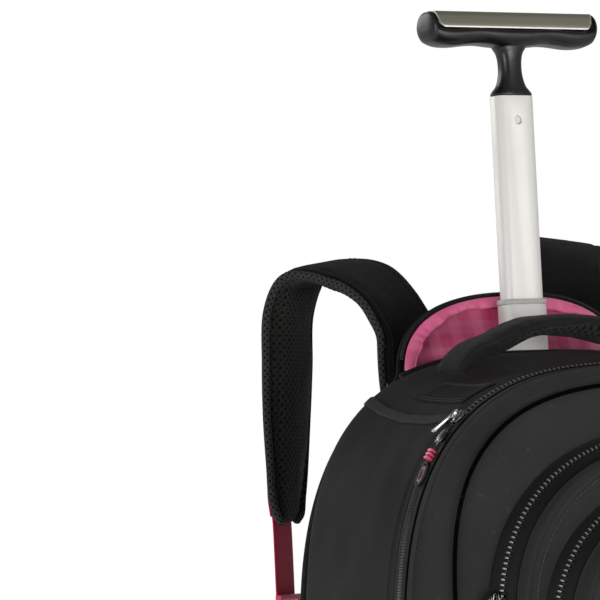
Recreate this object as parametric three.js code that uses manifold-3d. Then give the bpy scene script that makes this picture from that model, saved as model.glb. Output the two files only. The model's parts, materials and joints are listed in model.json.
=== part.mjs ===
// Wheeled school backpack with a single telescopic mast, built in millimetres with +Z up.
// X runs across the bag, the front pockets face -Y and the carrying side faces +Y.
// The bag leans back a little on its wheels, so most pieces are made in a bag frame
// (x across, y = depth from the partition wall, z = height above the base) that is then tilted.
import * as THREE from 'three';
import { mergeVertices } from 'three/addons/utils/BufferGeometryUtils.js';
import Module from 'manifold-3d';

const wasm = await Module();
wasm.setup();

// Overall stance
const LEAN = THREE.MathUtils.degToRad(6);   // how far the bag leans back
const BASE_HEIGHT = 66;                     // bag base above the floor, at the partition wall
const GAP = 0.3;                            // clearance between pieces that touch

// Main bag
const BAG_WIDTH = 358;                      // widest point, at the main zip
const BAG_HEIGHT = 450;                     // base to the top of the rear seam
const ARCH_HEIGHT = 200;                    // height of the arched top, down to the straight sides
const GUSSET_DEPTH = 108;                   // partition wall to the main zip
const ZIP_WIDTH = 14;                       // main zip, both tapes together
const FRONT_GUSSET = 28;                    // main zip to the front piping
const CLOTH = 2;                            // coated fabric with its backing foam
const BASE_CORNER = 38;                     // rounded lower corners of the bag

// Front pockets
const LARGE_POCKET_WIDTH = BAG_WIDTH * 0.737;
const LARGE_POCKET_HEIGHT = BAG_HEIGHT - 58; // top of its zip tape above the base
const LARGE_POCKET_ARCH = 116;              // height of its arched top
const LARGE_POCKET_DEPTH = 27;
const SMALL_POCKET_WIDTH = BAG_WIDTH * 0.631;
const SMALL_POCKET_HEIGHT = BAG_HEIGHT - 88;
const SMALL_POCKET_ARCH = 100;
const SMALL_POCKET_DEPTH = 32;
const SMALL_POCKET_BULGE = 6;               // how far its filled face stands out
const POCKET_POWER = 2.3;                   // how square the pockets' shoulders are
const POCKET_CORNER = 26;
const POCKET_ZIP_DEPTH = 16;                // how far a pocket zip stands out as it climbs the pocket
const POCKET_ZIP_SLOPE = 9;                 // how far it narrows over that depth
const POCKET_FOOT = 24;                     // lower edge of the pockets above the base

// Rear compartment that holds the mast
const REAR_DEPTH = 28;                      // partition wall to the back panel
const BACK_PANEL_THICKNESS = 10;
const TONGUE_HALF_WIDTH = 85;               // unzipped top of the back panel
const TONGUE_HEIGHT = BAG_HEIGHT + 36;      // its crest above the base
const TONGUE_FOOT = BAG_HEIGHT - 16;        // where it leaves the rounded outline of the bag
const LINING = 1;
const REAR_TAPE = 7;                        // zip tape along the open edge
const BINDING_WIDTH = 3.4;                  // bound edge of the mouth

// Telescopic mast
const MAST_DEPTH = 13;                      // axis of the mast behind the partition wall
const OUTER_TUBE = { width: 31.5, depth: 18, corner: 7, wall: 1.2 };
const MIDDLE_TUBE = { width: 28, depth: 14.8, corner: 5.8, wall: 1.2 };
const INNER_TUBE = { width: 24.8, depth: 11.6, corner: 4.4, wall: 1.2 };
const OUTER_TUBE_TOP = BAG_HEIGHT + 26;
const OUTER_TUBE_FOOT = 6;
const MIDDLE_TUBE_LENGTH = 330;
const MIDDLE_TUBE_SHOWN = 131;              // drawn out of the collar
const INNER_TUBE_LENGTH = 300;
const COLLAR_HEIGHT = 3;
const LOCK_HOLE = 5.4;                      // diameter of the lock hole near the top of a stage
const LOCK_HOLE_DROP = 16;

// T-handle
const HANDLE_LENGTH = 124;
const HANDLE_DEPTH = 26;
const HANDLE_HEIGHT = 22.5;
const NECK_HEIGHT = 31;
const NECK_WIDTH = 15;
const PLATE_LENGTH = 117;
const PLATE_THICKNESS = 1.4;
const BUTTON_LENGTH = 22;
const BUTTON_DEPTH = 9;
const BUTTON_TRAVEL = 3;

// Base and wheels
const TRAY_WIDTH = 300;
const TRAY_THICKNESS = 5;
const TRAY_FRONT = 138;                     // tray edge in front of the partition wall
const KICK_HEIGHT = 78;                     // upright rear part of the tray
const KICK_THICKNESS = 4;
const WHEEL_RADIUS = 25;
const WHEEL_WIDTH = 22;
const HUB_RADIUS = 16;
const AXLE_RADIUS = 3;
const AXLE_PLAY = 0.4;
const WHEEL_SPACING = 244;                  // between the two wheel centres
const WHEEL_DEPTH = 36;                     // wheel axis behind the partition wall
const CHEEK = 4;                            // walls of the wheel housing
const WHEEL_PLAY = 1.2;                     // between a wheel and each cheek
const FOOT_WIDTH = 34;
const FOOT_LENGTH = 40;
const FOOT_SPACING = 230;

// Carrying straps and handle
const STRAP_REACH = 107;                    // how far the strap stands out behind the back panel
const STRAP_SPREAD = 107;                   // from the middle of the bag to its hanging part
const STRAP_WIDTH = 60;
const STRAP_THICKNESS = 13;
const RIGHT_STRAP_RISE = 13;                // the right strap stands a little higher
const RIGHT_STRAP_SPREAD = 20;              // and lies further out
const WEBBING_WIDTH = 25;
const WEBBING_THICKNESS = 1.6;
const GRAB_HALF_LENGTH = 88;
const GRAB_RISE = 23;
const GRAB_DEPTH = 34;
const GRAB_THICKNESS = 14;
const GRAB_PLACE = 42;                      // handle centre in front of the partition wall

const SIDES = 20;                           // facets along a rounded outline's arch
const FABRIC = new THREE.MeshStandardMaterial({ color: 0x2b2b2d, roughness: 0.85 });
const PADDING = new THREE.MeshStandardMaterial({ color: 0x1b1b1c, roughness: 0.95 });
const ZIP = new THREE.MeshStandardMaterial({ color: 0x151515, roughness: 0.6 });
const LINING_PINK = new THREE.MeshStandardMaterial({ color: 0xb23f66, roughness: 0.7 });
const WEBBING = new THREE.MeshStandardMaterial({ color: 0x7c1730, roughness: 0.8 });
const BUCKLE_PINK = new THREE.MeshStandardMaterial({ color: 0xd84a6c, roughness: 0.35 });
const ALUMINIUM = new THREE.MeshStandardMaterial({ color: 0xd9d7d2, roughness: 0.3, metalness: 0.9 });
const GUNMETAL = new THREE.MeshStandardMaterial({ color: 0x77746e, roughness: 0.25, metalness: 0.9 });
const PLASTIC = new THREE.MeshStandardMaterial({ color: 0x19191a, roughness: 0.45 });
const RUBBER = new THREE.MeshStandardMaterial({ color: 0x202022, roughness: 0.9 });

const backpack = new THREE.Group();
const bag = new THREE.Group();
bag.rotation.x = -LEAN;
bag.position.z = BASE_HEIGHT;
backpack.add(bag);

// Adds one named solid to a group
function addPiece(group, name, geometry, material) {
  const mesh = new THREE.Mesh(geometry, material);
  mesh.name = name;
  group.add(mesh);
  return mesh;
}

// Turns a triangle list that may face inwards into one whose faces point out
function facingOut(geometry) {
  const place = geometry.getAttribute('position');
  const index = geometry.getIndex().array;
  const a = new THREE.Vector3();
  const b = new THREE.Vector3();
  const c = new THREE.Vector3();
  let volume = 0;
  for (let i = 0; i < index.length; i += 3) {
    a.fromBufferAttribute(place, index[i]);
    b.fromBufferAttribute(place, index[i + 1]);
    c.fromBufferAttribute(place, index[i + 2]);
    volume += a.dot(b.cross(c));
  }
  if (volume < 0) {
    for (let i = 0; i < index.length; i += 3) {
      [index[i], index[i + 1]] = [index[i + 1], index[i]];
    }
  }
  geometry.computeVertexNormals();
  return geometry;
}

// Skins a row of closed sections that all have the same number of points.
// An open row is closed by a fan over each end, a ring of sections joins its last to its first.
function loft(sections, ring = false) {
  const count = sections[0].length;
  const points = sections.flat();
  const faces = [];
  const rows = ring ? sections.length : sections.length - 1;
  for (let row = 0; row < rows; row += 1) {
    const near = row * count;
    const far = ((row + 1) % sections.length) * count;
    for (let i = 0; i < count; i += 1) {
      const next = (i + 1) % count;
      faces.push(near + i, near + next, far + next, near + i, far + next, far + i);
    }
  }
  if (!ring) {
    for (const [row, turned] of [[0, true], [sections.length - 1, false]]) {
      const middle = points.length;
      const centre = new THREE.Vector3();
      sections[row].forEach((point) => centre.addScaledVector(point, 1 / count));
      points.push(centre);
      for (let i = 0; i < count; i += 1) {
        const here = row * count + i;
        const next = row * count + ((i + 1) % count);
        faces.push(...(turned ? [middle, next, here] : [middle, here, next]));
      }
    }
  }
  const geometry = new THREE.BufferGeometry().setFromPoints(points);
  geometry.setIndex(faces);
  return facingOut(geometry);
}

// Solid for a boolean cut or join
function toManifold(geometry) {
  const bare = new THREE.BufferGeometry();
  bare.setAttribute('position', geometry.getAttribute('position').clone());
  if (geometry.getIndex()) bare.setIndex(geometry.getIndex().clone());
  const merged = mergeVertices(bare, 1e-4);
  return new wasm.Manifold(new wasm.Mesh({
    numProp: 3,
    vertProperties: new Float32Array(merged.getAttribute('position').array),
    triVerts: new Uint32Array(merged.getIndex().array),
  }));
}

function fromManifold(solid) {
  const mesh = solid.getMesh();
  const geometry = new THREE.BufferGeometry();
  geometry.setAttribute('position', new THREE.BufferAttribute(new Float32Array(mesh.vertProperties), 3));
  geometry.setIndex(new THREE.BufferAttribute(new Uint32Array(mesh.triVerts), 1));
  geometry.computeVertexNormals();
  return geometry;
}

// Turns rows of bare numbers into records with the column names
function table(columns, rows) {
  return rows.map((row) => Object.fromEntries(columns.map((name, i) => [name, row[i]])));
}

// Rounded bag outline at one depth: flat foot, straight sides and an arched top.
// The arch is a superellipse, and a higher power makes its shoulders squarer.
const ARCH_POWER = 2.65;
function outline(station, inset = 0) {
  const { depth, halfWidth, top } = station;
  const { arch = ARCH_HEIGHT, power = ARCH_POWER, foot = 0, corner = BASE_CORNER } = station;
  const half = halfWidth - inset;
  const low = foot + inset;
  const bend = Math.max(corner - inset, 1);
  const spring = top - arch;
  const rise = arch - inset;
  const points = [];
  for (let i = 0; i <= SIDES; i += 1) {
    const angle = (Math.PI * i) / SIDES;
    const x = Math.sign(Math.cos(angle)) * Math.abs(Math.cos(angle)) ** (2 / power);
    const z = spring + rise * Math.sin(angle) ** (2 / power);
    points.push(new THREE.Vector3(i * 2 === SIDES ? 0 : half * x, depth, z));
  }
  for (const side of [-1, 1]) {
    for (let i = 0; i <= 4; i += 1) {
      const angle = (Math.PI / 2) * (side < 0 ? i / 4 : 1 - i / 4);
      const x = side * (half - bend + bend * Math.cos(angle));
      points.push(new THREE.Vector3(x, depth, low + bend - bend * Math.sin(angle)));
    }
  }
  return points;
}

// The same outline drawn in towards a point on the centre line, for a domed face
function drawnIn(points, share, depth, height) {
  return points.map((point) => new THREE.Vector3(point.x * share, depth, height + (point.z - height) * share));
}

// Hollow cup: side walls along the stations from its open rim, closed by a domed face
const DOME = table(['share', 'bulge'], [[0.9, 0.45], [0.72, 0.8], [0.4, 1]]);
function cup(stations, bulge, wall = CLOTH) {
  const facing = Math.sign(stations.at(-1).depth - stations[0].depth);
  const height = (stations.at(-1).top + (stations.at(-1).foot ?? 0)) / 2;
  const side = (inset) => {
    const rings = stations.map((station, i) => {
      const last = i === stations.length - 1;
      return outline({ ...station, depth: station.depth - (last ? facing * inset : 0) }, inset);
    });
    const edge = rings.at(-1);
    const face = stations.at(-1).depth - facing * inset;
    if (bulge > 0) {
      DOME.forEach((row) => rings.push(drawnIn(edge, row.share, face + facing * bulge * row.bulge, height)));
    }
    return rings;
  };
  return loft([...side(0).reverse(), ...side(wall)]);
}

// Flat-sided band that follows an outline from one depth to the next.
// With a span it covers only those points of the outline, else it goes all the way round.
function band(stations, thickness, span = null) {
  const outer = stations.map((station) => outline(station));
  const inner = stations.map((station) => outline(station, thickness)).reverse();
  const rings = [...outer, ...inner];
  if (!span) return loft(rings, true);
  const across = [];
  for (let i = span[0]; i <= span[1]; i += 1) {
    const at = (i + outer[0].length) % outer[0].length;
    across.push(rings.map((ring) => ring[at]));
  }
  return loft(across);
}
const LEFT_SIDE_FOOT = SIDES + 1;           // outline point where the left side meets the base corner
const RIGHT_SIDE_FOOT = -1;                 // and the same on the right, counted back from the start

// Main bag, from the partition wall forward
const half = BAG_WIDTH / 2;
const zipRear = -GUSSET_DEPTH;
const zipFront = zipRear - ZIP_WIDTH;
const pipingDepth = zipFront - FRONT_GUSSET;
const REAR_BODY = table(['along', 'width', 'top'], [
  [1, 1, 0.969],
  [0.75, 1.002, 0.969],
  [0.5, 0.996, 0.973],
  [0.25, 0.985, 0.984],
  [0.06, 0.967, 0.998],
  [0, 0.96, 0.995],
]).map((row) => ({ depth: -GUSSET_DEPTH * row.along, halfWidth: half * row.width, top: BAG_HEIGHT * row.top }));
const zipEdge = REAR_BODY[0];
const FRONT_BODY = table(['along', 'width', 'top', 'arch', 'power'], [
  [0, 1, 0.969, 1, 2.65],
  [0.45, 0.985, 0.966, 0.95, 2.65],
  [0.78, 0.93, 0.955, 0.8, 2.75],
  [1, 0.872, 0.938, 0.66, 2.9],
]).map((row) => ({
  depth: zipFront - FRONT_GUSSET * row.along,
  halfWidth: half * row.width,
  top: BAG_HEIGHT * row.top,
  arch: ARCH_HEIGHT * row.arch,
  power: row.power,
}));

addPiece(bag, 'rear_shell', cup(REAR_BODY, 0), FABRIC);
addPiece(bag, 'front_shell', cup(FRONT_BODY, 0), FABRIC);

const zipStations = [zipRear - GAP, zipFront + GAP].map((depth) => ({ ...zipEdge, depth }));
addPiece(bag, 'main_zip', band(zipStations, CLOTH, [RIGHT_SIDE_FOOT, LEFT_SIDE_FOOT]), ZIP);

// Strip that closes the lower part between the two halves, where there is no zip
const ringCount = outline(zipEdge).length;
const underSides = [LEFT_SIDE_FOOT + 1, ringCount + RIGHT_SIDE_FOOT - 1];
addPiece(bag, 'lower_gusset', band(zipStations, CLOTH, underSides), FABRIC);

// Front pocket: a zip that climbs its edge, then a cup that the zip opens
function pocket({ name, seat, width, height, arch, depth, bulge }) {
  const rim = {
    depth: seat - GAP,
    halfWidth: width / 2,
    top: height,
    arch,
    power: POCKET_POWER,
    foot: POCKET_FOOT,
    corner: POCKET_CORNER,
  };
  const climb = (share) => ({
    ...rim,
    depth: seat - GAP - POCKET_ZIP_DEPTH * share,
    halfWidth: width / 2 - POCKET_ZIP_SLOPE * share,
    top: height - POCKET_ZIP_SLOPE * share,
    arch: arch - POCKET_ZIP_SLOPE * share,
    foot: POCKET_FOOT + POCKET_ZIP_SLOPE * share,
  });
  const crest = climb(1);
  const edge = { ...crest, depth: crest.depth - GAP };
  const brow = { ...edge, depth: seat - depth * 0.8, halfWidth: edge.halfWidth - 3, top: edge.top - 3 };
  const face = { ...edge, depth: seat - depth, halfWidth: edge.halfWidth - 9, top: edge.top - 9 };
  addPiece(bag, `${name}_zip`, band([rim, crest], CLOTH), ZIP);
  addPiece(bag, name, cup([edge, brow, face], bulge), FABRIC);
}
const largeFace = pipingDepth - LARGE_POCKET_DEPTH;
const LARGE_POCKET = {
  name: 'pocket_large', seat: pipingDepth, width: LARGE_POCKET_WIDTH, height: LARGE_POCKET_HEIGHT,
  arch: LARGE_POCKET_ARCH, depth: LARGE_POCKET_DEPTH, bulge: 0, sliderPlace: 173,
};
const SMALL_POCKET = {
  name: 'pocket_small', seat: largeFace, width: SMALL_POCKET_WIDTH, height: SMALL_POCKET_HEIGHT,
  arch: SMALL_POCKET_ARCH, depth: SMALL_POCKET_DEPTH, bulge: SMALL_POCKET_BULGE, sliderPlace: 7,
};
pocket(LARGE_POCKET);
pocket(SMALL_POCKET);

// Unit vectors along a curve and across it, kept square to each other
function frameAt(path, wide, share) {
  const along = path.getTangent(share);
  const across = wide(share).clone();
  across.addScaledVector(along, -across.dot(along)).normalize();
  return { centre: path.getPoint(share), across, up: new THREE.Vector3().crossVectors(across, along) };
}

// Closed section with rounded edges, in units of half its width and half its thickness
function roundedSection(points, squareness) {
  const ends = 2 / squareness;
  return Array.from({ length: points }, (_, i) => {
    const angle = (2 * Math.PI * (i + 0.5)) / points;
    const [c, s] = [Math.cos(angle), Math.sin(angle)];
    return [Math.sign(c) * Math.abs(c) ** ends, Math.sign(s) * Math.abs(s) ** ends];
  });
}

// Sweeps a section along a path. The size function gives its width and thickness at each share.
function sweep({ path, wide, size, section, steps }) {
  const rings = [];
  for (let step = 0; step <= steps; step += 1) {
    const share = step / steps;
    const { centre, across, up } = frameAt(path, wide, share);
    const [width, thickness] = size(share);
    rings.push(section.map(([a, b]) => centre.clone()
      .addScaledVector(across, (a * width) / 2)
      .addScaledVector(up, (b * thickness) / 2)));
  }
  return loft(rings);
}
const FLAT = [[-1, -1], [1, -1], [1, 1], [-1, 1]];
const ROUND = roundedSection(6, 2);
const SOFT = roundedSection(10, 4);
const ACROSS_BAG = () => new THREE.Vector3(1, 0, 0);
const ALONG_DEPTH = () => new THREE.Vector3(0, 1, 0);

// Piping along the front edge of the main bag
const PIPING_RADIUS = 2;
const pipingShift = (PIPING_RADIUS + 2 * GAP) / Math.SQRT2;
const pipingEdge = { ...FRONT_BODY.at(-1), depth: pipingDepth - pipingShift };
const pipingRoute = outline(pipingEdge, -pipingShift).slice(0, SIDES + 2);
pipingRoute.unshift(new THREE.Vector3(-pipingRoute.at(-1).x, pipingRoute.at(-1).y, pipingRoute.at(-1).z));
addPiece(bag, 'front_piping', sweep({
  path: new THREE.CatmullRomCurve3(pipingRoute),
  wide: ALONG_DEPTH,
  size: () => [2 * PIPING_RADIUS, 2 * PIPING_RADIUS],
  section: ROUND,
  steps: 36,
}), FABRIC);

// Side band of the mast compartment, open at the top between its two ends
const seam = REAR_BODY.at(-1);
const PANEL_SHARE = 0.895;                  // back panel's width as a share of the bag's
const PANEL_TOP_SHARE = 0.985;
const rearStations = [
  { ...seam, depth: GAP },
  { ...seam, depth: REAR_DEPTH - GAP, halfWidth: half * PANEL_SHARE, top: BAG_HEIGHT * PANEL_TOP_SHARE },
];
const mouthEnd = outline(seam).findIndex((point) => point.x < -TONGUE_HALF_WIDTH - 4);
addPiece(bag, 'rear_gusset', band(rearStations, CLOTH, [mouthEnd, ringCount + SIDES - mouthEnd]), FABRIC);

// Binding along the open edge of the mouth
const mouthSpan = [SIDES - mouthEnd + 1, mouthEnd - 1];
const bindingStations = [GAP, BINDING_WIDTH].map((depth) => ({ ...seam, depth }));
addPiece(bag, 'mouth_binding', band(bindingStations, CLOTH, mouthSpan), ZIP);

// Back panel: the bag's own outline with the unzipped top standing up out of it
const TONGUE_POWER = 2.4;
const TONGUE_FACETS = 16;
function tongue(depth, inset = 0) {
  return Array.from({ length: TONGUE_FACETS + 1 }, (_, i) => {
    const angle = (Math.PI * i) / TONGUE_FACETS;
    const [c, s] = [Math.cos(angle), Math.sin(angle)];
    const x = Math.sign(c) * Math.abs(c) ** (2 / TONGUE_POWER) * (TONGUE_HALF_WIDTH - inset);
    const rise = (TONGUE_HEIGHT - TONGUE_FOOT - inset) * s ** (2 / TONGUE_POWER);
    return new THREE.Vector3(i * 2 === TONGUE_FACETS ? 0 : x, depth, TONGUE_FOOT + rise);
  });
}
const panelSeam = { ...seam, halfWidth: half * PANEL_SHARE, top: BAG_HEIGHT * PANEL_TOP_SHARE };
function panelRing(depth, inset) {
  const body = outline({ ...panelSeam, depth }, inset);
  const shoulder = body.findIndex((point) => point.x < TONGUE_HALF_WIDTH + 3);
  const right = body.slice(0, shoulder);
  const left = body.slice(SIDES + 1 - shoulder);
  return [...right, ...tongue(depth, inset), ...left];
}
const panelBack = REAR_DEPTH + BACK_PANEL_THICKNESS;
addPiece(bag, 'back_panel', loft([
  panelRing(REAR_DEPTH, 1.5),
  panelRing(REAR_DEPTH + 2, 0),
  panelRing(panelBack - 3, 0),
  panelRing(panelBack, 3.5),
]), PADDING);

// Zip tape on the inside of the standing edge
const TAPE_THICKNESS = 1.5;
const tapeDepths = [REAR_DEPTH - GAP - TAPE_THICKNESS, REAR_DEPTH - GAP];
const tapeOuter = tapeDepths.map((depth) => tongue(depth, 1.5));
const tapeInner = tapeDepths.map((depth) => tongue(depth, REAR_TAPE)).reverse();
addPiece(bag, 'rear_zip', loft(tapeOuter[0].map((_, i) => [...tapeOuter, ...tapeInner].map((ring) => ring[i]))
  .slice(1, -1)), ZIP);

// Loose lining on the inside of the back panel
const LINING_FOOT = BAG_HEIGHT * 0.667;
const LINING_EDGE = 8.5;
const LINING_WAVE = 0.5;
const liningFace = tapeDepths[0];
function liningHalf(height) {
  const rise = Math.max(height - TONGUE_FOOT, 0) / (TONGUE_HEIGHT - TONGUE_FOOT - LINING_EDGE);
  return (TONGUE_HALF_WIDTH - LINING_EDGE) * (1 - rise ** TONGUE_POWER) ** (1 / TONGUE_POWER);
}
const LINING_ROWS = [0, 0.25, 0.5, 0.68, 0.8, 0.9, 0.96, 0.99];
const LINING_COLUMNS = 14;
const liningTop = TONGUE_HEIGHT - LINING_EDGE;
addPiece(bag, 'back_lining', loft(LINING_ROWS.map((share) => {
  const height = LINING_FOOT + (liningTop - LINING_FOOT) * share;
  const reach = liningHalf(height);
  const face = Array.from({ length: LINING_COLUMNS + 1 }, (_, i) => {
    const x = reach * ((2 * i) / LINING_COLUMNS - 1);
    return new THREE.Vector3(x, liningFace + LINING_WAVE * Math.sin(x / 9), height);
  });
  const back = face.map((point) => point.clone().setY(point.y + LINING)).reverse();
  return [...face, ...back];
})), LINING_PINK);

// Rectangle with round corners, and the tube, ring or sleeve drawn from it
function roundedRectangle(width, depth, corner, target) {
  const [x, y] = [width / 2 - corner, depth / 2 - corner];
  target.moveTo(x + corner, -y);
  target.absarc(x, y, corner, 0, Math.PI / 2);
  target.absarc(-x, y, corner, Math.PI / 2, Math.PI);
  target.absarc(-x, -y, corner, Math.PI, 1.5 * Math.PI);
  target.absarc(x, -y, corner, 1.5 * Math.PI, 2 * Math.PI);
  return target;
}
function upright(shape, height) {
  return new THREE.ExtrudeGeometry(shape, { depth: height, bevelEnabled: false, curveSegments: 3, steps: 1 });
}
function hollowTube({ width, depth, corner, wall }, height) {
  const shape = roundedRectangle(width, depth, corner, new THREE.Shape());
  shape.holes.push(roundedRectangle(width - 2 * wall, depth - 2 * wall, corner - wall, new THREE.Path()));
  return upright(shape, height);
}
function cylinderAlong(axis, radius, length, facets = 16) {
  const geometry = new THREE.CylinderGeometry(radius, radius, length, facets);
  if (axis === 'x') geometry.rotateZ(Math.PI / 2);
  if (axis === 'z') geometry.rotateX(Math.PI / 2);
  return geometry;
}
function block(from, to) {
  const size = from.map((low, i) => to[i] - low);
  const geometry = new THREE.BoxGeometry(...size);
  return geometry.translate(...from.map((low, i) => (low + to[i]) / 2));
}

// A tube whose front wall has a lock hole below its top
function lockedTube(tube, length) {
  const hole = cylinderAlong('y', LOCK_HOLE / 2, tube.depth / 2);
  hole.translate(0, -tube.depth / 2, length - LOCK_HOLE_DROP);
  return fromManifold(toManifold(hollowTube(tube, length)).subtract(toManifold(hole)));
}
const mast = new THREE.Group();
mast.position.set(0, MAST_DEPTH, 0);
bag.add(mast);
const collarTop = OUTER_TUBE_TOP + GAP + COLLAR_HEIGHT;
const middleTop = collarTop + MIDDLE_TUBE_SHOWN;
addPiece(mast, 'mast_outer_tube', lockedTube(OUTER_TUBE, OUTER_TUBE_TOP - OUTER_TUBE_FOOT), ALUMINIUM)
  .position.z = OUTER_TUBE_FOOT;
addPiece(mast, 'mast_middle_tube', lockedTube(MIDDLE_TUBE, MIDDLE_TUBE_LENGTH), ALUMINIUM)
  .position.z = middleTop - MIDDLE_TUBE_LENGTH;
addPiece(mast, 'mast_inner_tube', hollowTube(INNER_TUBE, INNER_TUBE_LENGTH), ALUMINIUM)
  .position.z = middleTop - INNER_TUBE_LENGTH;

// Collar that guides the middle tube
const collarShape = new THREE.Shape();
const collar = roundedRectangle(OUTER_TUBE.width + 1, OUTER_TUBE.depth + 1, OUTER_TUBE.corner + 0.5, collarShape);
collar.holes.push(roundedRectangle(
  MIDDLE_TUBE.width + 2 * GAP, MIDDLE_TUBE.depth + 2 * GAP, MIDDLE_TUBE.corner + GAP, new THREE.Path(),
));
addPiece(mast, 'mast_collar', upright(collar, COLLAR_HEIGHT), PLASTIC).position.z = OUTER_TUBE_TOP + GAP;

// Foot socket and upper bracket that hold the outer tube to the partition wall
const BRACKET_WIDTH = 52;
const BRACKET_HEIGHT = 22;
const BRACKET_PLACE = BAG_HEIGHT * 0.733;
const SOCKET_HEIGHT = 36;
const bracketFront = GAP;
const bracketBack = MAST_DEPTH + OUTER_TUBE.depth / 2 + 2.2;
const tubeClearance = {
  width: OUTER_TUBE.width + 2 * GAP, depth: OUTER_TUBE.depth + 2 * GAP, corner: OUTER_TUBE.corner + GAP,
};
function tubeHolder(low, high, passFrom) {
  const outer = block([-BRACKET_WIDTH / 2, bracketFront, low], [BRACKET_WIDTH / 2, bracketBack, high]);
  const { width, depth, corner } = tubeClearance;
  const pass = upright(roundedRectangle(width, depth, corner, new THREE.Shape()), high - passFrom + 2);
  pass.translate(0, MAST_DEPTH, passFrom);
  return fromManifold(toManifold(outer).subtract(toManifold(pass)));
}
const bracketTop = BRACKET_PLACE + BRACKET_HEIGHT;
addPiece(bag, 'mast_bracket', tubeHolder(BRACKET_PLACE, bracketTop, BRACKET_PLACE - 1), PLASTIC);
const socketFoot = CLOTH + GAP;
const socketTop = socketFoot + SOCKET_HEIGHT;
addPiece(bag, 'mast_socket', tubeHolder(socketFoot, socketTop, OUTER_TUBE_FOOT - GAP), PLASTIC);

// T-handle. Its sections lie across the grip, heights are measured down from its crest.
const handleFoot = middleTop + GAP;
const crest = handleFoot + NECK_HEIGHT + HANDLE_HEIGHT;
const tHandle = new THREE.Group();
tHandle.position.z = crest;
mast.add(tHandle);
const plateSkin = PLATE_THICKNESS + GAP;
const FULL_SECTION = table(['out', 'down'], [
  [0.3, 0], [0.62, 0.03], [0.92, 0.24], [1, 0.5], [0.95, 0.78], [0.66, 0.97], [0.3, 1],
]);
const SEAT_SECTION = table(['out', 'down'], [
  [0.3, 0], [0.52, 0.03], [0.82, 0.38], [1, 0.48], [0.95, 0.78], [0.66, 0.97], [0.3, 1],
]);
function gripSection(x, rows, width, drop, low) {
  const side = rows.map(({ out, down }) => [
    (HANDLE_DEPTH / 2) * out * width,
    -(drop + (low - drop) * down),
  ]);
  const mirrored = side.map(([y, z]) => [-y, z]).reverse();
  return [...side, ...mirrored].map(([y, z]) => new THREE.Vector3(x, y, z));
}
const plateHalf = PLATE_LENGTH / 2;
const gripHalf = HANDLE_LENGTH / 2;
const GRIP_ENDS = table(['along', 'width', 'drop', 'low'], [
  [1, 0.55, 0.2, 0.78], [0.992, 0.78, 0.1, 0.9], [0.978, 0.92, 0.03, 0.97], [0.963, 0.99, 0, 1],
]);
const GRIP_WAVE = table(['along', 'low'], [[0.84, 1], [0.6, 0.95], [0.42, 0.93], [0.25, 0.95], [0, 0.96]]);
const gripRight = [
  ...GRIP_ENDS.map((row) => gripSection(
    gripHalf * row.along, FULL_SECTION, row.width, row.drop * HANDLE_HEIGHT, row.low * HANDLE_HEIGHT,
  )),
  gripSection(plateHalf + 2 * GAP, FULL_SECTION, 1, 0, HANDLE_HEIGHT),
  gripSection(plateHalf + GAP, SEAT_SECTION, 1, plateSkin, HANDLE_HEIGHT),
  ...GRIP_WAVE.map((row) => gripSection(gripHalf * row.along, SEAT_SECTION, 1, plateSkin, row.low * HANDLE_HEIGHT)),
];
const gripLeft = gripRight.slice(0, -1).reverse()
  .map((ring) => ring.map((point) => new THREE.Vector3(-point.x, point.y, point.z)));

// Neck: oval sections from inside the grip down to the top of the mast
const NECK = table(['down', 'width', 'depth'], [
  [-0.25, 1.5, 1.05], [-0.02, 1.5, 1.05], [0.12, 1.16, 0.95], [0.3, 1.0, 0.9], [0.55, 1.02, 0.9],
  [0.78, 1.3, 0.94], [0.93, 1.7, 0.98], [1, 1.82, 1],
]);
const neck = loft(NECK.map((row) => roundedSection(14, 2.6).map(([a, b]) => new THREE.Vector3(
  (a * NECK_WIDTH * row.width) / 2,
  (b * NECK_WIDTH * row.depth) / 2,
  -HANDLE_HEIGHT - NECK_HEIGHT * row.down,
))));
const BUTTON_SEAT = 7;
const buttonWell = block(
  [-BUTTON_LENGTH / 2 - GAP, -BUTTON_DEPTH / 2 - GAP, -BUTTON_SEAT],
  [BUTTON_LENGTH / 2 + GAP, BUTTON_DEPTH / 2 + GAP, 1],
);
const gripBar = toManifold(loft([...gripRight, ...gripLeft]));
const grip = gripBar.add(toManifold(neck)).subtract(toManifold(buttonWell));
addPiece(tHandle, 't_handle_grip', fromManifold(grip), PLASTIC);

// Metal plate over the crest and the upper front and back of the grip
const PLATE_FALL = 0.36;
const PLATE_SECTION = table(['out', 'down'], [[0.3, 0], [0.62, 0.03], [0.93, 1]]);
function plateSection(x, fall, skin, reach) {
  const side = PLATE_SECTION.map(({ out, down }) => [
    (HANDLE_DEPTH / 2) * out - skin * down, -skin - (fall - skin) * down - reach * down,
  ]);
  const mirrored = side.map(([y, z]) => [-y, z]).reverse();
  return [...side, ...mirrored].map(([y, z]) => new THREE.Vector3(x, y, z));
}
const PLATE_SLANT = 3;
const plateFall = HANDLE_HEIGHT * PLATE_FALL;
const plateOuter = loft([-1, 1].flatMap((end) => [
  plateSection(end * (plateHalf - (end < 0 ? 0 : PLATE_SLANT)), plateFall - (end < 0 ? PLATE_SLANT : 0), 0, 0),
  plateSection(end * (plateHalf - (end < 0 ? PLATE_SLANT : 0)), plateFall - (end < 0 ? 0 : PLATE_SLANT), 0, 0),
]));
const plateHollow = loft([-1, 1].map((end) => plateSection(end * (plateHalf + 1), plateFall, PLATE_THICKNESS, 1)));
const plate = toManifold(plateOuter).subtract(toManifold(plateHollow)).subtract(toManifold(buttonWell));
addPiece(tHandle, 't_handle_plate', fromManifold(plate), GUNMETAL);
const BUTTON_SINK = 0.5;
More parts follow.
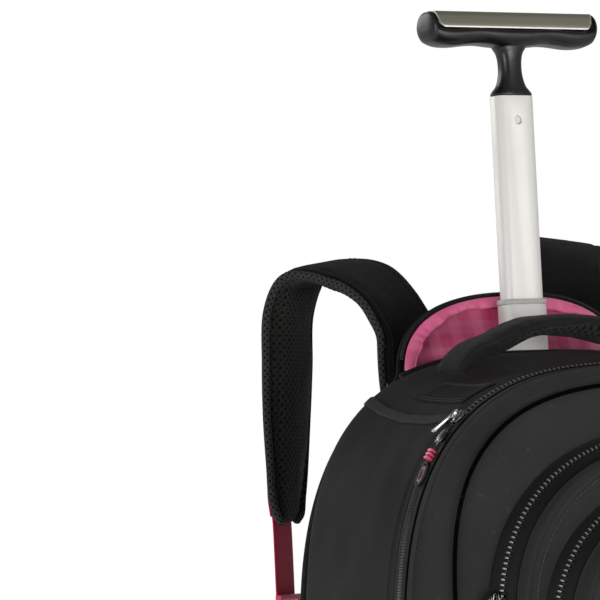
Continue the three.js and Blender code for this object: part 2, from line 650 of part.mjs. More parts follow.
addPiece(tHandle, 'release_button', block(
  [-BUTTON_LENGTH / 2, -BUTTON_DEPTH / 2, -BUTTON_SEAT + BUTTON_TRAVEL + GAP],
  [BUTTON_LENGTH / 2, BUTTON_DEPTH / 2, -BUTTON_SINK],
), PLASTIC);

// Base tray with its upright rear plate
const trayBack = panelBack + GAP + KICK_THICKNESS;
const trayTop = -GAP;
const trayUnder = trayTop - TRAY_THICKNESS;
const trayHalf = TRAY_WIDTH / 2;
const trayFloor = block([-trayHalf, -TRAY_FRONT, trayUnder], [trayHalf, trayBack, trayTop]);
const kickPlate = block([-trayHalf, trayBack - KICK_THICKNESS, trayUnder], [trayHalf, trayBack, KICK_HEIGHT]);
const tray = toManifold(trayFloor).add(toManifold(kickPlate));
addPiece(bag, 'base_tray', fromManifold(tray), PLASTIC);

// Wheels stand on the floor, so their height in the tilted bag follows from the lean
const wheelHeight = (WHEEL_RADIUS - BASE_HEIGHT + WHEEL_DEPTH * Math.sin(LEAN)) / Math.cos(LEAN);
const housingInside = WHEEL_WIDTH / 2 + WHEEL_PLAY;
const housingOutside = housingInside + CHEEK;
const AXLE_HEAD = 5.5;
const AXLE_HEAD_THICKNESS = 2;
const CHEEK_LENGTH = 40;
const CHEEK_FOOT = 9;
const ROOF = 4;
const bore = AXLE_RADIUS + AXLE_PLAY;

// Ring around the X axis from its inner and outer radius, with softened outer corners
function wheelRing(inner, outer, width, soften) {
  const [low, high] = [-width / 2, width / 2];
  const profile = [
    [inner, low], [outer - soften, low], [outer, low + soften],
    [outer, high - soften], [outer - soften, high],
    [inner, high], [inner, low],
  ].map(([radius, across]) => new THREE.Vector2(radius, across));
  return new THREE.LatheGeometry(profile, 20).rotateZ(Math.PI / 2);
}
for (const [label, side] of [['left', -1], ['right', 1]]) {
  const x = (side * WHEEL_SPACING) / 2;
  const housing = new THREE.Group();
  housing.position.set(x, WHEEL_DEPTH, wheelHeight);
  bag.add(housing);
  const roofTop = trayUnder - GAP - wheelHeight;
  const front = -CHEEK_LENGTH / 2;
  const rear = Math.min(CHEEK_LENGTH / 2, trayBack - WHEEL_DEPTH);
  const cheek = (from) => toManifold(block([from, front, -CHEEK_FOOT], [from + CHEEK, rear, roofTop]));
  const shell = toManifold(block([-housingOutside, front, roofTop - ROOF], [housingOutside, rear, roofTop]))
    .add(cheek(-housingOutside))
    .add(cheek(housingInside))
    .subtract(toManifold(cylinderAlong('x', bore, 2 * housingOutside + 2)));
  addPiece(housing, `wheel_housing_${label}`, fromManifold(shell), PLASTIC);

  const axle = new THREE.Group();
  axle.position.set(x, 0, 0).add(new THREE.Vector3(0, WHEEL_DEPTH, wheelHeight).applyEuler(bag.rotation));
  axle.position.z += BASE_HEIGHT;
  backpack.add(axle);
  addPiece(axle, `wheel_tyre_${label}`, wheelRing(HUB_RADIUS + GAP, WHEEL_RADIUS, WHEEL_WIDTH, 3), RUBBER);
  addPiece(axle, `wheel_hub_${label}`, wheelRing(bore, HUB_RADIUS, WHEEL_WIDTH, 1), PLASTIC);
  const headPlace = housingOutside + GAP;
  const heads = [-1, 1].map((end) => {
    const head = cylinderAlong('x', AXLE_HEAD, AXLE_HEAD_THICKNESS);
    return toManifold(head.translate(end * (headPlace + AXLE_HEAD_THICKNESS / 2), 0, 0));
  });
  const pin = toManifold(cylinderAlong('x', AXLE_RADIUS, 2 * headPlace + 1)).add(heads[0]).add(heads[1]);
  addPiece(axle, `wheel_axle_${label}`, fromManifold(pin), ALUMINIUM);
}

// Front feet: wedges whose flat soles lie on the floor and whose tops follow the leaning tray
function onFloorFrame(y, z) {
  return new THREE.Vector3(0, y, z).applyEuler(bag.rotation).add(new THREE.Vector3(0, 0, BASE_HEIGHT));
}
for (const [label, side] of [['left', -1], ['right', 1]]) {
  const frontTop = onFloorFrame(-TRAY_FRONT + 4, trayUnder - GAP);
  const rearTop = onFloorFrame(-TRAY_FRONT + 4 + FOOT_LENGTH, trayUnder - GAP);
  const profile = [
    [frontTop.y, frontTop.z], [rearTop.y, rearTop.z], [rearTop.y - 5, 0], [frontTop.y + 5, 0],
  ];
  const faces = [[-1, 1], [1, 1]].map(([end]) => profile.map(([y, z], i) => new THREE.Vector3(
    (side * FOOT_SPACING) / 2 + (end * (FOOT_WIDTH - (i > 1 ? 8 : 0))) / 2, y, z,
  )));
  addPiece(backpack, `front_foot_${label}`, loft(faces), PLASTIC);
}

// Shoulder straps. Each row is one station from the sewn top end to the free tip: across is a share
// of STRAP_SPREAD, back of STRAP_REACH and height of BAG_HEIGHT, turn and tilt (degrees) point the
// strap's width inwards, and width and thick are shares of the full strap.
const STRAP = table(['across', 'back', 'height', 'turn', 'tilt', 'width', 'thick'], [
  [0.542, -0.027, 0.88, 0, 0, 0.9, 0.55],
  [0.523, 0, 0.944, 0, 0, 1, 0.8],
  [0.505, 0.14, 1.007, 22, 5, 1, 1],
  [0.533, 0.243, 1.044, 30, 9, 1, 1],
  [0.579, 0.364, 1.078, 34, 12, 1, 1],
  [0.645, 0.533, 1.107, 35, 15, 1, 1],
  [0.738, 0.72, 1.12, 35, 10, 1, 1],
  [0.841, 0.888, 1.111, 35, 4, 1, 1],
  [0.897, 0.981, 1.062, 35, 0, 1, 1],
  [0.916, 1, 0.993, 35, 0, 1, 1],
  [0.944, 1, 0.92, 35, 0, 0.95, 1],
  [0.963, 1, 0.847, 35, 0, 0.86, 1],
  [0.981, 0.991, 0.804, 35, 0, 0.76, 0.95],
  [0.981, 0.981, 0.776, 35, 0, 0.62, 0.85],
  [0.981, 0.981, 0.762, 35, 0, 0.36, 0.6],
]).map((row) => ({
  ...row, across: row.across * STRAP_SPREAD, back: row.back * STRAP_REACH, height: row.height * BAG_HEIGHT,
}));
const strapBack = panelBack + GAP + STRAP_THICKNESS / 2;
const WEBBING_LAP_FROM = 11;                // strap station where the sewn-on webbing begins
const BUCKLE = { width: 34, height: 27, thickness: 5, bar: 4, slot: 6.5 };
const BUCKLE_DROP = 60;                     // strap tip to the middle of the buckle
const TAB = { width: 32, height: 28, thickness: 1.6, across: BAG_WIDTH / 2 - 43, foot: 84 };
// Adjusting webbing between the buckle and the tab: how far each bend lies outwards of the buckle's
// slot, in front of it and below it. Its last bend is halfway across to the tab.
const ADJUSTER = table(['outwards', 'forward', 'below'], [[2, -1, 38], [4, 16, 96]]);
const ADJUSTER_ELBOW = { forward: STRAP_REACH * 0.58, below: BAG_HEIGHT * 0.307 };
const TAB_LEAD = { above: 8, off: 12 };     // where the webbing comes in over the tab
const FLAT_FROM = 0.7;                      // share of the webbing where it lies square to the panel

function strapDirection(row, side) {
  const [turn, tilt] = [row.turn, row.tilt].map(THREE.MathUtils.degToRad);
  const level = Math.cos(tilt);
  return new THREE.Vector3(-side * Math.cos(turn) * level, Math.sin(turn) * level, Math.sin(tilt));
}
function between(rows, pick) {
  return (share) => {
    const place = Math.min(share * (rows.length - 1), rows.length - 1 - 1e-9);
    const low = Math.floor(place);
    return THREE.MathUtils.lerp(pick(rows[low]), pick(rows[low + 1]), place - low);
  };
}
const STRAP_SIDES = [['left', -1, 0, 0], ['right', 1, RIGHT_STRAP_RISE, RIGHT_STRAP_SPREAD]];
for (const [label, side, rise, spread] of STRAP_SIDES) {
  const lift = (row, i) => row.height + rise * Math.min(i / 3, 1);
  const aside = (row, i) => side * (row.across + spread * Math.min(i / 6, 1));
  const path = new THREE.CatmullRomCurve3(STRAP.map((row, i) => (
    new THREE.Vector3(aside(row, i), strapBack + row.back, lift(row, i))
  )));
  path.arcLengthDivisions = 400;
  const wideAt = [0, 1, 2].map((axis) => between(STRAP, (row) => strapDirection(row, side).getComponent(axis)));
  const width = between(STRAP, (row) => row.width * STRAP_WIDTH);
  const thick = between(STRAP, (row) => row.thick * STRAP_THICKNESS);
  addPiece(bag, `shoulder_strap_${label}`, sweep({
    path,
    wide: (share) => new THREE.Vector3(...wideAt.map((at) => at(share))),
    size: (share) => [width(share), thick(share)],
    section: SOFT,
    steps: 26,
  }), PADDING);

  // Webbing on the outside of the strap, running on to the buckle
  const last = STRAP.at(-1);
  const wide = strapDirection(last, side);
  const outwards = new THREE.Vector3().crossVectors(wide, new THREE.Vector3(0, 0, side));
  const lastAt = STRAP.length - 1;
  const tip = new THREE.Vector3(aside(last, lastAt), strapBack + last.back, lift(last, lastAt));
  const skin = (last.thick * STRAP_THICKNESS + WEBBING_THICKNESS) / 2 + 2 * GAP;
  const buckleMiddle = tip.clone().addScaledVector(outwards, skin).add(new THREE.Vector3(0, 0, -BUCKLE_DROP));
  const ribbon = (points, steps) => sweep({
    path: new THREE.CatmullRomCurve3(points),
    wide: () => wide,
    size: () => [WEBBING_WIDTH, WEBBING_THICKNESS],
    section: FLAT,
    steps,
  });
  const lap = STRAP.slice(WEBBING_LAP_FROM).map((row, i) => (
    new THREE.Vector3(aside(row, lastAt), strapBack + row.back, lift(row, lastAt))
      .addScaledVector(outwards, (row.thick * STRAP_THICKNESS + WEBBING_THICKNESS) / 2 + 2 * GAP)
  ));
  const buckleTop = buckleMiddle.z + BUCKLE.height / 2;
  const lapEnd = buckleMiddle.clone().setZ(buckleTop - BUCKLE.bar - 2);
  addPiece(bag, `strap_webbing_${label}`, ribbon([...lap, lapEnd], 12), WEBBING);

  // Ladder-lock buckle: a frame with two slots
  const frame = block(
    [-BUCKLE.width / 2, -BUCKLE.thickness / 2, -BUCKLE.height / 2],
    [BUCKLE.width / 2, BUCKLE.thickness / 2, BUCKLE.height / 2],
  );
  let buckle = toManifold(frame);
  const slotHalf = WEBBING_WIDTH / 2 + 1;
  for (const end of [1, -1]) {
    const outer = end * (BUCKLE.height / 2 - BUCKLE.bar);
    const inner = outer - end * BUCKLE.slot;
    const [low, high] = [Math.min(outer, inner), Math.max(outer, inner)];
    const slot = block([-slotHalf, -BUCKLE.thickness, low], [slotHalf, BUCKLE.thickness, high]);
    buckle = buckle.subtract(toManifold(slot));
  }
  const lock = addPiece(bag, `ladder_lock_${label}`, fromManifold(buckle), BUCKLE_PINK);
  const lockSeat = BUCKLE.thickness / 2 + WEBBING_THICKNESS / 2 + GAP;
  lock.position.copy(buckleMiddle).addScaledVector(outwards, -lockSeat);
  lock.rotation.z = Math.atan2(wide.y, wide.x);

  // Adjusting webbing from the buckle down to a tab at the lower corner of the back panel
  const tabX = side * TAB.across;
  const tabFace = panelBack + GAP + TAB.thickness;
  const tabSeat = tabFace + GAP + WEBBING_THICKNESS / 2;
  const slotPlace = buckleMiddle.clone().setZ(buckleTop - BUCKLE.height + BUCKLE.bar + 2);
  addPiece(bag, `adjuster_webbing_${label}`, sweep({
    path: new THREE.CatmullRomCurve3([
      slotPlace,
      ...ADJUSTER.map((row) => new THREE.Vector3(
        slotPlace.x + side * row.outwards, slotPlace.y - row.forward, slotPlace.z - row.below,
      )),
      new THREE.Vector3(
        (slotPlace.x + tabX) / 2, slotPlace.y - ADJUSTER_ELBOW.forward, slotPlace.z - ADJUSTER_ELBOW.below,
      ),
      new THREE.Vector3(tabX, tabFace + TAB_LEAD.off, TAB.foot + TAB.height + TAB_LEAD.above),
      new THREE.Vector3(tabX, tabSeat + 1, TAB.foot + TAB.height - TAB_LEAD.above),
      new THREE.Vector3(tabX, tabSeat, TAB.foot + 6),
    ]),
    wide: (share) => wide.clone().lerp(new THREE.Vector3(-side, 0, 0), Math.min(share / FLAT_FROM, 1)),
    size: () => [WEBBING_WIDTH, WEBBING_THICKNESS],
    section: FLAT,
    steps: 18,
  }), WEBBING);
  addPiece(bag, `webbing_tab_${label}`, block(
    [tabX - TAB.width / 2, panelBack + GAP, TAB.foot],
    [tabX + TAB.width / 2, tabFace, TAB.foot + TAB.height],
  ), FABRIC);
}

// Height of the main bag's top at a place across it and in front of the partition wall
function topAt(x, depth) {
  const share = depth / -GUSSET_DEPTH;
  const next = REAR_BODY.findIndex((station) => station.depth / -GUSSET_DEPTH <= share);
  const [a, b] = [REAR_BODY[next - 1], REAR_BODY[next]];
  const mix = (depth - a.depth) / (b.depth - a.depth);
  const width = THREE.MathUtils.lerp(a.halfWidth, b.halfWidth, mix);
  const top = THREE.MathUtils.lerp(a.top, b.top, mix);
  return top - ARCH_HEIGHT + ARCH_HEIGHT * (1 - Math.abs(x / width) ** ARCH_POWER) ** (1 / ARCH_POWER);
}

// Grab handle on two sewn patches
const PATCH = { inner: 80, outer: 112, depth: 60, place: 68, thickness: 1.4, lift: 0.6 };
const GRAB_END_TILT = 10;                   // degrees the handle's ends tip forward
const GRAB = table(['along', 'rise', 'thick'], [
  [-1, 0, 0.5], [-0.84, 0.34, 0.72], [-0.68, 0.48, 0.92], [-0.36, 0.84, 1], [0, 1, 1],
  [0.36, 0.84, 1], [0.68, 0.48, 0.92], [0.84, 0.34, 0.72], [1, 0, 0.5],
]);
const patchTop = topAt(PATCH.inner + 3, -GRAB_PLACE) + PATCH.lift + PATCH.thickness;
const grabFoot = patchTop + GAP + GRAB_THICKNESS * 0.25;
function grabWidth(outwards) {
  const tilt = THREE.MathUtils.degToRad(GRAB_END_TILT) * outwards;
  return new THREE.Vector3(0, Math.cos(tilt), Math.sin(tilt));
}
addPiece(bag, 'grab_handle', sweep({
  path: new THREE.CatmullRomCurve3(GRAB.map((row) => new THREE.Vector3(
    GRAB_HALF_LENGTH * row.along, -GRAB_PLACE, grabFoot + GRAB_RISE * row.rise,
  ))),
  wide: (share) => grabWidth(Math.abs(2 * share - 1)),
  size: (share) => [GRAB_DEPTH, GRAB_THICKNESS * between(GRAB, (row) => row.thick)(share)],
  section: SOFT,
  steps: 24,
}), PADDING);

// Strip of cloth that lies on the bag's top, following it between two places across
function onTop({ from, to, depth, width, thickness, lift, steps }) {
  const sections = [];
  for (let i = 0; i <= steps; i += 1) {
    const x = from + ((to - from) * i) / steps;
    const corners = [[-1, 0], [1, 0], [1, 1], [-1, 1]].map(([end, up]) => {
      const y = depth + (end * width) / 2;
      return new THREE.Vector3(x, y, topAt(x, y) + lift + up * thickness);
    });
    sections.push(corners);
  }
  return loft(sections);
}
for (const [label, side] of [['left', -1], ['right', 1]]) {
  addPiece(bag, `handle_patch_${label}`, onTop({
    from: side * PATCH.inner,
    to: side * PATCH.outer,
    depth: -PATCH.place,
    width: PATCH.depth,
    thickness: PATCH.thickness,
    lift: PATCH.lift,
    steps: 5,
  }), FABRIC);
}

// Place on an arched edge, with the directions along it and out of it. The angle is in degrees
// from the right-hand springing over the top to the left-hand one.
function edgePlace(station, degrees) {
  const { depth, halfWidth, top, arch = ARCH_HEIGHT, power = ARCH_POWER } = station;
  const at = (turn) => {
    const angle = THREE.MathUtils.degToRad(turn);
    const x = Math.sign(Math.cos(angle)) * Math.abs(Math.cos(angle)) ** (2 / power);
    return new THREE.Vector3(halfWidth * x, depth, top - arch + arch * Math.sin(angle) ** (2 / power));
  };
  const along = at(degrees + 0.5).sub(at(degrees - 0.5)).normalize();
  return { point: at(degrees), along, out: new THREE.Vector3(along.z, 0, -along.x) };
}

// A flat block laid on an edge: length runs along it, width in depth and height stands out of it
function laidOn(place, { length, width, height }, lift, shift = 0) {
  const geometry = new THREE.BoxGeometry(length, width, height);
  const across = place.along.clone().cross(place.out).negate();
  const turn = new THREE.Matrix4().makeBasis(place.along, across, place.out);
  const middle = place.point.clone()
    .addScaledVector(place.out, lift + height / 2)
    .addScaledVector(place.along, shift);
  return geometry.applyMatrix4(turn).translate(middle.x, middle.y, middle.z);
}

// Two sliders that meet on the upper left of the main zip
const SLIDER = { length: 11, width: 8, height: 4 };
const PULL = { length: 20, width: 5, height: 1.8 };
const zipMiddle = { ...zipEdge, depth: zipRear - ZIP_WIDTH / 2 };
const SLIDER_MEET = 132;                    // degrees along the arch where the two sliders meet
const SLIDER_HALF_STEP = 3.2;
const upper = edgePlace(zipMiddle, SLIDER_MEET - SLIDER_HALF_STEP);
const lower = edgePlace(zipMiddle, SLIDER_MEET + SLIDER_HALF_STEP);
addPiece(bag, 'main_slider_upper', laidOn(upper, SLIDER, GAP), GUNMETAL);
addPiece(bag, 'main_slider_lower', laidOn(lower, SLIDER, GAP), GUNMETAL);
addPiece(bag, 'main_pull_bar', laidOn(upper, PULL, SLIDER.height + 2 * GAP, PULL.length / 2 - 2), GUNMETAL);

// Cord pull on the lower slider: a banded pink block with a soft loop below it
const CORD_BLOCK = { length: 9, width: 7, height: 5 };
const CORD_LOOP = { length: 15, width: 9, height: 3 };
const BLOCK_TURN = 8.6;                     // degrees along the arch past the meeting point
const LOOP_TURN = 13.4;
const blockPlace = edgePlace(zipMiddle, SLIDER_MEET + BLOCK_TURN);
const loopPlace = edgePlace(zipMiddle, SLIDER_MEET + LOOP_TURN);
addPiece(bag, 'main_pull_block', laidOn(blockPlace, CORD_BLOCK, GAP), BUCKLE_PINK);
addPiece(bag, 'main_pull_loop', laidOn(loopPlace, CORD_LOOP, GAP), PLASTIC);

// One slider with a hanging pull on each front pocket, placed in degrees along its arch
function pocketSlider({ name, seat, width, height, arch, sliderPlace }) {
  const edge = {
    depth: seat - GAP - POCKET_ZIP_DEPTH / 2,
    halfWidth: (width - POCKET_ZIP_SLOPE) / 2,
    top: height - POCKET_ZIP_SLOPE / 2,
    arch: arch - POCKET_ZIP_SLOPE / 2,
    power: POCKET_POWER,
  };
  const place = edgePlace(edge, sliderPlace);
  const slope = POCKET_ZIP_SLOPE / POCKET_ZIP_DEPTH;
  const clear = (SLIDER.width / 2) * slope + GAP;
  addPiece(bag, `${name}_slider`, laidOn(place, SLIDER, clear), GUNMETAL);
  const along = Math.sign(sliderPlace - 90) * (PULL.length / 2 - 2);
  addPiece(bag, `${name}_pull`, laidOn(place, PULL, clear + SLIDER.height + GAP, along), GUNMETAL);
}
pocketSlider(LARGE_POCKET);
pocketSlider(SMALL_POCKET);

// Webbing sewn over the upper gusset from the rear seam to the main zip
const BAND_ANGLE = { left: 127.5, right: 52.5 };
const SIDE_BAND = { width: 8, thickness: 1.4, steps: 6 };
for (const [label, degrees] of Object.entries(BAND_ANGLE)) {
  const sections = [];
  for (let i = 0; i <= SIDE_BAND.steps; i += 1) {
    const share = 0.04 + (0.92 * i) / SIDE_BAND.steps;
    const next = Math.max(REAR_BODY.findIndex((station) => station.depth / -GUSSET_DEPTH <= share), 1);
    const [a, b] = [REAR_BODY[next - 1], REAR_BODY[next]];
    const depth = -GUSSET_DEPTH * share;
    const mix = (depth - a.depth) / (b.depth - a.depth);
    const station = {
      depth,
      halfWidth: THREE.MathUtils.lerp(a.halfWidth, b.halfWidth, mix),
      top: THREE.MathUtils.lerp(a.top, b.top, mix),
    };
    const { point, along, out } = edgePlace(station, degrees);
    sections.push([[-1, 0], [1, 0], [1, 1], [-1, 1]].map(([end, up]) => point.clone()
      .addScaledVector(along, (end * SIDE_BAND.width) / 2)
      .addScaledVector(out, 0.9 + up * SIDE_BAND.thickness)));
  }
  addPiece(bag, `gusset_band_${label}`, loft(sections), WEBBING);
}

// Origin at the middle of the footprint, on the floor
backpack.updateMatrixWorld(true);
const extent = new THREE.Box3().setFromObject(backpack, true);
const centre = extent.getCenter(new THREE.Vector3());
backpack.position.set(-centre.x, -centre.y, -extent.min.z);

export default backpack;
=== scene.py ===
"""Dressed model of a wheeled school backpack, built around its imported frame.

Every length is in millimetres until a mesh is made, and in metres from then on. The bag leans
back on its wheels, so most pieces are laid out in the bag's own upright frame (x across,
y depth from the partition wall, z height above the base) and then placed by BagFrame.
"""

import json
import logging
import math
from dataclasses import dataclass, field
from enum import Enum
from typing import Callable, Iterable, Optional, Sequence

import bmesh
import bpy
import numpy as np
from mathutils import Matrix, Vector
from mathutils.bvhtree import BVHTree

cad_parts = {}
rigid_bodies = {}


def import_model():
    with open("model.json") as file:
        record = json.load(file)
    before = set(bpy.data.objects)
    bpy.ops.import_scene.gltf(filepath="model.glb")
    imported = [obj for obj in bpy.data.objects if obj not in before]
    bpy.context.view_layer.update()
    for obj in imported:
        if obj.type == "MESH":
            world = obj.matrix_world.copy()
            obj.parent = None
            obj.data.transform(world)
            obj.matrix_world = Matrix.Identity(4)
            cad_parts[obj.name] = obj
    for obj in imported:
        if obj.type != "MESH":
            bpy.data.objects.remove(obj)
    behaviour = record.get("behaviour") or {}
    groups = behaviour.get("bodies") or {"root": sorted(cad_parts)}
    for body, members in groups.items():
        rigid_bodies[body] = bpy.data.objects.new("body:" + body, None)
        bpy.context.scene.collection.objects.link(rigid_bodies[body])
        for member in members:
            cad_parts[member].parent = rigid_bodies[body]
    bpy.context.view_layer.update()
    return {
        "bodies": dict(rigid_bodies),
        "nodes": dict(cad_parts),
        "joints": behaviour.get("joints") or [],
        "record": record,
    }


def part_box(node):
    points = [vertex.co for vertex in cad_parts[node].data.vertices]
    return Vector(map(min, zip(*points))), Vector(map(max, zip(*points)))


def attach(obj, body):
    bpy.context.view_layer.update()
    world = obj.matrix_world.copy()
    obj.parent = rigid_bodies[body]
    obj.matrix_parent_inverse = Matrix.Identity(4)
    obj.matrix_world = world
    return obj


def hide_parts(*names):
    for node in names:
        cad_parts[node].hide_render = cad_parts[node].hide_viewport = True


LOG = logging.getLogger("backpack")
MM = 0.001
SEED = 7


class Coordinates(Enum):
    """Where a finish reads its pattern from."""

    OBJECT = "Object"
    UV = "UV"


# Placing and meshing


@dataclass(frozen=True)
class BagFrame:
    """The bag's upright frame and how it stands on the floor."""

    lean_degrees: float = 6.0
    base_height: float = 66.0
    shift_back: float = -7.356

    def place(self, points: np.ndarray) -> np.ndarray:
        """Moves bag points to the row frame.

        Args:
            points: n by 3 array in millimetres in the bag's frame.

        Returns:
            n by 3 array in metres in the row frame.
        """
        points = np.asarray(points, float)
        lean = math.radians(self.lean_degrees)
        x, y, z = points[..., 0], points[..., 1], points[..., 2]
        back = y * math.cos(lean) + z * math.sin(lean) + self.shift_back
        height = z * math.cos(lean) - y * math.sin(lean) + self.base_height
        return np.stack([x, back, height], axis=-1) * MM

    def lift_out(self, points: np.ndarray) -> np.ndarray:
        """Reads row frame points as bag points.

        Args:
            points: places in the row frame, in metres.

        Returns:
            The places in the bag frame, in millimetres.
        """
        points = np.asarray(points, float) / MM
        lean = math.radians(self.lean_degrees)
        x, back, height = points[..., 0], points[..., 1] - self.shift_back, points[
            ..., 2,
        ] - self.base_height
        return np.stack([
            x,
            back * math.cos(lean) - height * math.sin(lean),
            back * math.sin(lean) + height * math.cos(lean),
        ], axis=-1)

    def turn(self, directions: np.ndarray) -> np.ndarray:
        """Turns bag directions into the row frame.

        Args:
            directions: directions in the bag frame.

        Returns:
            Row frame directions of unit length.
        """
        directions = np.asarray(directions, float)
        lean = math.radians(self.lean_degrees)
        x, y, z = directions[..., 0], directions[..., 1], directions[..., 2]
        turned = np.stack([
            x,
            y * math.cos(lean) + z * math.sin(lean),
            z * math.cos(lean) - y * math.sin(lean),
        ], axis=-1)
        return unit(turned)


BAG = BagFrame()


def unit(vectors: np.ndarray) -> np.ndarray:
    """Scales each vector to a length of one."""
    size = np.linalg.norm(vectors, axis=-1, keepdims=True)
    return vectors / np.maximum(size, 1e-12)


def smooth_rows(rows: Sequence[Sequence[float]], count: int) -> np.ndarray:
    """Resamples a table of stations along a Catmull-Rom curve.

    Args:
        rows: stations, one row of numbers each.
        count: number of stations wanted.

    Returns:
        count rows of the same columns.
    """
    table = np.asarray(rows, float)
    padded = np.vstack([2 * table[0] - table[1], table, 2 * table[-1] - table[-2]])
    places = np.linspace(0, len(table) - 1, count)
    result = []
    for place in places:
        low = min(int(place), len(table) - 2)
        t = place - low
        a, b, c, d = padded[low:low + 4]
        result.append(0.5 * (
            2 * b + (c - a) * t + (2 * a - 5 * b + 4 * c - d) * t ** 2 + (3 * b - a - 3 * c + d) * t ** 3
        ))
    return np.array(result)


def resample(points: np.ndarray, count: int, closed: bool = False) -> np.ndarray:
    """Spreads points evenly along a line.

    Args:
        points: the line's points.
        count: number of points wanted.
        closed: whether the last point joins the first.

    Returns:
        count evenly spaced points; a closed line doesn't repeat its first point.
    """
    line = np.vstack([points, points[:1]]) if closed else np.asarray(points, float)
    steps = np.linalg.norm(np.diff(line, axis=0), axis=1)
    along = np.concatenate([[0], np.cumsum(steps)])
    wanted = np.linspace(0, along[-1], count + 1)[:-1] if closed else np.linspace(0, along[-1], count)
    return np.stack([np.interp(wanted, along, line[:, i]) for i in range(line.shape[1])], axis=-1)


def line_length(points: np.ndarray) -> float:
    """Length of a line of points."""
    return float(np.linalg.norm(np.diff(points, axis=0), axis=1).sum())


def noise(points: np.ndarray, size: float, seed: int = SEED, octaves: int = 3) -> np.ndarray:
    """Smooth noise from a few random waves, the same on each run.

    Args:
        points: n by 3 array in any unit.
        size: length of the longest wave, in the same unit.
        seed: picks the pattern.
        octaves: number of wave sets, each half the size of the one before.

    Returns:
        n values of about -1 to 1.
    """
    draw = np.random.default_rng(seed)
    total = np.zeros(len(points))
    weight = 0.0
    for octave in range(octaves):
        for _ in range(5):
            direction = unit(draw.normal(size=3))
            phase = draw.uniform(0, 2 * math.pi)
            wave = points @ direction * (2 * math.pi / (size / 2 ** octave)) * draw.uniform(0.7, 1.3)
            total += np.sin(wave + phase) * 0.5 ** octave
        weight += 2.2 * 0.5 ** octave
    return total / weight


def make_object(
    name: str,
    points: np.ndarray,
    faces: Iterable[Sequence[int]],
    material: bpy.types.Material,
    uv: Optional[np.ndarray] = None,
    smooth: bool = True,
) -> bpy.types.Object:
    """Makes a mesh object in the row frame.

    Args:
        name: piece name.
        points: n by 3 array in metres.
        faces: tuples of point numbers.
        material: its finish.
        uv: n by 2 array of surface coordinates in metres, one per point.
        smooth: whether it is shaded smooth.

    Returns:
        The linked object.
    """
    mesh = bpy.data.meshes.new(name)
    mesh.from_pydata([tuple(p) for p in points], [], [tuple(f) for f in faces])
    mesh.validate()
    if uv is not None:
        layer = mesh.uv_layers.new(name="cloth")
        index = np.zeros(len(mesh.loops), int)
        mesh.loops.foreach_get("vertex_index", index)
        layer.data.foreach_set("uv", np.asarray(uv, np.float32)[index].ravel())
    mesh.polygons.foreach_set("use_smooth", [smooth] * len(mesh.polygons))
    mesh.materials.append(material)
    piece = bpy.data.objects.new(name, mesh)
    bpy.context.scene.collection.objects.link(piece)
    return piece


def grid_faces(rows: int, columns: int, closed_rows: bool = False, closed_columns: bool = False) -> list:
    """Quads of a grid of points that runs row by row.

    Args:
        rows: number of rows.
        columns: number of points in a row.
        closed_rows: joins the last row to the first.
        closed_columns: joins each row's end to its start.

    Returns:
        List of tuples of four point numbers.
    """
    faces = []
    for i in range(rows if closed_rows else rows - 1):
        for j in range(columns if closed_columns else columns - 1):
            a = i * columns + j
            b = i * columns + (j + 1) % columns
            c = ((i + 1) % rows) * columns + (j + 1) % columns
            d = ((i + 1) % rows) * columns + j
            faces.append((a, b, c, d))
    return faces


def face_outwards(piece: bpy.types.Object) -> bpy.types.Object:
    """Turns a closed piece's faces to point out.

    Args:
        piece: closed mesh object.

    Returns:
        The same object.
    """
    work = bmesh.new()
    work.from_mesh(piece.data)
    bmesh.ops.remove_doubles(work, verts=work.verts, dist=1e-7)
    bmesh.ops.recalc_face_normals(work, faces=work.faces)
    work.to_mesh(piece.data)
    work.free()
    return piece


def apply_modifiers(piece: bpy.types.Object) -> bpy.types.Object:
    """Turns a piece's modifiers into plain mesh.

    Args:
        piece: mesh object with live modifiers.

    Returns:
        The same object without modifiers.
    """
    depsgraph = bpy.context.evaluated_depsgraph_get()
    mesh = bpy.data.meshes.new_from_object(piece.evaluated_get(depsgraph), depsgraph=depsgraph)
    old = piece.data
    piece.modifiers.clear()
    piece.data = mesh
    bpy.data.meshes.remove(old)
    return piece


def thicken(piece: bpy.types.Object, thickness: float, offset: float = -1.0) -> bpy.types.Object:
    """Gives an open surface a wall.

    Args:
        piece: the surface.
        thickness: wall in millimetres.
        offset: -1 puts the wall behind the surface, 1 in front.

    Returns:
        The same piece as plain mesh.
    """
    wall = piece.modifiers.new("wall", "SOLIDIFY")
    wall.thickness = thickness * MM
    wall.offset = offset
    wall.use_even_offset = True
    return apply_modifiers(piece)


def subdivided(piece: bpy.types.Object, levels: int = 1) -> bpy.types.Object:
    """Rounds a piece by subdivision."""
    rounding = piece.modifiers.new("rounding", "SUBSURF")
    rounding.levels = levels
    rounding.render_levels = levels
    return apply_modifiers(piece)


def bevelled(
    piece: bpy.types.Object, width: float, segments: int = 2, angle: float = 35,
) -> bpy.types.Object:
    """Rounds a piece's sharp edges.

    Args:
        piece: a closed mesh.
        width: bevel width in millimetres.
        segments: facets across the bevel.
        angle: edges sharper than this many degrees are rounded.

    Returns:
        The same piece as plain mesh.
    """
    bevel = piece.modifiers.new("bevel", "BEVEL")
    bevel.width = width * MM
    bevel.segments = segments
    bevel.limit_method = "ANGLE"
    bevel.angle_limit = math.radians(angle)
    bevel.harden_normals = False
    return apply_modifiers(piece)


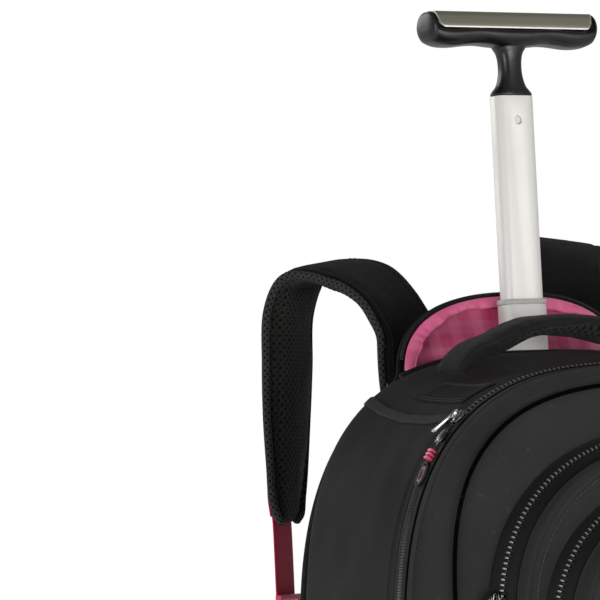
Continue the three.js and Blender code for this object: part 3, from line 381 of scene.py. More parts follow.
def copy_of_node(node: str, name: str, material: bpy.types.Material) -> bpy.types.Object:
    """A merged copy of a frame node, for a piece that stands for it.

    Args:
        node: name of the frame node.
        name: name of the new piece.
        material: its finish.

    Returns:
        The new object.
    """
    source = bpy.data.objects[node]
    mesh = source.data.copy()
    mesh.materials.clear()
    mesh.materials.append(material)
    piece = bpy.data.objects.new(name, mesh)
    bpy.context.scene.collection.objects.link(piece)
    work = bmesh.new()
    work.from_mesh(mesh)
    bmesh.ops.remove_doubles(work, verts=work.verts, dist=2e-6)
    bmesh.ops.dissolve_limit(
        work, angle_limit=math.radians(
            1
        ), use_dissolve_boundaries=False, verts=work.verts, edges=work.edges,
    )
    work.to_mesh(mesh)
    work.free()
    if mesh.has_custom_normals:
        if hasattr(mesh, "free_custom_normals"):
            mesh.free_custom_normals()
    return piece


def settle(piece: bpy.types.Object, body: str, slot: str, *nodes: str) -> bpy.types.Object:
    """Fixes a finished piece to its body and hides the frame nodes that it replaces.

    Args:
        piece: the finished object.
        body: name of the body it moves with.
        slot: the record's material slot; not used.
        nodes: frame nodes that it replaces.

    Returns:
        The same piece.
    """
    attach(piece, body)
    if nodes:
        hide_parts(*nodes)
    LOG.info("%s on %s: %d faces", piece.name, body, len(piece.data.polygons))
    return piece


# Shader groups


class Group:
    """A shader node group under construction, with named inputs and outputs."""

    def __init__(self, name: str) -> None:
        """Starts an empty group."""
        self.tree = bpy.data.node_groups.new(name, "ShaderNodeTree")
        self.source = self.tree.nodes.new("NodeGroupInput")
        self.sink = self.tree.nodes.new("NodeGroupOutput")

    def value_in(self, name: str, default: float) -> bpy.types.NodeSocket:
        """Adds a number input."""
        socket = self.tree.interface.new_socket(name, in_out="INPUT", socket_type="NodeSocketFloat")
        socket.default_value = default
        return self.source.outputs[name]

    def vector_in(self, name: str) -> bpy.types.NodeSocket:
        """Adds a vector input."""
        self.tree.interface.new_socket(name, in_out="INPUT", socket_type="NodeSocketVector")
        return self.source.outputs[name]

    def value_out(self, name: str, value: bpy.types.NodeSocket) -> None:
        """Adds a number output."""
        self.tree.interface.new_socket(name, in_out="OUTPUT", socket_type="NodeSocketFloat")
        self.tree.links.new(value, self.sink.inputs[name])



class Wires:
    """Short ways to add nodes to a shader tree."""

    def __init__(self, tree: bpy.types.NodeTree) -> None:
        """Works on a material's tree or a group's."""
        self.tree = tree

    def set_input(self, socket: bpy.types.NodeSocket, value: object) -> None:
        """Links a socket to another, or sets its value."""
        if isinstance(value, bpy.types.NodeSocket):
            self.tree.links.new(value, socket)
        else:
            socket.default_value = value

    def math(self, operation: str, a: object, b: object = 0.0, clamp: bool = False) -> bpy.types.NodeSocket:
        """Adds a Math node.

        Args:
            operation: its operation name.
            a: first value or socket.
            b: second value or socket.
            clamp: whether the result stays between 0 and 1.

        Returns:
            The result's socket.
        """
        node = self.tree.nodes.new("ShaderNodeMath")
        node.operation = operation
        node.use_clamp = clamp
        self.set_input(node.inputs[0], a)
        self.set_input(node.inputs[1], b)
        return node.outputs[0]

    def split(self, vector: bpy.types.NodeSocket) -> list:
        """Splits a vector in its three numbers."""
        node = self.tree.nodes.new("ShaderNodeSeparateXYZ")
        self.tree.links.new(vector, node.inputs[0])
        return list(node.outputs)

    def wave(self, place: bpy.types.NodeSocket, pitch: object) -> bpy.types.NodeSocket:
        """Sine of a length with that pitch, from 0 to 1."""
        turns = self.math("DIVIDE", place, pitch)
        angle = self.math("MULTIPLY", turns, 2 * math.pi)
        return self.math(
            "ADD", self.math("MULTIPLY", self.math("SINE", angle), 0.5), 0.5,
        )

    def noise(
        self, vector: bpy.types.NodeSocket, scale: object, detail: float = 3.0,
    ) -> bpy.types.NodeSocket:
        """Noise at a scale, from 0 to 1."""
        node = self.tree.nodes.new("ShaderNodeTexNoise")
        self.tree.links.new(vector, node.inputs["Vector"])
        self.set_input(node.inputs["Scale"], scale)
        node.inputs["Detail"].default_value = detail
        return node.outputs[0]

    def ramp(self, value: bpy.types.NodeSocket, low: object, high: object) -> bpy.types.NodeSocket:
        """Smooth step of a value between two limits.

        Args:
            value: socket to read.
            low: value that gives 0.
            high: value that gives 1.

        Returns:
            Socket from 0 to 1.
        """
        node = self.tree.nodes.new("ShaderNodeMapRange")
        node.interpolation_type = "SMOOTHSTEP"
        self.tree.links.new(value, node.inputs["Value"])
        self.set_input(node.inputs["From Min"], low)
        self.set_input(node.inputs["From Max"], high)
        return node.outputs[0]

    def mix(self, factor: object, a: object, b: object, blend: str = "MIX") -> bpy.types.NodeSocket:
        """Mixes two colours.

        Args:
            factor: share of the second.
            a: first colour or socket.
            b: second colour or socket.
            blend: blend type.

        Returns:
            The mixed colour's socket.
        """
        node = self.tree.nodes.new("ShaderNodeMix")
        node.data_type = "RGBA"
        node.blend_type = blend
        self.set_input(node.inputs["Factor"], factor)
        self.set_input([s for s in node.inputs if s.name == "A" and s.type == "RGBA"][0], a)
        self.set_input([s for s in node.inputs if s.name == "B" and s.type == "RGBA"][0], b)
        return [s for s in node.outputs if s.type == "RGBA"][0]

    def combine(self, x: object, y: object, z: object = 0.0) -> bpy.types.NodeSocket:
        """Joins three numbers in a vector."""
        node = self.tree.nodes.new("ShaderNodeCombineXYZ")
        for socket, value in zip(node.inputs, (x, y, z)):
            self.set_input(socket, value)
        return node.outputs[0]

    def bump(self, height: bpy.types.NodeSocket, strength: float, distance: float) -> bpy.types.NodeSocket:
        """Adds a Bump node, its distance in metres."""
        node = self.tree.nodes.new("ShaderNodeBump")
        node.inputs["Strength"].default_value = strength
        node.inputs["Distance"].default_value = distance
        self.tree.links.new(height, node.inputs["Height"])
        return node.outputs[0]

    def group(self, tree: bpy.types.NodeTree, **inputs: object) -> bpy.types.Node:
        """Places a node group and sets its inputs by name."""
        node = self.tree.nodes.new("ShaderNodeGroup")
        node.node_tree = tree
        for name, value in inputs.items():
            self.set_input(node.inputs[name.replace("_", " ")], value)
        return node


def weave_group() -> bpy.types.NodeTree:
    """Plain weave: threads that pass over and under each other.

    Returns:
        Group with inputs Vector and Pitch, and outputs Height and Gap.
    """
    group = Group("plain_weave")
    vector = group.vector_in("Vector")
    pitch = group.value_in("Pitch", 0.0006)
    wires = Wires(group.tree)
    x, y, z = wires.split(vector)
    across = wires.math("ADD", x, wires.math("MULTIPLY", z, 0.0))
    warp = wires.wave(across, pitch)
    weft = wires.wave(y, pitch)
    turned_x = wires.wave(across, wires.math("MULTIPLY", pitch, 2.0))
    turned_y = wires.wave(y, wires.math("MULTIPLY", pitch, 2.0))
    over = wires.math("ABSOLUTE", wires.math("SUBTRACT", turned_x, turned_y))
    height = wires.math("ADD", wires.math("MULTIPLY", warp, over), wires.math(
        "MULTIPLY", weft, wires.math("SUBTRACT", 1.0, over),
    ))
    group.value_out("Height", height)
    # Gap marks the low places between threads; the cloth finish paints them darker as painted shade.
    group.value_out("Gap", wires.ramp(height, 0.45, 0.1))
    return group.tree


def unevenness_group() -> bpy.types.NodeTree:
    """Slow change of shade from handling and dust.

    Returns:
        Group with inputs Vector, Size and Amount, and outputs Shade and Dust.
    """
    group = Group("unevenness")
    vector = group.vector_in("Vector")
    size = group.value_in("Size", 0.05)
    amount = group.value_in("Amount", 0.2)
    wires = Wires(group.tree)
    scale = wires.math("DIVIDE", 1.0, size)
    slow = wires.noise(vector, scale, 4.0)
    fine = wires.noise(vector, wires.math("MULTIPLY", scale, 14.0), 2.0)
    centred = wires.math("SUBTRACT", slow, 0.5)
    shade = wires.math("ADD", 1.0, wires.math("MULTIPLY", centred, wires.math("MULTIPLY", amount, 2.0)))
    group.value_out("Shade", shade)
    group.value_out("Dust", wires.math("MULTIPLY", wires.ramp(fine, 0.62, 0.8), slow))
    return group.tree


def ribs_group() -> bpy.types.NodeTree:
    """Ribs across a band, with two heavier lines along its edges.

    Returns:
        Group with inputs Vector, Pitch and Half Width, and outputs Height and Edge.
    """
    group = Group("ribbed_band")
    vector = group.vector_in("Vector")
    pitch = group.value_in("Pitch", 0.001)
    half_width = group.value_in("Half Width", 0.0125)
    wires = Wires(group.tree)
    x, y, _ = wires.split(vector)
    ribs = wires.wave(y, pitch)
    yarn = wires.wave(x, wires.math("MULTIPLY", pitch, 0.7))
    from_edge = wires.math("SUBTRACT", half_width, wires.math("ABSOLUTE", x))
    edge = wires.ramp(from_edge, 0.0022, 0.0012)
    height = wires.math("ADD", wires.math("MULTIPLY", ribs, 0.7), wires.math("MULTIPLY", yarn, 0.3))
    group.value_out("Height", height)
    group.value_out("Edge", edge)
    return group.tree


def mesh_group() -> bpy.types.NodeTree:
    """Spacer mesh: staggered oval holes between knitted ridges.

    Returns:
        Group with inputs Vector and Pitch, and outputs Height and Hole.
    """
    group = Group("spacer_mesh")
    vector = group.vector_in("Vector")
    pitch = group.value_in("Pitch", 0.0042)
    wires = Wires(group.tree)
    x, y, _ = wires.split(vector)
    across = wires.wave(x, pitch)
    down = wires.wave(y, wires.math("MULTIPLY", pitch, 1.25))
    half_across = wires.wave(wires.math("ADD", x, wires.math("MULTIPLY", pitch, 0.5)), pitch)
    half_down = wires.wave(
        wires.math("ADD", y, wires.math("MULTIPLY", pitch, 0.625)), wires.math("MULTIPLY", pitch, 1.25),
    )
    first = wires.math("MULTIPLY", across, down)
    second = wires.math("MULTIPLY", half_across, half_down)
    hole = wires.ramp(wires.math("MAXIMUM", first, second), 0.42, 0.72)
    yarn = wires.wave(y, wires.math("MULTIPLY", pitch, 0.17))
    ridge = wires.math("SUBTRACT", 1.0, hole)
    group.value_out("Height", wires.math("ADD", ridge, wires.math("MULTIPLY", yarn, 0.15)))
    group.value_out("Hole", hole)
    return group.tree


def grain_group() -> bpy.types.NodeTree:
    """Fine moulded grain with a few scuffs.

    Returns:
        Group with inputs Vector and Size, and outputs Height and Scuff.
    """
    group = Group("moulded_grain")
    vector = group.vector_in("Vector")
    size = group.value_in("Size", 0.0008)
    wires = Wires(group.tree)
    scale = wires.math("DIVIDE", 1.0, size)
    cells = group.tree.nodes.new("ShaderNodeTexVoronoi")
    cells.feature = "SMOOTH_F1"
    group.tree.links.new(vector, cells.inputs["Vector"])
    group.tree.links.new(scale, cells.inputs["Scale"])
    scuff = wires.noise(vector, wires.math("MULTIPLY", scale, 0.05), 6.0)
    group.value_out("Height", cells.outputs["Distance"])
    group.value_out("Scuff", wires.ramp(scuff, 0.6, 0.72))
    return group.tree


def brushed_group() -> bpy.types.NodeTree:
    """Fine drawn lines along one direction.

    Returns:
        Group with inputs Vector and Stretch, and outputs Lines and Smudge.
    """
    group = Group("drawn_metal")
    vector = group.vector_in("Vector")
    stretch = group.vector_in("Stretch")
    wires = Wires(group.tree)
    scaled = group.tree.nodes.new("ShaderNodeVectorMath")
    scaled.operation = "MULTIPLY"
    group.tree.links.new(vector, scaled.inputs[0])
    group.tree.links.new(stretch, scaled.inputs[1])
    lines = wires.noise(scaled.outputs[0], 1.0, 4.0)
    smudge = wires.noise(vector, 18.0, 3.0)
    group.value_out("Lines", lines)
    group.value_out("Smudge", wires.ramp(smudge, 0.4, 0.75))
    return group.tree


GROUPS: dict = {}


def shared(name: str, build: Callable[[], bpy.types.NodeTree]) -> bpy.types.NodeTree:
    """Builds a group the first time it is asked for."""
    if name not in GROUPS:
        GROUPS[name] = build()
    return GROUPS[name]


def srgb(red: float, green: float, blue: float) -> tuple:
    """Linear colour from display values of 0 to 255."""
    def linear(value: float) -> float:
        """Turns one 8-bit channel into linear light."""
        value /= 255
        return value / 12.92 if value <= 0.04045 else ((value + 0.055) / 1.055) ** 2.4
    return (linear(red), linear(green), linear(blue), 1.0)


def darker(colour: tuple, share: float) -> tuple:
    """A colour scaled by a share."""
    return tuple(c * share for c in colour[:3]) + (1.0,)


# Finishes


class Finish:
    """A finish that can be made into a material."""

    name: str

    def start(self, coordinates: Coordinates) -> tuple:
        """Makes the material with its Principled shader.

        Args:
            coordinates: where the pattern is read from.

        Returns:
            The material, its wires, the Principled node and the pattern's vector socket.
        """
        material = bpy.data.materials.new(self.name)
        material.use_nodes = True
        tree = material.node_tree
        shader = tree.nodes["Principled BSDF"]
        place = tree.nodes.new("ShaderNodeTexCoord")
        return material, Wires(tree), shader, place.outputs[coordinates.value]


@dataclass(frozen=True)
class WovenFinish(Finish):
    """Woven cloth in one colour."""

    name: str
    colour: tuple
    pitch: float = 0.55
    roughness: float = 0.72
    uneven: float = 0.3
    uneven_size: float = 60
    sheen: float = 0.25
    depth: float = 0.12
    crease: float = 0.25
    gloss: float = 0.06
    coordinates: Coordinates = Coordinates.UV

    def build(self) -> bpy.types.Material:
        """Makes the material.

        Returns:
            The finished material.
        """
        material, wires, shader, vector = self.start(self.coordinates)
        weave = wires.group(shared("weave", weave_group), Vector=vector, Pitch=self.pitch * MM)
        place = material.node_tree.nodes.new("ShaderNodeTexCoord").outputs["Object"]
        uneven = wires.group(
            shared(
                "unevenness", unevenness_group,
            ), Vector=place, Size=self.uneven_size * MM, Amount=self.uneven,
        )
        # The gaps between threads are painted darker: painted shade in the weave.
        base = wires.mix(weave.outputs["Gap"], self.colour, darker(self.colour, 0.55))
        shade = wires.combine(uneven.outputs["Shade"], uneven.outputs["Shade"], uneven.outputs["Shade"])
        colour = wires.mix(1.0, base, shade, "MULTIPLY")
        dusty = wires.mix(
            wires.math("MULTIPLY", uneven.outputs["Dust"], 0.12), colour, (0.25, 0.25, 0.26, 1),
        )
        wires.set_input(shader.inputs["Base Color"], dusty)
        rough = wires.math(
            "SUBTRACT", self.roughness + 0.06, wires.math("MULTIPLY", weave.outputs["Height"], 0.12),
        )
        wires.set_input(shader.inputs["Roughness"], rough)
        shader.inputs["Sheen Weight"].default_value = self.sheen
        shader.inputs["Sheen Roughness"].default_value = 0.45
        shader.inputs["Specular IOR Level"].default_value = self.gloss
        soft = wires.noise(place, 1 / (0.028), 2.0)
        height = wires.math("ADD", weave.outputs["Height"], wires.math("MULTIPLY", soft, self.crease * 12))
        wires.set_input(shader.inputs["Normal"], wires.bump(height, 1.0, self.depth * MM))
        return material


@dataclass(frozen=True)
class MeshFinish(Finish):
    """Spacer mesh over foam."""

    name: str
    colour: tuple
    pitch: float = 4.2
    depth: float = 0.9

    def build(self) -> bpy.types.Material:
        """Makes the material.

        Returns:
            The finished material.
        """
        material, wires, shader, vector = self.start(Coordinates.UV)
        mesh = wires.group(shared("mesh", mesh_group), Vector=vector, Pitch=self.pitch * MM)
        # The holes are painted nearly black: painted shade inside the holes.
        colour = wires.mix(mesh.outputs["Hole"], self.colour, darker(self.colour, 0.12))
        place = material.node_tree.nodes.new("ShaderNodeTexCoord").outputs["Object"]
        uneven = wires.group(shared("unevenness", unevenness_group), Vector=place, Size=0.03, Amount=0.35)
        shade = wires.combine(uneven.outputs["Shade"], uneven.outputs["Shade"], uneven.outputs["Shade"])
        wires.set_input(shader.inputs["Base Color"], wires.mix(1.0, colour, shade, "MULTIPLY"))
        shader.inputs["Roughness"].default_value = 0.85
        shader.inputs["Specular IOR Level"].default_value = 0.2
        shader.inputs["Sheen Weight"].default_value = 0.08
        shader.inputs["Sheen Roughness"].default_value = 0.4
        wires.set_input(shader.inputs["Normal"], wires.bump(mesh.outputs["Height"], 1.0, self.depth * MM))
        return material


@dataclass(frozen=True)
class RibbedFinish(Finish):
    """Woven band with ribs across it."""

    name: str
    colour: tuple
    half_width: float
    pitch: float = 1.1
    depth: float = 0.25
    roughness: float = 0.6
    edge_shade: float = 0.75
    coordinates: Coordinates = Coordinates.UV

    def build(self) -> bpy.types.Material:
        """Makes the material.

        Returns:
            The finished material.
        """
        material, wires, shader, vector = self.start(self.coordinates)
        ribs = wires.group(
            shared(
                "ribs", ribs_group,
            ), Vector=vector, Pitch=self.pitch * MM, Half_Width=self.half_width * MM,
        )
        place = material.node_tree.nodes.new("ShaderNodeTexCoord").outputs["Object"]
        uneven = wires.group(shared("unevenness", unevenness_group), Vector=place, Size=0.02, Amount=0.25)
        groove = wires.math("SUBTRACT", 1.0, ribs.outputs["Height"])
        # The grooves between ribs are painted darker: painted shade in the grooves.
        base = wires.mix(wires.math("MULTIPLY", groove, 0.8), self.colour, darker(self.colour, 0.45))
        edged = wires.mix(ribs.outputs["Edge"], base, darker(self.colour, self.edge_shade))
        shade = wires.combine(uneven.outputs["Shade"], uneven.outputs["Shade"], uneven.outputs["Shade"])
        wires.set_input(shader.inputs["Base Color"], wires.mix(1.0, edged, shade, "MULTIPLY"))
        shader.inputs["Roughness"].default_value = self.roughness
        shader.inputs["Specular IOR Level"].default_value = 0.22
        shader.inputs["Sheen Weight"].default_value = 0.06
        wires.set_input(shader.inputs["Normal"], wires.bump(ribs.outputs["Height"], 0.9, self.depth * MM))
        return material


@dataclass(frozen=True)
class LiningFinish(Finish):
    """Thin glossy lining with a tone-on-tone check."""

    name: str
    deep: tuple
    bright: tuple
    check: float = 17.0

    def build(self) -> bpy.types.Material:
        """Makes the material.

        Returns:
            The finished material.
        """
        material, wires, shader, vector = self.start(Coordinates.UV)
        x, y, _ = wires.split(vector)
        leaning = wires.math("ADD", x, wires.math("MULTIPLY", y, 0.25))
        across = wires.ramp(wires.wave(leaning, self.check * MM), 0.3, 0.7)
        down = wires.ramp(wires.wave(y, self.check * MM), 0.3, 0.7)
        both = wires.math("MULTIPLY", wires.math("ADD", across, down), 0.5)
        place = material.node_tree.nodes.new("ShaderNodeTexCoord").outputs["Object"]
        uneven = wires.group(shared("unevenness", unevenness_group), Vector=place, Size=0.02, Amount=0.3)
        shade = wires.combine(uneven.outputs["Shade"], uneven.outputs["Shade"], uneven.outputs["Shade"])
        colour = wires.mix(both, self.deep, self.bright)
        wires.set_input(shader.inputs["Base Color"], wires.mix(1.0, colour, shade, "MULTIPLY"))
        shader.inputs["Roughness"].default_value = 0.42
        shader.inputs["Sheen Weight"].default_value = 0.25
        ripple = wires.noise(place, 60.0, 3.0)
        wires.set_input(shader.inputs["Normal"], wires.bump(ripple, 0.8, 0.0012))
        return material


@dataclass(frozen=True)
class PlasticFinish(Finish):
    """Moulded plastic or rubber."""

    name: str
    colour: tuple
    roughness: float = 0.4
    grain: float = 0.8
    depth: float = 0.03
    coat: float = 0.0

    def build(self) -> bpy.types.Material:
        """Makes the material.

        Returns:
            The finished material.
        """
        material, wires, shader, vector = self.start(Coordinates.OBJECT)
        grain = wires.group(shared("grain", grain_group), Vector=vector, Size=self.grain * MM)
        colour = wires.mix(wires.math("MULTIPLY", grain.outputs["Scuff"], 0.25), self.colour, (
            *[min(c * 1.8 + 0.01, 1) for c in self.colour[:3]], 1.0,
        ))
        wires.set_input(shader.inputs["Base Color"], colour)
        rough = wires.math("ADD", self.roughness, wires.math("MULTIPLY", grain.outputs["Scuff"], 0.12))
        wires.set_input(shader.inputs["Roughness"], rough)
        shader.inputs["Coat Weight"].default_value = self.coat
        shader.inputs["Coat Roughness"].default_value = 0.15
        wires.set_input(shader.inputs["Normal"], wires.bump(grain.outputs["Height"], 0.6, self.depth * MM))
        return material


@dataclass(frozen=True)
class MetalFinish(Finish):
    """Drawn or polished metal."""

    name: str
    colour: tuple
    roughness: float = 0.25
    stretch: tuple = (6000.0, 6000.0, 60.0)
    smudge: float = 0.08
    depth: float = 0.004
    metallic: float = 1.0

    def build(self) -> bpy.types.Material:
        """Makes the material.

        Returns:
            The finished material.
        """
        material, wires, shader, vector = self.start(Coordinates.OBJECT)
        brushed = wires.group(shared("brushed", brushed_group), Vector=vector)
        brushed.inputs["Stretch"].default_value = self.stretch
        smudge = wires.math("MULTIPLY", brushed.outputs["Smudge"], self.smudge)
        wires.set_input(
            shader.inputs["Base Color"], wires.mix(smudge, self.colour, darker(self.colour, 0.5)),
        )
        lines = wires.math("MULTIPLY", brushed.outputs["Lines"], 0.1)
        rough = wires.math("ADD", wires.math("ADD", self.roughness - 0.05, lines), smudge)
        wires.set_input(shader.inputs["Roughness"], rough)
        shader.inputs["Metallic"].default_value = self.metallic
        wires.set_input(shader.inputs["Normal"], wires.bump(brushed.outputs["Lines"], 0.5, self.depth * MM))
        return material


@dataclass
class Wardrobe:
    """Every finish of the backpack, each made once."""

    made: dict = field(default_factory=dict)

    def get(self, finish: Finish) -> bpy.types.Material:
        """The material of a finish."""
        if finish.name not in self.made:
            self.made[finish.name] = finish.build()
        return self.made[finish.name]


BODY_CLOTH = WovenFinish("body_cloth", srgb(56, 56, 56), crease=0.35, sheen=0.06)
GUSSET_CLOTH = WovenFinish("gusset_cloth", srgb(50, 50, 50), pitch=0.7, crease=0.3, sheen=0.03)
STRAP_CLOTH = WovenFinish(
    "strap_cloth", srgb(21, 22, 20), pitch=0.6, roughness=0.85, crease=0.2, sheen=0.06,
)
HANDLE_CLOTH = WovenFinish("handle_cloth", srgb(38, 38, 38), pitch=0.6, crease=0.3, sheen=0.1)
PATCH_CLOTH = WovenFinish("patch_cloth", srgb(33, 33, 34), pitch=0.8, crease=0.2, sheen=0.03)
# Near-black without gloss: the piping cord is real, but its near-black is painted shade that deepens the seam lines;
# the cord beside the main zip is painted shade in that seam.
SEAM_CORD_SHADE = WovenFinish("seam_cord_shade", srgb(8, 8, 8), sheen=0.0, gloss=0.0)
STRAP_MESH = MeshFinish("strap_mesh", srgb(44, 45, 42), pitch=4.4, depth=1.1)
EDGE_MESH = MeshFinish("edge_mesh", srgb(58, 58, 55), pitch=3.4, depth=1.2)
ZIP_TAPE = RibbedFinish("zip_tape", srgb(24, 24, 25), half_width=200, pitch=0.9, depth=0.15)
EDGE_TAPE = RibbedFinish("edge_tape", srgb(20, 20, 21), half_width=200, pitch=1.2, depth=0.2)
LINING_SILK = LiningFinish("lining_silk", srgb(198, 48, 102), srgb(216, 92, 138))
CRIMSON_WEBBING = RibbedFinish("crimson_webbing", srgb(214, 18, 74), half_width=12.5)
BLACK_WEBBING = RibbedFinish(
    "black_webbing", srgb(26, 26, 27), half_width=200, coordinates=Coordinates.OBJECT,
)
BAND_RIBS = RibbedFinish("band_ribs", srgb(30, 30, 31), half_width=4.0, pitch=1.6, depth=0.5)
# Paler pink than the lining silk: a painted highlight on the facing strip and its rolled edge.
FACING_SILK_HIGHLIGHT = LiningFinish("facing_silk_highlight", srgb(236, 92, 146), srgb(244, 114, 162), check=26.0)
PINK_PLASTIC = PlasticFinish(
    "pink_plastic", srgb(226, 74, 108), roughness=0.3, grain=2, depth=0.02, coat=0.2,
)
GRIP_PLASTIC = PlasticFinish("grip_plastic", srgb(11, 11, 9), roughness=0.3, depth=0.02)
BASE_PLASTIC = PlasticFinish("base_plastic", srgb(26, 26, 27), roughness=0.5, depth=0.06)
COLLAR_PLASTIC = PlasticFinish("collar_plastic", srgb(192, 191, 187), roughness=0.4, depth=0.01)
TYRE_RUBBER = PlasticFinish("tyre_rubber", srgb(28, 28, 29), roughness=0.8, grain=1.2, depth=0.05)
HUB_PLASTIC = PlasticFinish("hub_plastic", srgb(120, 121, 124), roughness=0.42)
CORD_RUBBER = PlasticFinish("cord_rubber", srgb(34, 30, 30), roughness=0.5, grain=0.5)
CORD_RIM = PlasticFinish("cord_rim", srgb(128, 98, 104), roughness=0.45, grain=0.5)
# Zip teeth: the pale silver on the near rows is a painted highlight, and the black on the far rows of the main and
# pocket zips is painted shade; the rear zip's teeth are black.
BLACK_AND_SHADED_TEETH = PlasticFinish("black_and_shaded_teeth", srgb(34, 34, 34), roughness=0.35, grain=0.4)
HIGHLIGHT_TEETH = MetalFinish(
    "highlight_teeth", srgb(214, 214, 212), roughness=0.3, stretch=(900.0, 900.0, 900.0),
)
MAST_ALUMINIUM = MetalFinish("mast_aluminium", srgb(243, 241, 236), roughness=0.46, metallic=0.35)
HANDLE_STEEL = MetalFinish(
    "handle_steel", srgb(212, 206, 188), roughness=0.3, stretch=(60.0, 6000.0, 6000.0),
)
# Paler, barely metallic copy of the plate's steel: a painted highlight along the plate's edges.
PLATE_EDGE_HIGHLIGHT = MetalFinish("plate_edge_highlight", srgb(246, 245, 240), roughness=0.4, metallic=0.2, smudge=0.02)
SLIDER_NICKEL = MetalFinish(
    "slider_nickel", srgb(92, 91, 90), roughness=0.24, stretch=(900.0, 900.0, 900.0),
)
ZIP_CHROME = MetalFinish("zip_chrome", srgb(216, 216, 216), roughness=0.2, stretch=(900.0, 900.0, 900.0))
# Dark metal on the main zip's lower run: painted shade on the same teeth as the pale run.
SHADED_TOOTH_METAL = MetalFinish("shaded_tooth_metal", srgb(96, 94, 92), roughness=0.35, stretch=(900.0, 900.0, 900.0))
AXLE_STEEL = MetalFinish("axle_steel", srgb(150, 150, 152), roughness=0.3, stretch=(60.0, 3000.0, 3000.0))
THREAD = PlasticFinish("thread", srgb(70, 70, 72), roughness=0.75, grain=0.4)
DARK_THREAD = PlasticFinish("dark_thread", srgb(26, 26, 27), roughness=0.75, grain=0.4)

NODE_FINISHES = {
    "zip_tape": ZIP_TAPE,
    "bag": WovenFinish("plain_cloth", srgb(42, 42, 43), coordinates=Coordinates.OBJECT),
    "padding": WovenFinish("plain_padding", srgb(26, 26, 26), coordinates=Coordinates.OBJECT),
    "patch": WovenFinish("plain_patch", srgb(33, 33, 34), pitch=0.7, coordinates=Coordinates.OBJECT),
    "lining": LINING_SILK,
    "webbing": RibbedFinish(
        "plain_webbing", srgb(138, 24, 50), half_width=200, coordinates=Coordinates.OBJECT,
    ),
    "band": BLACK_WEBBING,
    "buckle": PINK_PLASTIC,
    "pull_block": PINK_PLASTIC,
    "cord_loop": CORD_RUBBER,
    "zip_metal": ZIP_CHROME,
    "mast_metal": MAST_ALUMINIUM,
    "handle_plate": HANDLE_STEEL,
    "handle_plastic": GRIP_PLASTIC,
    "collar": COLLAR_PLASTIC,
    "base_plastic": BASE_PLASTIC,
    "tyre": TYRE_RUBBER,
    "hub": HUB_PLASTIC,
    "axle": AXLE_STEEL,
}


def dress_nodes(frame: dict, wardrobe: Wardrobe) -> None:
    """Gives every frame node the finish of its slot.

    Args:
        wardrobe: the finishes.
    """
    for entry in frame["record"]["subparts"]:
        material = wardrobe.get(NODE_FINISHES[entry["material_slot"]])
        for slot in frame["nodes"][entry["node"]].material_slots:
            slot.material = material


@dataclass(frozen=True)
class Studio:
    """Pale floor, soft light and the photograph's camera."""

    camera_place: tuple = (-1.18459, -1.91571, 0.6250)
    heading: float = 27.458
    pitch: float = -2.093
    focal: float = 214.87
    sensor: float = 36.0
    floor_size: float = 80.0
    room_light: float = 0.5
    overhead_shade: float = 0.42
    floor_glow: float = 0.5

    def camera(self) -> None:
        """Makes the camera."""
        data = bpy.data.cameras.new("camera")
        data.lens = self.focal
        data.sensor_width = self.sensor
        data.clip_end = 60
        camera = bpy.data.objects.new("camera", data)
        bpy.context.scene.collection.objects.link(camera)
        camera.location = self.camera_place
        camera.rotation_euler = (math.radians(90 + self.pitch), 0, -math.radians(self.heading))
        bpy.context.scene.camera = camera

    def light(self, name: str, place: tuple, size: tuple, power: float, aim: tuple = (0, 0, 0.4)) -> None:
        """Adds one soft light.

        Args:
            name: its name.
            place: position in metres.
            size: width and height in metres.
            power: watts.
            aim: point that it faces.
        """
        data = bpy.data.lights.new(name, "AREA")
        data.shape = "RECTANGLE"
        data.size, data.size_y = size
        data.energy = power
        lamp = bpy.data.objects.new(name, data)
        bpy.context.scene.collection.objects.link(lamp)
        lamp.location = place
        lamp.rotation_euler = (Vector(aim) - Vector(place)).to_track_quat("-Z", "Y").to_euler()

    def floor(self) -> None:
        """Lays the pale floor."""
        half = self.floor_size / 2
        material = bpy.data.materials.new("floor_paint")
        material.use_nodes = True
        wires = Wires(material.node_tree)
        shader = material.node_tree.nodes["Principled BSDF"]
        place = material.node_tree.nodes.new("ShaderNodeTexCoord").outputs["Object"]
        mottle = wires.noise(place, 3.0, 2.0)
        wires.set_input(
            shader.inputs["Base Color"], wires.mix(mottle, (0.9, 0.9, 0.9, 1), (0.93, 0.93, 0.93, 1)),
        )
        shader.inputs["Roughness"].default_value = 0.7
        shader.inputs["Emission Color"].default_value = (1, 1, 1, 1)
        rays = material.node_tree.nodes.new("ShaderNodeLightPath")
        seen = wires.math("MULTIPLY", rays.outputs["Is Camera Ray"], self.floor_glow)
        wires.set_input(shader.inputs["Emission Strength"], wires.math("ADD", seen, 0.3))
        corners = np.array([[-half, -half, 0], [half, -half, 0], [half, half, 0], [-half, half, 0]])
        floor = make_object("floor", corners, [(0, 1, 2, 3)], material, smooth=False)

    def world(self) -> None:
        """Fills the room with plain white light."""
        world = bpy.data.worlds.new("room")
        world.use_nodes = True
        background = world.node_tree.nodes["Background"]
        background.inputs["Color"].default_value = (1, 1, 1, 1)
        rays = world.node_tree.nodes.new("ShaderNodeLightPath")
        wires = Wires(world.node_tree)
        way = world.node_tree.nodes.new("ShaderNodeTexCoord").outputs["Generated"]
        height = wires.math("MAXIMUM", wires.split(way)[2], 0.0)
        dimmed = wires.math(
            "SUBTRACT", self.room_light, wires.math("MULTIPLY", height, self.overhead_shade),
        )
        seen = rays.outputs["Is Camera Ray"]
        wires.set_input(background.inputs["Strength"], wires.math("MAXIMUM", seen, dimmed))
        bpy.context.scene.world = world

    def build(self) -> None:
        """Sets up the whole studio."""
        self.camera()
        self.world()
        self.floor()
        self.light("key", (-2.4, -1.0, 0.5), (1.2, 1.0), 18)
        self.light("fill", (0.5, -2.7, 0.5), (1.6, 1.0), 30)
        self.light("rim", (-0.8, 1.8, 1.2), (1.2, 0.8), 6)


# Repeated pieces


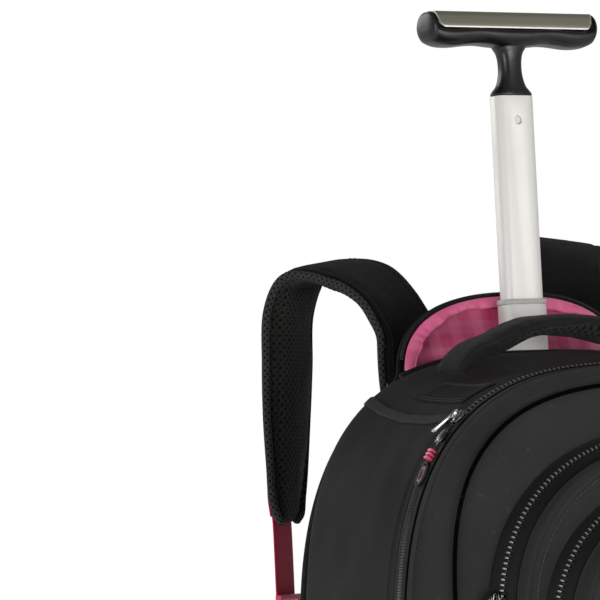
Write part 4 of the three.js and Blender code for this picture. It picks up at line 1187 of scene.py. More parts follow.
@dataclass(frozen=True)
class Row:
    """Places along a line, each with its direction along the line and out of the surface."""

    points: np.ndarray
    along: np.ndarray
    out: np.ndarray

    def every(self, pitch: float, start: float = 0.0, end: float = 0.0) -> "Row":
        """The same line with a place every pitch millimetres.

        Args:
            pitch: distance between places.
            start: length left free at the start.
            end: length left free at the end.

        Returns:
            A new row.
        """
        steps = np.linalg.norm(np.diff(self.points, axis=0), axis=1)
        length = np.concatenate([[0], np.cumsum(steps)])
        wanted = np.arange(start, length[-1] - end, pitch)
        pick = [np.stack([np.interp(wanted, length, a[:, i]) for i in range(3)], axis=-1)
                for a in (self.points, self.along, self.out)]
        return Row(pick[0], unit(pick[1]), unit(pick[2]))

    def moved(self, out: float = 0.0, aside: float = 0.0) -> "Row":
        """The line moved out of the surface and to its side."""
        side = np.cross(self.along, self.out)
        return Row(self.points + self.out * out + side * aside, self.along, self.out)


def row_on(points: np.ndarray, out: np.ndarray) -> Row:
    """A row from a line's points and the directions out of its surface."""
    along = unit(np.gradient(np.asarray(points, float), axis=0))
    out = unit(out - along * np.sum(out * along, axis=1, keepdims=True))
    return Row(np.asarray(points, float), along, out)


def repeat_tree(name: str) -> bpy.types.NodeTree:
    """Geometry Nodes that set a rounded bar at each point, turned by its stored directions.

    Args:
        name: name of the tree.

    Returns:
        Tree with inputs Length, Width, Height, Sides, Jitter, Seed and Material.
    """
    tree = bpy.data.node_groups.new(name, "GeometryNodeTree")
    face = tree.interface
    face.new_socket("Geometry", in_out="INPUT", socket_type="NodeSocketGeometry")
    for label, default in (("Length", 0.001), ("Width", 0.001), ("Height", 0.001), ("Jitter", 0.0)):
        face.new_socket(label, in_out="INPUT", socket_type="NodeSocketFloat").default_value = default
    face.new_socket("Sides", in_out="INPUT", socket_type="NodeSocketInt").default_value = 6
    face.new_socket("Seed", in_out="INPUT", socket_type="NodeSocketInt").default_value = SEED
    face.new_socket("Material", in_out="INPUT", socket_type="NodeSocketMaterial")
    face.new_socket("Geometry", in_out="OUTPUT", socket_type="NodeSocketGeometry")
    nodes, links = tree.nodes, tree.links
    source, sink = nodes.new("NodeGroupInput"), nodes.new("NodeGroupOutput")

    bar = nodes.new("GeometryNodeMeshCylinder")
    bar.inputs["Radius"].default_value = 0.5
    bar.inputs["Depth"].default_value = 1.0
    links.new(source.outputs["Sides"], bar.inputs["Vertices"])
    lie = nodes.new("GeometryNodeTransform")
    lie.inputs["Rotation"].default_value = (0, math.radians(90), 0)
    links.new(bar.outputs["Mesh"], lie.inputs["Geometry"])

    directions = []
    for label in ("along", "out"):
        stored = nodes.new("GeometryNodeInputNamedAttribute")
        stored.data_type = "FLOAT_VECTOR"
        stored.inputs["Name"].default_value = label
        directions.append(stored.outputs["Attribute"])
    turn = nodes.new("FunctionNodeAxesToRotation")
    turn.primary_axis = "X"
    turn.secondary_axis = "Z"
    links.new(directions[0], turn.inputs["Primary Axis"])
    links.new(directions[1], turn.inputs["Secondary Axis"])

    size = nodes.new("ShaderNodeCombineXYZ")
    for axis, label in zip("XYZ", ("Length", "Width", "Height")):
        links.new(source.outputs[label], size.inputs[axis])
    draw = nodes.new("FunctionNodeRandomValue")
    draw.data_type = "FLOAT_VECTOR"
    low = nodes.new("ShaderNodeMath")
    low.operation = "SUBTRACT"
    low.inputs[0].default_value = 1.0
    links.new(source.outputs["Jitter"], low.inputs[1])
    high = nodes.new("ShaderNodeMath")
    high.operation = "ADD"
    high.inputs[0].default_value = 1.0
    links.new(source.outputs["Jitter"], high.inputs[1])
    links.new(low.outputs[0], draw.inputs["Min"])
    links.new(high.outputs[0], draw.inputs["Max"])
    links.new(source.outputs["Seed"], draw.inputs["Seed"])
    scale = nodes.new("ShaderNodeVectorMath")
    scale.operation = "MULTIPLY"
    links.new(size.outputs[0], scale.inputs[0])
    links.new(draw.outputs["Value"], scale.inputs[1])

    spots = nodes.new("GeometryNodeMeshToPoints")
    links.new(source.outputs["Geometry"], spots.inputs["Mesh"])
    place = nodes.new("GeometryNodeInstanceOnPoints")
    links.new(spots.outputs["Points"], place.inputs["Points"])
    links.new(lie.outputs["Geometry"], place.inputs["Instance"])
    links.new(turn.outputs["Rotation"], place.inputs["Rotation"])
    links.new(scale.outputs["Vector"], place.inputs["Scale"])
    real = nodes.new("GeometryNodeRealizeInstances")
    links.new(place.outputs["Instances"], real.inputs["Geometry"])
    paint = nodes.new("GeometryNodeSetMaterial")
    links.new(real.outputs["Geometry"], paint.inputs["Geometry"])
    links.new(source.outputs["Material"], paint.inputs["Material"])
    links.new(paint.outputs["Geometry"], sink.inputs["Geometry"])
    return tree


def repeated(
    name: str,
    row: Row,
    size: tuple,
    material: bpy.types.Material,
    sides: int = 6,
    jitter: float = 0.0,
) -> bpy.types.Object:
    """Sets a small bar at each place of a row in the bag's frame.

    Args:
        name: piece name.
        row: places in bag millimetres.
        size: length along the row, width across it and height out of it, in millimetres.
        material: finish of the bars.
        sides: sides of each bar; 4 gives a block.
        jitter: how much sizes differ, as a share.

    Returns:
        Plain mesh object.
    """
    mesh = bpy.data.meshes.new(name)
    mesh.from_pydata([tuple(p) for p in BAG.place(row.points)], [], [])
    for label, values in (("along", BAG.turn(row.along)), ("out", BAG.turn(row.out))):
        attribute = mesh.attributes.new(label, "FLOAT_VECTOR", "POINT")
        attribute.data.foreach_set("vector", values.astype(np.float32).ravel())
    piece = bpy.data.objects.new(name, mesh)
    bpy.context.scene.collection.objects.link(piece)
    modifier = piece.modifiers.new("repeat", "NODES")
    modifier.node_group = shared("repeat", lambda: repeat_tree("repeat_along_row"))
    widen = math.sqrt(2) if sides == 4 else 1.0
    values = {
        "Length": size[0] * MM, "Width": size[1] * MM * widen, "Height": size[2] * MM * widen,
        "Sides": sides, "Jitter": jitter, "Seed": SEED, "Material": material,
    }
    for item in modifier.node_group.interface.items_tree:
        if item.item_type == "SOCKET" and item.in_out == "INPUT" and item.name in values:
            modifier[item.identifier] = values[item.name]
    return apply_modifiers(piece)


def joined(name: str, pieces: Sequence[bpy.types.Object]) -> bpy.types.Object:
    """Joins several meshes in one piece.

    Args:
        name: name of the result.
        pieces: mesh objects, which are used up.

    Returns:
        One object that keeps each piece's materials.
    """
    materials = []
    work = bmesh.new()
    for piece in pieces:
        start = len(work.faces)
        slots = []
        for material in piece.data.materials:
            if material not in materials:
                materials.append(material)
            slots.append(materials.index(material))
        work.from_mesh(piece.data)
        work.faces.ensure_lookup_table()
        for face in work.faces[start:]:
            face.material_index = slots[min(face.material_index, len(slots) - 1)] if slots else 0
    mesh = bpy.data.meshes.new(name)
    work.to_mesh(mesh)
    work.free()
    for material in materials:
        mesh.materials.append(material)
    for piece in pieces:
        old = piece.data
        bpy.data.objects.remove(piece)
        bpy.data.meshes.remove(old)
    result = bpy.data.objects.new(name, mesh)
    bpy.context.scene.collection.objects.link(result)
    return result


# Shape of the bag


@dataclass(frozen=True)
class Station:
    """Rounded outline of the bag at one depth: flat foot, straight sides, arched top."""

    depth: float
    half_width: float
    top: float
    arch: float = 200.0
    power: float = 2.9
    foot: float = 0.0
    corner: float = 38.0

    def outline(self, count: int, inset: float = 0.0) -> np.ndarray:
        """Points spread evenly round the outline, from the middle of the foot up the right side.

        Args:
            count: number of points.
            inset: how far the outline is drawn in.

        Returns:
            count by 3 array in the bag's frame.
        """
        half = self.half_width - inset
        low = self.foot + inset
        bend = max(self.corner - inset, 1.0)
        spring = self.top - self.arch
        rise = self.arch - inset
        angles = np.linspace(0, math.pi / 2, 12)
        corner_x = half - bend + bend * np.sin(angles)
        corner_z = low + bend - bend * np.cos(angles)
        turn = np.linspace(0, math.pi / 2, 90)
        arch_x = half * np.cos(turn) ** (2 / self.power)
        arch_z = spring + rise * np.sin(turn) ** (2 / self.power)
        right_x = np.concatenate([[0], corner_x, arch_x])
        right_z = np.concatenate([[low], corner_z, arch_z])
        x = np.concatenate([right_x, -right_x[-2:0:-1]])
        z = np.concatenate([right_z, right_z[-2:0:-1]])
        loop = np.stack([x, np.full_like(x, self.depth), z], axis=-1)
        return resample(loop, count, closed=True)


def stations_between(rows: Sequence[Station], count: int) -> list:
    """Smoothly resampled stations."""
    table = [[s.depth, s.half_width, s.top, s.arch, s.power, s.foot, s.corner] for s in rows]
    return [Station(*values) for values in smooth_rows(table, count)]


def ring_out(loop: np.ndarray, slope: float = 0.0) -> np.ndarray:
    """Directions out of a closed outline, leaning forward by a slope."""
    along = np.roll(loop, -1, axis=0) - np.roll(loop, 1, axis=0)
    out = np.stack([along[:, 2], np.zeros(len(loop)), -along[:, 0]], axis=-1)
    out = unit(out)
    out[:, 1] -= slope
    return unit(out)


@dataclass
class StripPlan:
    """A cloth strip that follows the outline through some stations."""

    stations: list
    count: int = 420
    inset: float = 0.0
    span: Optional[tuple] = None
    folds: float = 0.0
    fold_size: float = 70.0
    seed: int = SEED

    def rings(self) -> np.ndarray:
        """Rings of points, one per station, with soft folds.

        Returns:
            rings by points by 3 array in the bag's frame.
        """
        rings = np.array([s.outline(self.count, self.inset) for s in self.stations])
        if self.folds:
            flat = rings.reshape(-1, 3) * np.array([1, 1.6, 1])
            wave = noise(flat, self.fold_size, self.seed).reshape(rings.shape[:2])
            share = np.linspace(0, 1, len(rings))
            fade = np.clip(np.minimum(share, 1 - share) * 5, 0, 1)[:, None]
            outs = np.array([ring_out(ring) for ring in rings])
            rings = rings + outs * (wave * fade * self.folds)[..., None]
        if self.span:
            rings = rings[:, self.span[0]:self.span[1]]
        return rings

    def surface(self, name: str, material: bpy.types.Material) -> bpy.types.Object:
        """The strip as an open surface.

        Args:
            name: piece name.
            material: its finish.

        Returns:
            Surface object whose UV runs round the outline and along the depth, in metres.
        """
        rings = self.rings()
        rows, columns = rings.shape[:2]
        across = np.linalg.norm(np.diff(rings, axis=1), axis=2).mean(axis=0)
        u = np.concatenate([[0], np.cumsum(across)])
        deep = np.linalg.norm(np.diff(rings, axis=0), axis=2).mean(axis=1)
        v = np.concatenate([[0], np.cumsum(deep)])
        uv = np.stack(np.meshgrid(u, v), axis=-1).reshape(-1, 2) * MM
        faces = grid_faces(rows, columns, closed_columns=self.span is None)
        return make_object(name, BAG.place(rings.reshape(-1, 3)), faces, material, uv)


@dataclass(frozen=True)
class BagSizes:
    """Named sizes of the main bag."""

    width: float = 358.0
    height: float = 450.0
    arch: float = 200.0
    gusset: float = 108.0
    zip_width: float = 14.0
    front_gusset: float = 28.0
    cloth: float = 2.0
    rear_power: float = 3.0

    def rear_rows(self) -> list:
        """Stations from the main zip back to the rear seam.

        Returns:
            Stations, the one at the seam last.
        """
        shares = [
            (1, 0.966, 0.958, 2.9), (0.75, 0.986, 0.958, 2.9), (0.5, 0.994, 0.962, 2.95),
            (0.25, 0.988, 0.974, 2.95), (
                0.06, 0.974, 0.989, self.rear_power,
            ), (0, 0.967, 0.986, self.rear_power),
        ]
        return [
            Station(
                -self.gusset * a, self.width / 2 * w, self.height * t, self.arch, p,
            ) for a, w, t, p in shares
        ]

    def front_rows(self) -> list:
        """Stations from the main zip forward to the front piping.

        Returns:
            Stations, the one at the piping last.
        """
        shares = [
            (0, 0.966, 0.958, 1, 2.9), (0.45, 0.952, 0.955, 0.95, 2.9),
            (0.78, 0.902, 0.944, 0.8, 2.9), (1, 0.852, 0.927, 0.66, 2.95),
        ]
        return [
            Station(-self.gusset - self.zip_width - self.front_gusset * a, self.width / 2 * w, self.height * t,
                    self.arch * r, p)
            for a, w, t, r, p in shares
        ]


# Main bag


def zip_teeth(
    name: str,
    row: Row,
    material: bpy.types.Material,
    pitch: float = 1.7,
    size: float = 1.0,
    far: Optional[bpy.types.Material] = None,
) -> list:
    """Two interlocking rows of zip teeth.

    Args:
        name: piece name.
        row: line between the two tapes.
        material: finish of the teeth.
        pitch: distance between teeth of one row, in millimetres.
        size: scale of each tooth.
        far: finish of the second row, if it differs; the callers give it black as painted shade.

    Returns:
        Two mesh objects.
    """
    left = row.every(pitch).moved(aside=0.75 * size)
    right = row.every(pitch, start=pitch / 2).moved(aside=-0.75 * size)
    tooth = (0.95 * size, 2.5 * size, 1.5 * size)
    return [
        repeated(f"{name}_a", left, tooth, material, sides=4),
        repeated(f"{name}_b", right, tooth, far or material, sides=4),
    ]


def stitches(
    row: Row, material: bpy.types.Material, length: float = 2.4, gap: float = 1.0, width: float = 0.5,
) -> bpy.types.Object:
    """A line of sewn stitches.

    Args:
        row: the seam's line.
        material: finish of the thread.
        length: stitch length in millimetres.
        gap: gap between stitches.
        width: thread thickness.

    Returns:
        Mesh object.
    """
    return repeated(
        "stitches", row.every(length + gap, start=1.0, end=1.0), (length, width, width), material,
    )


@dataclass
class MainBag:
    """The two halves of the bag with the zip, seams and piping between them."""

    wardrobe: Wardrobe
    sizes: BagSizes = field(default_factory=BagSizes)
    count: int = 460
    side_foot: float = 40.0
    sliders_meet: float = -121.0
    zip_seam: float = -120.5
    seam_depth: float = 0.9
    piping_radius: float = 1.3

    def seamed(self, rings: list, at: float, depth: float, width: float) -> list:
        """Draws stations in where a seam crosses them.

        Args:
            rings: stations.
            at: depth of the seam in the bag's frame.
            depth: how far the cloth is drawn in.
            width: half width of the groove.

        Returns:
            New stations.
        """
        result = []
        for s in rings:
            pull = depth * math.exp(-((s.depth - at) / width) ** 2)
            result.append(Station(s.depth, s.half_width - pull, s.top - pull, s.arch - pull, s.power, s.foot, s.corner))
        return result

    def rear_half(self) -> None:
        """Makes the gusset and partition wall."""
        stations = stations_between(self.sizes.rear_rows(), 64)
        stations = self.seamed(stations, -103.5, 0.7, 1.2)
        plan = StripPlan(stations, self.count, folds=1.5, fold_size=120, seed=3)
        material = self.wardrobe.get(GUSSET_CLOTH)
        side = plan.surface("gusset_side", material)
        last = plan.rings()[-1]
        wall_rings = [last]
        centre = np.array([0, last[0][1], self.sizes.height / 2])
        for share in (0.8, 0.5, 0.2):
            wall_rings.append(centre + (last - centre) * share)
        points = np.vstack([np.array(wall_rings).reshape(-1, 3), centre[None]])
        faces = grid_faces(len(wall_rings), self.count, closed_columns=True)
        start = (len(wall_rings) - 1) * self.count
        faces += [(start + i, start + (i + 1) % self.count, len(points) - 1) for i in range(self.count)]
        wall = make_object("gusset_wall", BAG.place(points), faces, material, points[:, [0, 2]] * MM)
        piece = joined("bag_rear_half", [side, wall])
        face_outwards(piece)
        thicken(piece, self.sizes.cloth * 0.9)
        settle(piece, "base", "bag", "rear_shell")

    def front_half(self) -> None:
        """Makes the front gusset and the face behind the pockets."""
        stations = stations_between(self.sizes.front_rows(), 44)
        stations = self.seamed(stations, -130.5, self.seam_depth, 1.0)
        plan = StripPlan(stations, self.count, folds=0.9, fold_size=150, seed=5)
        material = self.wardrobe.get(BODY_CLOTH)
        side = plan.surface("front_side", material)
        last = plan.rings()[-1]
        centre = np.array([0, last[0][1], self.sizes.height / 2])
        rings = [last] + [centre + (last - centre) * share for share in (0.92, 0.8, 0.6, 0.4, 0.2)]
        points = np.vstack([np.array(rings).reshape(-1, 3), centre[None]])
        faces = grid_faces(len(rings), self.count, closed_columns=True)
        start = (len(rings) - 1) * self.count
        faces += [(start + i, start + (i + 1) % self.count, len(points) - 1) for i in range(self.count)]
        face = make_object("front_face", BAG.place(points), faces, material, points[:, [0, 2]] * MM)
        piece = joined("bag_front_half", [side, face])
        face_outwards(piece)
        thicken(piece, self.sizes.cloth * 0.9)
        settle(piece, "base", "bag", "front_shell")

    def open_run(self, station: Station, inset: float = 0.0) -> Row:
        """The outline's run over the arch, from the right base corner to the left."""
        loop = station.outline(self.count, inset)
        outs = ring_out(loop)
        keep = loop[:, 2] > station.foot + self.side_foot
        return row_on(loop[keep], outs[keep])

    def zip(self) -> None:
        """Makes the main zip: two tapes and two rows of teeth."""
        rear = -self.sizes.gusset
        edge = self.sizes.rear_rows()[0]
        depths = [0.3, 0.9, 1.6, 3.2, 4.8, 5.3, 6.9, 7.0, 7.1, 8.7, 9.2, 10.8, 12.4, 13.1, 13.7]
        lifts = [-1.2, 0.2, 0.5, 0.5, 0.4, 0.0, -0.2, -0.8, -0.2, 0.0, 0.4, 0.5, 0.5, 0.2, -1.2]
        rings = []
        for depth, lift in zip(depths, lifts):
            s = Station(rear - depth, edge.half_width + lift, edge.top + lift, edge.arch + lift)
            rings.append(s)
        keep = self.open_mask(edge)
        plan = StripPlan(rings, self.count, span=keep)
        tape = plan.surface("main_zip_tapes", self.wardrobe.get(ZIP_TAPE))
        thicken(tape, 1.4, offset=-1 if self.faces_out(tape) else 1)
        settle(tape, "base", "zip_tape", "main_zip")
        middle = Station(rear - 7.0, edge.half_width + 0.3, edge.top + 0.3, edge.arch + 0.3)
        row = self.open_run(middle)
        closed = row.points[:, 0] > self.sliders_meet
        parts = []
        # On the closed upper run the near row's pale silver is a painted highlight, and on the lower run the dark metal
        # is painted shade; the black far row of both is painted shade.
        for run, finish, pitch in ((closed, HIGHLIGHT_TEETH, 3.2), (~closed, SHADED_TOOTH_METAL, 1.75)):
            part = Row(row.points[run], row.along[run], row.out[run])
            dark = self.wardrobe.get(BLACK_AND_SHADED_TEETH)
            parts += zip_teeth("main_teeth", part, self.wardrobe.get(finish), pitch, 1.1, far=dark)
        settle(joined("main_zip_teeth", parts), "base", "zip_metal")

    def open_mask(self, station: Station) -> tuple:
        """First and last outline points above the base corners."""
        loop = station.outline(self.count)
        above = np.nonzero(loop[:, 2] > station.foot + self.side_foot)[0]
        return int(above[0]), int(above[-1]) + 1

    @staticmethod
    def faces_out(piece: bpy.types.Object) -> bool:
        """Whether a strip's faces point away from the middle of the bag."""
        centre = BAG.place(np.array([[0, -100, 225]]))[0]
        total = 0.0
        for polygon in list(piece.data.polygons)[::50]:
            total += polygon.normal.dot(polygon.center - Vector(centre))
        return total > 0

    def lower_strip(self) -> None:
        """Closes the foot between the two halves, where there is no zip."""
        rear = -self.sizes.gusset
        edge = self.sizes.rear_rows()[0]
        first, last = self.open_mask(edge)
        stations = [Station(rear - d, edge.half_width, edge.top) for d in np.linspace(0.3, self.sizes.zip_width - 0.3, 6)]
        rings = np.array([s.outline(self.count) for s in stations])
        run = np.roll(rings, self.count // 2, axis=1)
        half = self.count // 2
        rings = run[:, half - first + 1:half + (self.count - last)]
        rows, columns = rings.shape[:2]
        uv = np.stack(
            np.meshgrid(np.arange(columns) * 0.002, np.arange(rows) * 0.002), axis=-1,
        ).reshape(-1, 2)
        piece = make_object(
            "bag_lower_strip", BAG.place(rings.reshape(-1, 3)), grid_faces(rows, columns),
            self.wardrobe.get(BODY_CLOTH), uv,
        )
        thicken(piece, 1.8, offset=-1 if self.faces_out(piece) else 1)
        settle(piece, "base", "bag", "lower_gusset")

    def piping(self) -> None:
        """Makes the corded piping round the front edge."""
        edge = self.sizes.front_rows()[-1]
        shift = (self.piping_radius + 0.6) / math.sqrt(2)
        station = Station(
            edge.depth - shift, edge.half_width + shift, edge.top + shift, edge.arch + shift, edge.power,
            edge.foot - shift, edge.corner,
        )
        row = self.open_run(station)
        # The cord's near-black finish is painted shade along the front seam.
        piece = tube_along("bag_piping", row, self.piping_radius, 10, self.wardrobe.get(SEAM_CORD_SHADE))
        settle(piece, "base", "bag", "front_piping")

    def seam_threads(self) -> None:
        """Sews the double line beside the front seam and the line beside the main zip."""
        rows = stations_between(self.sizes.front_rows(), 80)
        pieces = []
        for depth in (-128.6, -132.6):
            station = min(rows, key=lambda s: abs(s.depth - depth))
            pieces.append(stitches(self.open_run(station).moved(out=0.1), self.wardrobe.get(DARK_THREAD)))
        rear = stations_between(self.sizes.rear_rows(), 80)
        station = min(rear, key=lambda s: abs(s.depth + 101.2))
        pieces.append(stitches(self.open_run(station).moved(out=0.1), self.wardrobe.get(DARK_THREAD)))
        settle(joined("bag_seam_stitches", pieces), "base", "bag")
        # A squashed near-black cord along the seam beside the main zip: painted shade in the seam's groove.
        zip_edge = min(rows, key=lambda s: abs(s.depth - self.zip_seam))
        row = self.open_run(zip_edge)
        settle(tube_along("zip_seam", row, 0.9, 8, self.wardrobe.get(SEAM_CORD_SHADE), squash=0.5), "base", "bag")

    def build(self) -> None:
        """Makes every piece of the main bag."""
        self.rear_half()
        self.front_half()
        self.zip()
        self.lower_strip()
        self.piping()
        self.seam_threads()


def tube_along(
    name: str,
    row: Row,
    radius: float,
    sides: int,
    material: bpy.types.Material,
    squash: float = 1.0,
) -> bpy.types.Object:
    """A closed tube along a row.

    Args:
        name: piece name.
        row: centre line in the bag's frame.
        radius: in millimetres.
        sides: facets round the tube.
        material: its finish.
        squash: height out of the surface as a share of the width.

    Returns:
        Mesh object.
    """
    side = np.cross(row.along, row.out)
    angles = np.linspace(0, 2 * math.pi, sides, endpoint=False)
    rings = np.array([
        p + (side[i] * np.cos(angles)[:, None] + row.out[i] * np.sin(angles)[:, None] * squash) * radius
        for i, p in enumerate(row.points)
    ])
    count = len(row.points)
    points = np.vstack([rings.reshape(-1, 3), row.points[:1], row.points[-1:]])
    faces = grid_faces(count, sides, closed_columns=True)
    faces += [((i + 1) % sides, i, count * sides) for i in range(sides)]
    end = (count - 1) * sides
    faces += [(end + i, end + (i + 1) % sides, count * sides + 1) for i in range(sides)]
    length = np.concatenate([[0], np.cumsum(np.linalg.norm(np.diff(row.points, axis=0), axis=1))])
    turn = np.linspace(0, 2 * math.pi * radius, sides, endpoint=False)
    uv = np.stack(np.meshgrid(turn, length), axis=-1).reshape(-1, 2)
    uv = np.vstack([uv, [[0, 0]], [[0, length[-1]]]]) * MM
    return face_outwards(make_object(name, BAG.place(points), faces, material, uv))


@dataclass
class FrontPocket:
    """A pocket with a zip that climbs round its edge and a domed face."""

    wardrobe: Wardrobe
    label: str
    seat: float
    width: float
    height: float
    arch: float
    depth: float
    dome: float
    foot: float = 24.0
    corner: float = 26.0
    power: float = 2.3
    climb: float = 16.0
    slope: float = 9.0
    gap: float = 0.3
    count: int = 360
    seed: int = 11

    def rim(self, share: float, lift: float = 0.0, depth: float = 0.0) -> Station:
        """Outline of the zip at a share of its climb.

        Args:
            share: 0 at the seat, 1 at the pocket's edge.
            lift: how far it stands out of the slope.
            depth: extra depth towards the front.

        Returns:
            The outline's station.
        """
        fall = self.slope * share - lift
        return Station(
            self.seat - self.gap - self.climb * share - depth, self.width / 2 - fall, self.height - fall,
            self.arch - fall, self.power, self.foot + fall, self.corner,
        )

    def zip(self) -> None:
        """Makes the zip's tapes and teeth."""
        shares = [0.0, 0.04, 0.1, 0.25, 0.38, 0.43, 0.49, 0.51, 0.57, 0.62, 0.75, 0.9, 0.96, 1.0]
        lifts = [-0.6, 0.1, 0.3, 0.3, 0.5, 0.1, -0.3, -0.3, 0.1, 0.5, 0.3, 0.3, 0.1, -0.6]
        plan = StripPlan([self.rim(s, l) for s, l in zip(shares, lifts)], self.count)
        tape = plan.surface(f"{self.label}_zip_tapes", self.wardrobe.get(ZIP_TAPE))
        thicken(tape, 1.4, offset=-1 if MainBag.faces_out(tape) else 1)
        settle(tape, "base", "zip_tape", f"{self.label}_zip")
        middle = self.rim(0.5)
        loop = middle.outline(self.count)
        outs = ring_out(loop, self.slope / self.climb)
        keep = loop[:, 2] > self.foot + self.corner + 8
        row = row_on(loop[keep], outs[keep]).moved(out=0.7)
        # The near row's pale silver is a painted highlight and the black far row is painted shade.
        teeth = joined(f"{self.label}_zip_teeth", zip_teeth(
            "teeth", row, self.wardrobe.get(HIGHLIGHT_TEETH), 3.2, 1.0, far=self.wardrobe.get(BLACK_AND_SHADED_TEETH),
        ))
        settle(teeth, "base", "zip_metal")

    def cup(self) -> None:
        """Makes the pocket's wall and padded face."""
        crest = self.rim(1.0)
        base = Station(
            crest.depth - self.gap, crest.half_width, crest.top, crest.arch, crest.power, crest.foot, crest.corner,
        )
        deep = self.depth - self.climb - self.gap
        steps = [0.0, 0.2, 0.45, 0.7, 0.88, 0.97, 1.0]
        pulls = [0.2, -0.2, -0.5, -0.2, 0.6, 1.8, 3.6]
        rings = []
        for step, pull in zip(steps, pulls):
            s = Station(
                base.depth - deep * step, base.half_width - pull, base.top - pull, base.arch - pull, base.power,
                base.foot + pull, base.corner,
            )
            rings.append(s.outline(self.count))
        face = base.depth - deep
        centre = np.array([0, face, (base.top + base.foot) / 2])
        edge = rings[-1]
        for share in (0.985, 0.95, 0.9, 0.82, 0.72, 0.6, 0.48, 0.36, 0.24, 0.12):
            ring = centre + (edge - centre) * share
            dome = self.dome * (1 - share ** 3.0)
            ring[:, 1] = face - dome
            rings.append(ring)
        rings = np.array(rings)
        flat = rings.reshape(-1, 3)
        wave = noise(flat, 130, self.seed).reshape(rings.shape[:2])
        fade = np.clip(np.linspace(0, 6, len(rings)), 0, 1)[:, None]
        rings[:, :, 1] -= wave * fade * 1.2 + 0.6 * fade
        middle = rings[-1].mean(axis=0)
        points = np.vstack([rings.reshape(-1, 3), middle[None]])
        faces = grid_faces(len(rings), self.count, closed_columns=True)
        start = (len(rings) - 1) * self.count
        faces += [(start + i, start + (i + 1) % self.count, len(points) - 1) for i in range(self.count)]
        around = np.arange(self.count) * line_length(np.vstack([edge, edge[:1]])) / self.count
        uv = points[:, [0, 2]].copy()
        for i in range(len(steps) - 1):
            uv[i * self.count:(i + 1) * self.count, 0] = around
            uv[i * self.count:(i + 1) * self.count, 1] = i * 2.0
        piece = make_object(
            f"{self.label}_cup", BAG.place(points), faces, self.wardrobe.get(BODY_CLOTH), uv * MM,
        )
        face_outwards(piece)
        thicken(piece, 1.8)
        settle(piece, "base", "bag", self.label)

    def edge_stitches(self) -> None:
        """Sews a line round the pocket's face, beside its edge."""
        crest = self.rim(1.0)
        pull = 7.0
        face = crest.depth - self.gap - (self.depth - self.climb - self.gap)
        s = Station(face - 1.2, crest.half_width - pull, crest.top - pull, crest.arch - pull, crest.power,
                    crest.foot + pull, crest.corner)
        loop = s.outline(self.count)
        outs = np.tile(np.array([0.0, -1.0, 0.0]), (len(loop), 1))
        row = row_on(loop[2:-2], outs[2:-2])
        settle(joined(f"{self.label}_stitches", [stitches(row, self.wardrobe.get(THREAD), width=0.55)]), "base", "bag")

    def build(self) -> None:
        """Makes the whole pocket."""
        self.zip()
        self.cup()
        self.edge_stitches()


# Swept soft pieces


@dataclass
class Sweep:
    """Sections carried along a path, each with its own width, thickness and turn."""

    path: np.ndarray
    wide: np.ndarray
    width: np.ndarray
    thick: np.ndarray
    flip: float = 1.0

    def frames(self) -> tuple:
        """Directions along the path, across it and out of its outer face."""
        along = unit(np.gradient(self.path, axis=0))
        across = unit(self.wide - along * np.sum(self.wide * along, axis=1, keepdims=True))
        outer = np.cross(across, along) * self.flip
        return along, across, outer

    def lengths(self) -> np.ndarray:
        """Length along the path at each point."""
        return np.concatenate([[0], np.cumsum(np.linalg.norm(np.diff(self.path, axis=0), axis=1))])

    def surface(
        self, name: str, sides: int, squareness: float, material: bpy.types.Material,
    ) -> bpy.types.Object:
        """Makes the closed solid.

        Args:
            name: piece name.
            sides: points round a section.
            squareness: 2 is oval, higher is squarer.
            material: its finish.

        Returns:
            Mesh object whose UV runs across and along the piece.
        """
        _, across, outer = self.frames()
        angles = (np.arange(sides) + 0.5) * 2 * math.pi / sides
        c, s = np.cos(angles), np.sin(angles)
        a = np.sign(c) * np.abs(c) ** (2 / squareness)
        b = np.sign(s) * np.abs(s) ** (2 / squareness)
        rings = (
            self.path[:, None, :]
            + across[:, None, :] * (a[None, :, None] * self.width[:, None, None] / 2)
            + outer[:, None, :] * (b[None, :, None] * self.thick[:, None, None] / 2)
        )
        count = len(self.path)
        points = np.vstack([rings.reshape(-1, 3), self.path[:1], self.path[-1:]])
        faces = grid_faces(count, sides, closed_columns=True)
        end = (count - 1) * sides
        faces += [((i + 1) % sides, i, count * sides) for i in range(sides)]
        faces += [(end + i, end + (i + 1) % sides, count * sides + 1) for i in range(sides)]
        u = a[None, :] * self.width[:, None] / 2
        v = np.repeat(self.lengths()[:, None], sides, axis=1)
        uv = np.vstack([np.stack([u, v], axis=-1).reshape(-1, 2), [[0, 0]], [[0, self.lengths()[-1]]]])
        return face_outwards(make_object(name, BAG.place(points), faces, material, uv * MM))

    def coordinates(self, points: np.ndarray) -> np.ndarray:
        """Reads bag points as across, along and out of the middle surface.

        Args:
            points: n by 3 array in the bag's frame.

        Returns:
            n by 3 array of across, length along and height out.
        """
        along, across, outer = self.frames()
        lengths = self.lengths()
        result = np.zeros((len(points), 3))
        for start in range(0, len(points), 4000):
            part = points[start:start + 4000]
            gaps = np.linalg.norm(part[:, None, :] - self.path[None, :, :], axis=2)
            near = gaps.argmin(axis=1)
            rest = part - self.path[near]
            result[start:start + 4000, 0] = np.sum(rest * across[near], axis=1)
            result[start:start + 4000, 1] = lengths[near] + np.sum(rest * along[near], axis=1)
            result[start:start + 4000, 2] = np.sum(rest * outer[near], axis=1)
        return result

    def edge_row(self, side: float, drop: float = 0.0, first: int = 0, last: Optional[int] = None) -> Row:
        """The line along one edge of the piece.

        Args:
            side: 1 or -1 for the edge, or a share of the half width.
            drop: height out of the middle surface.
            first: first path point used.
            last: path point to stop before.

        Returns:
            Row whose out direction leaves the outer face.
        """
        _, across, outer = self.frames()
        points = self.path + across * (self.width[:, None] / 2 * side) + outer * drop
        pick = slice(first, last)
        return row_on(points[pick], outer[pick])


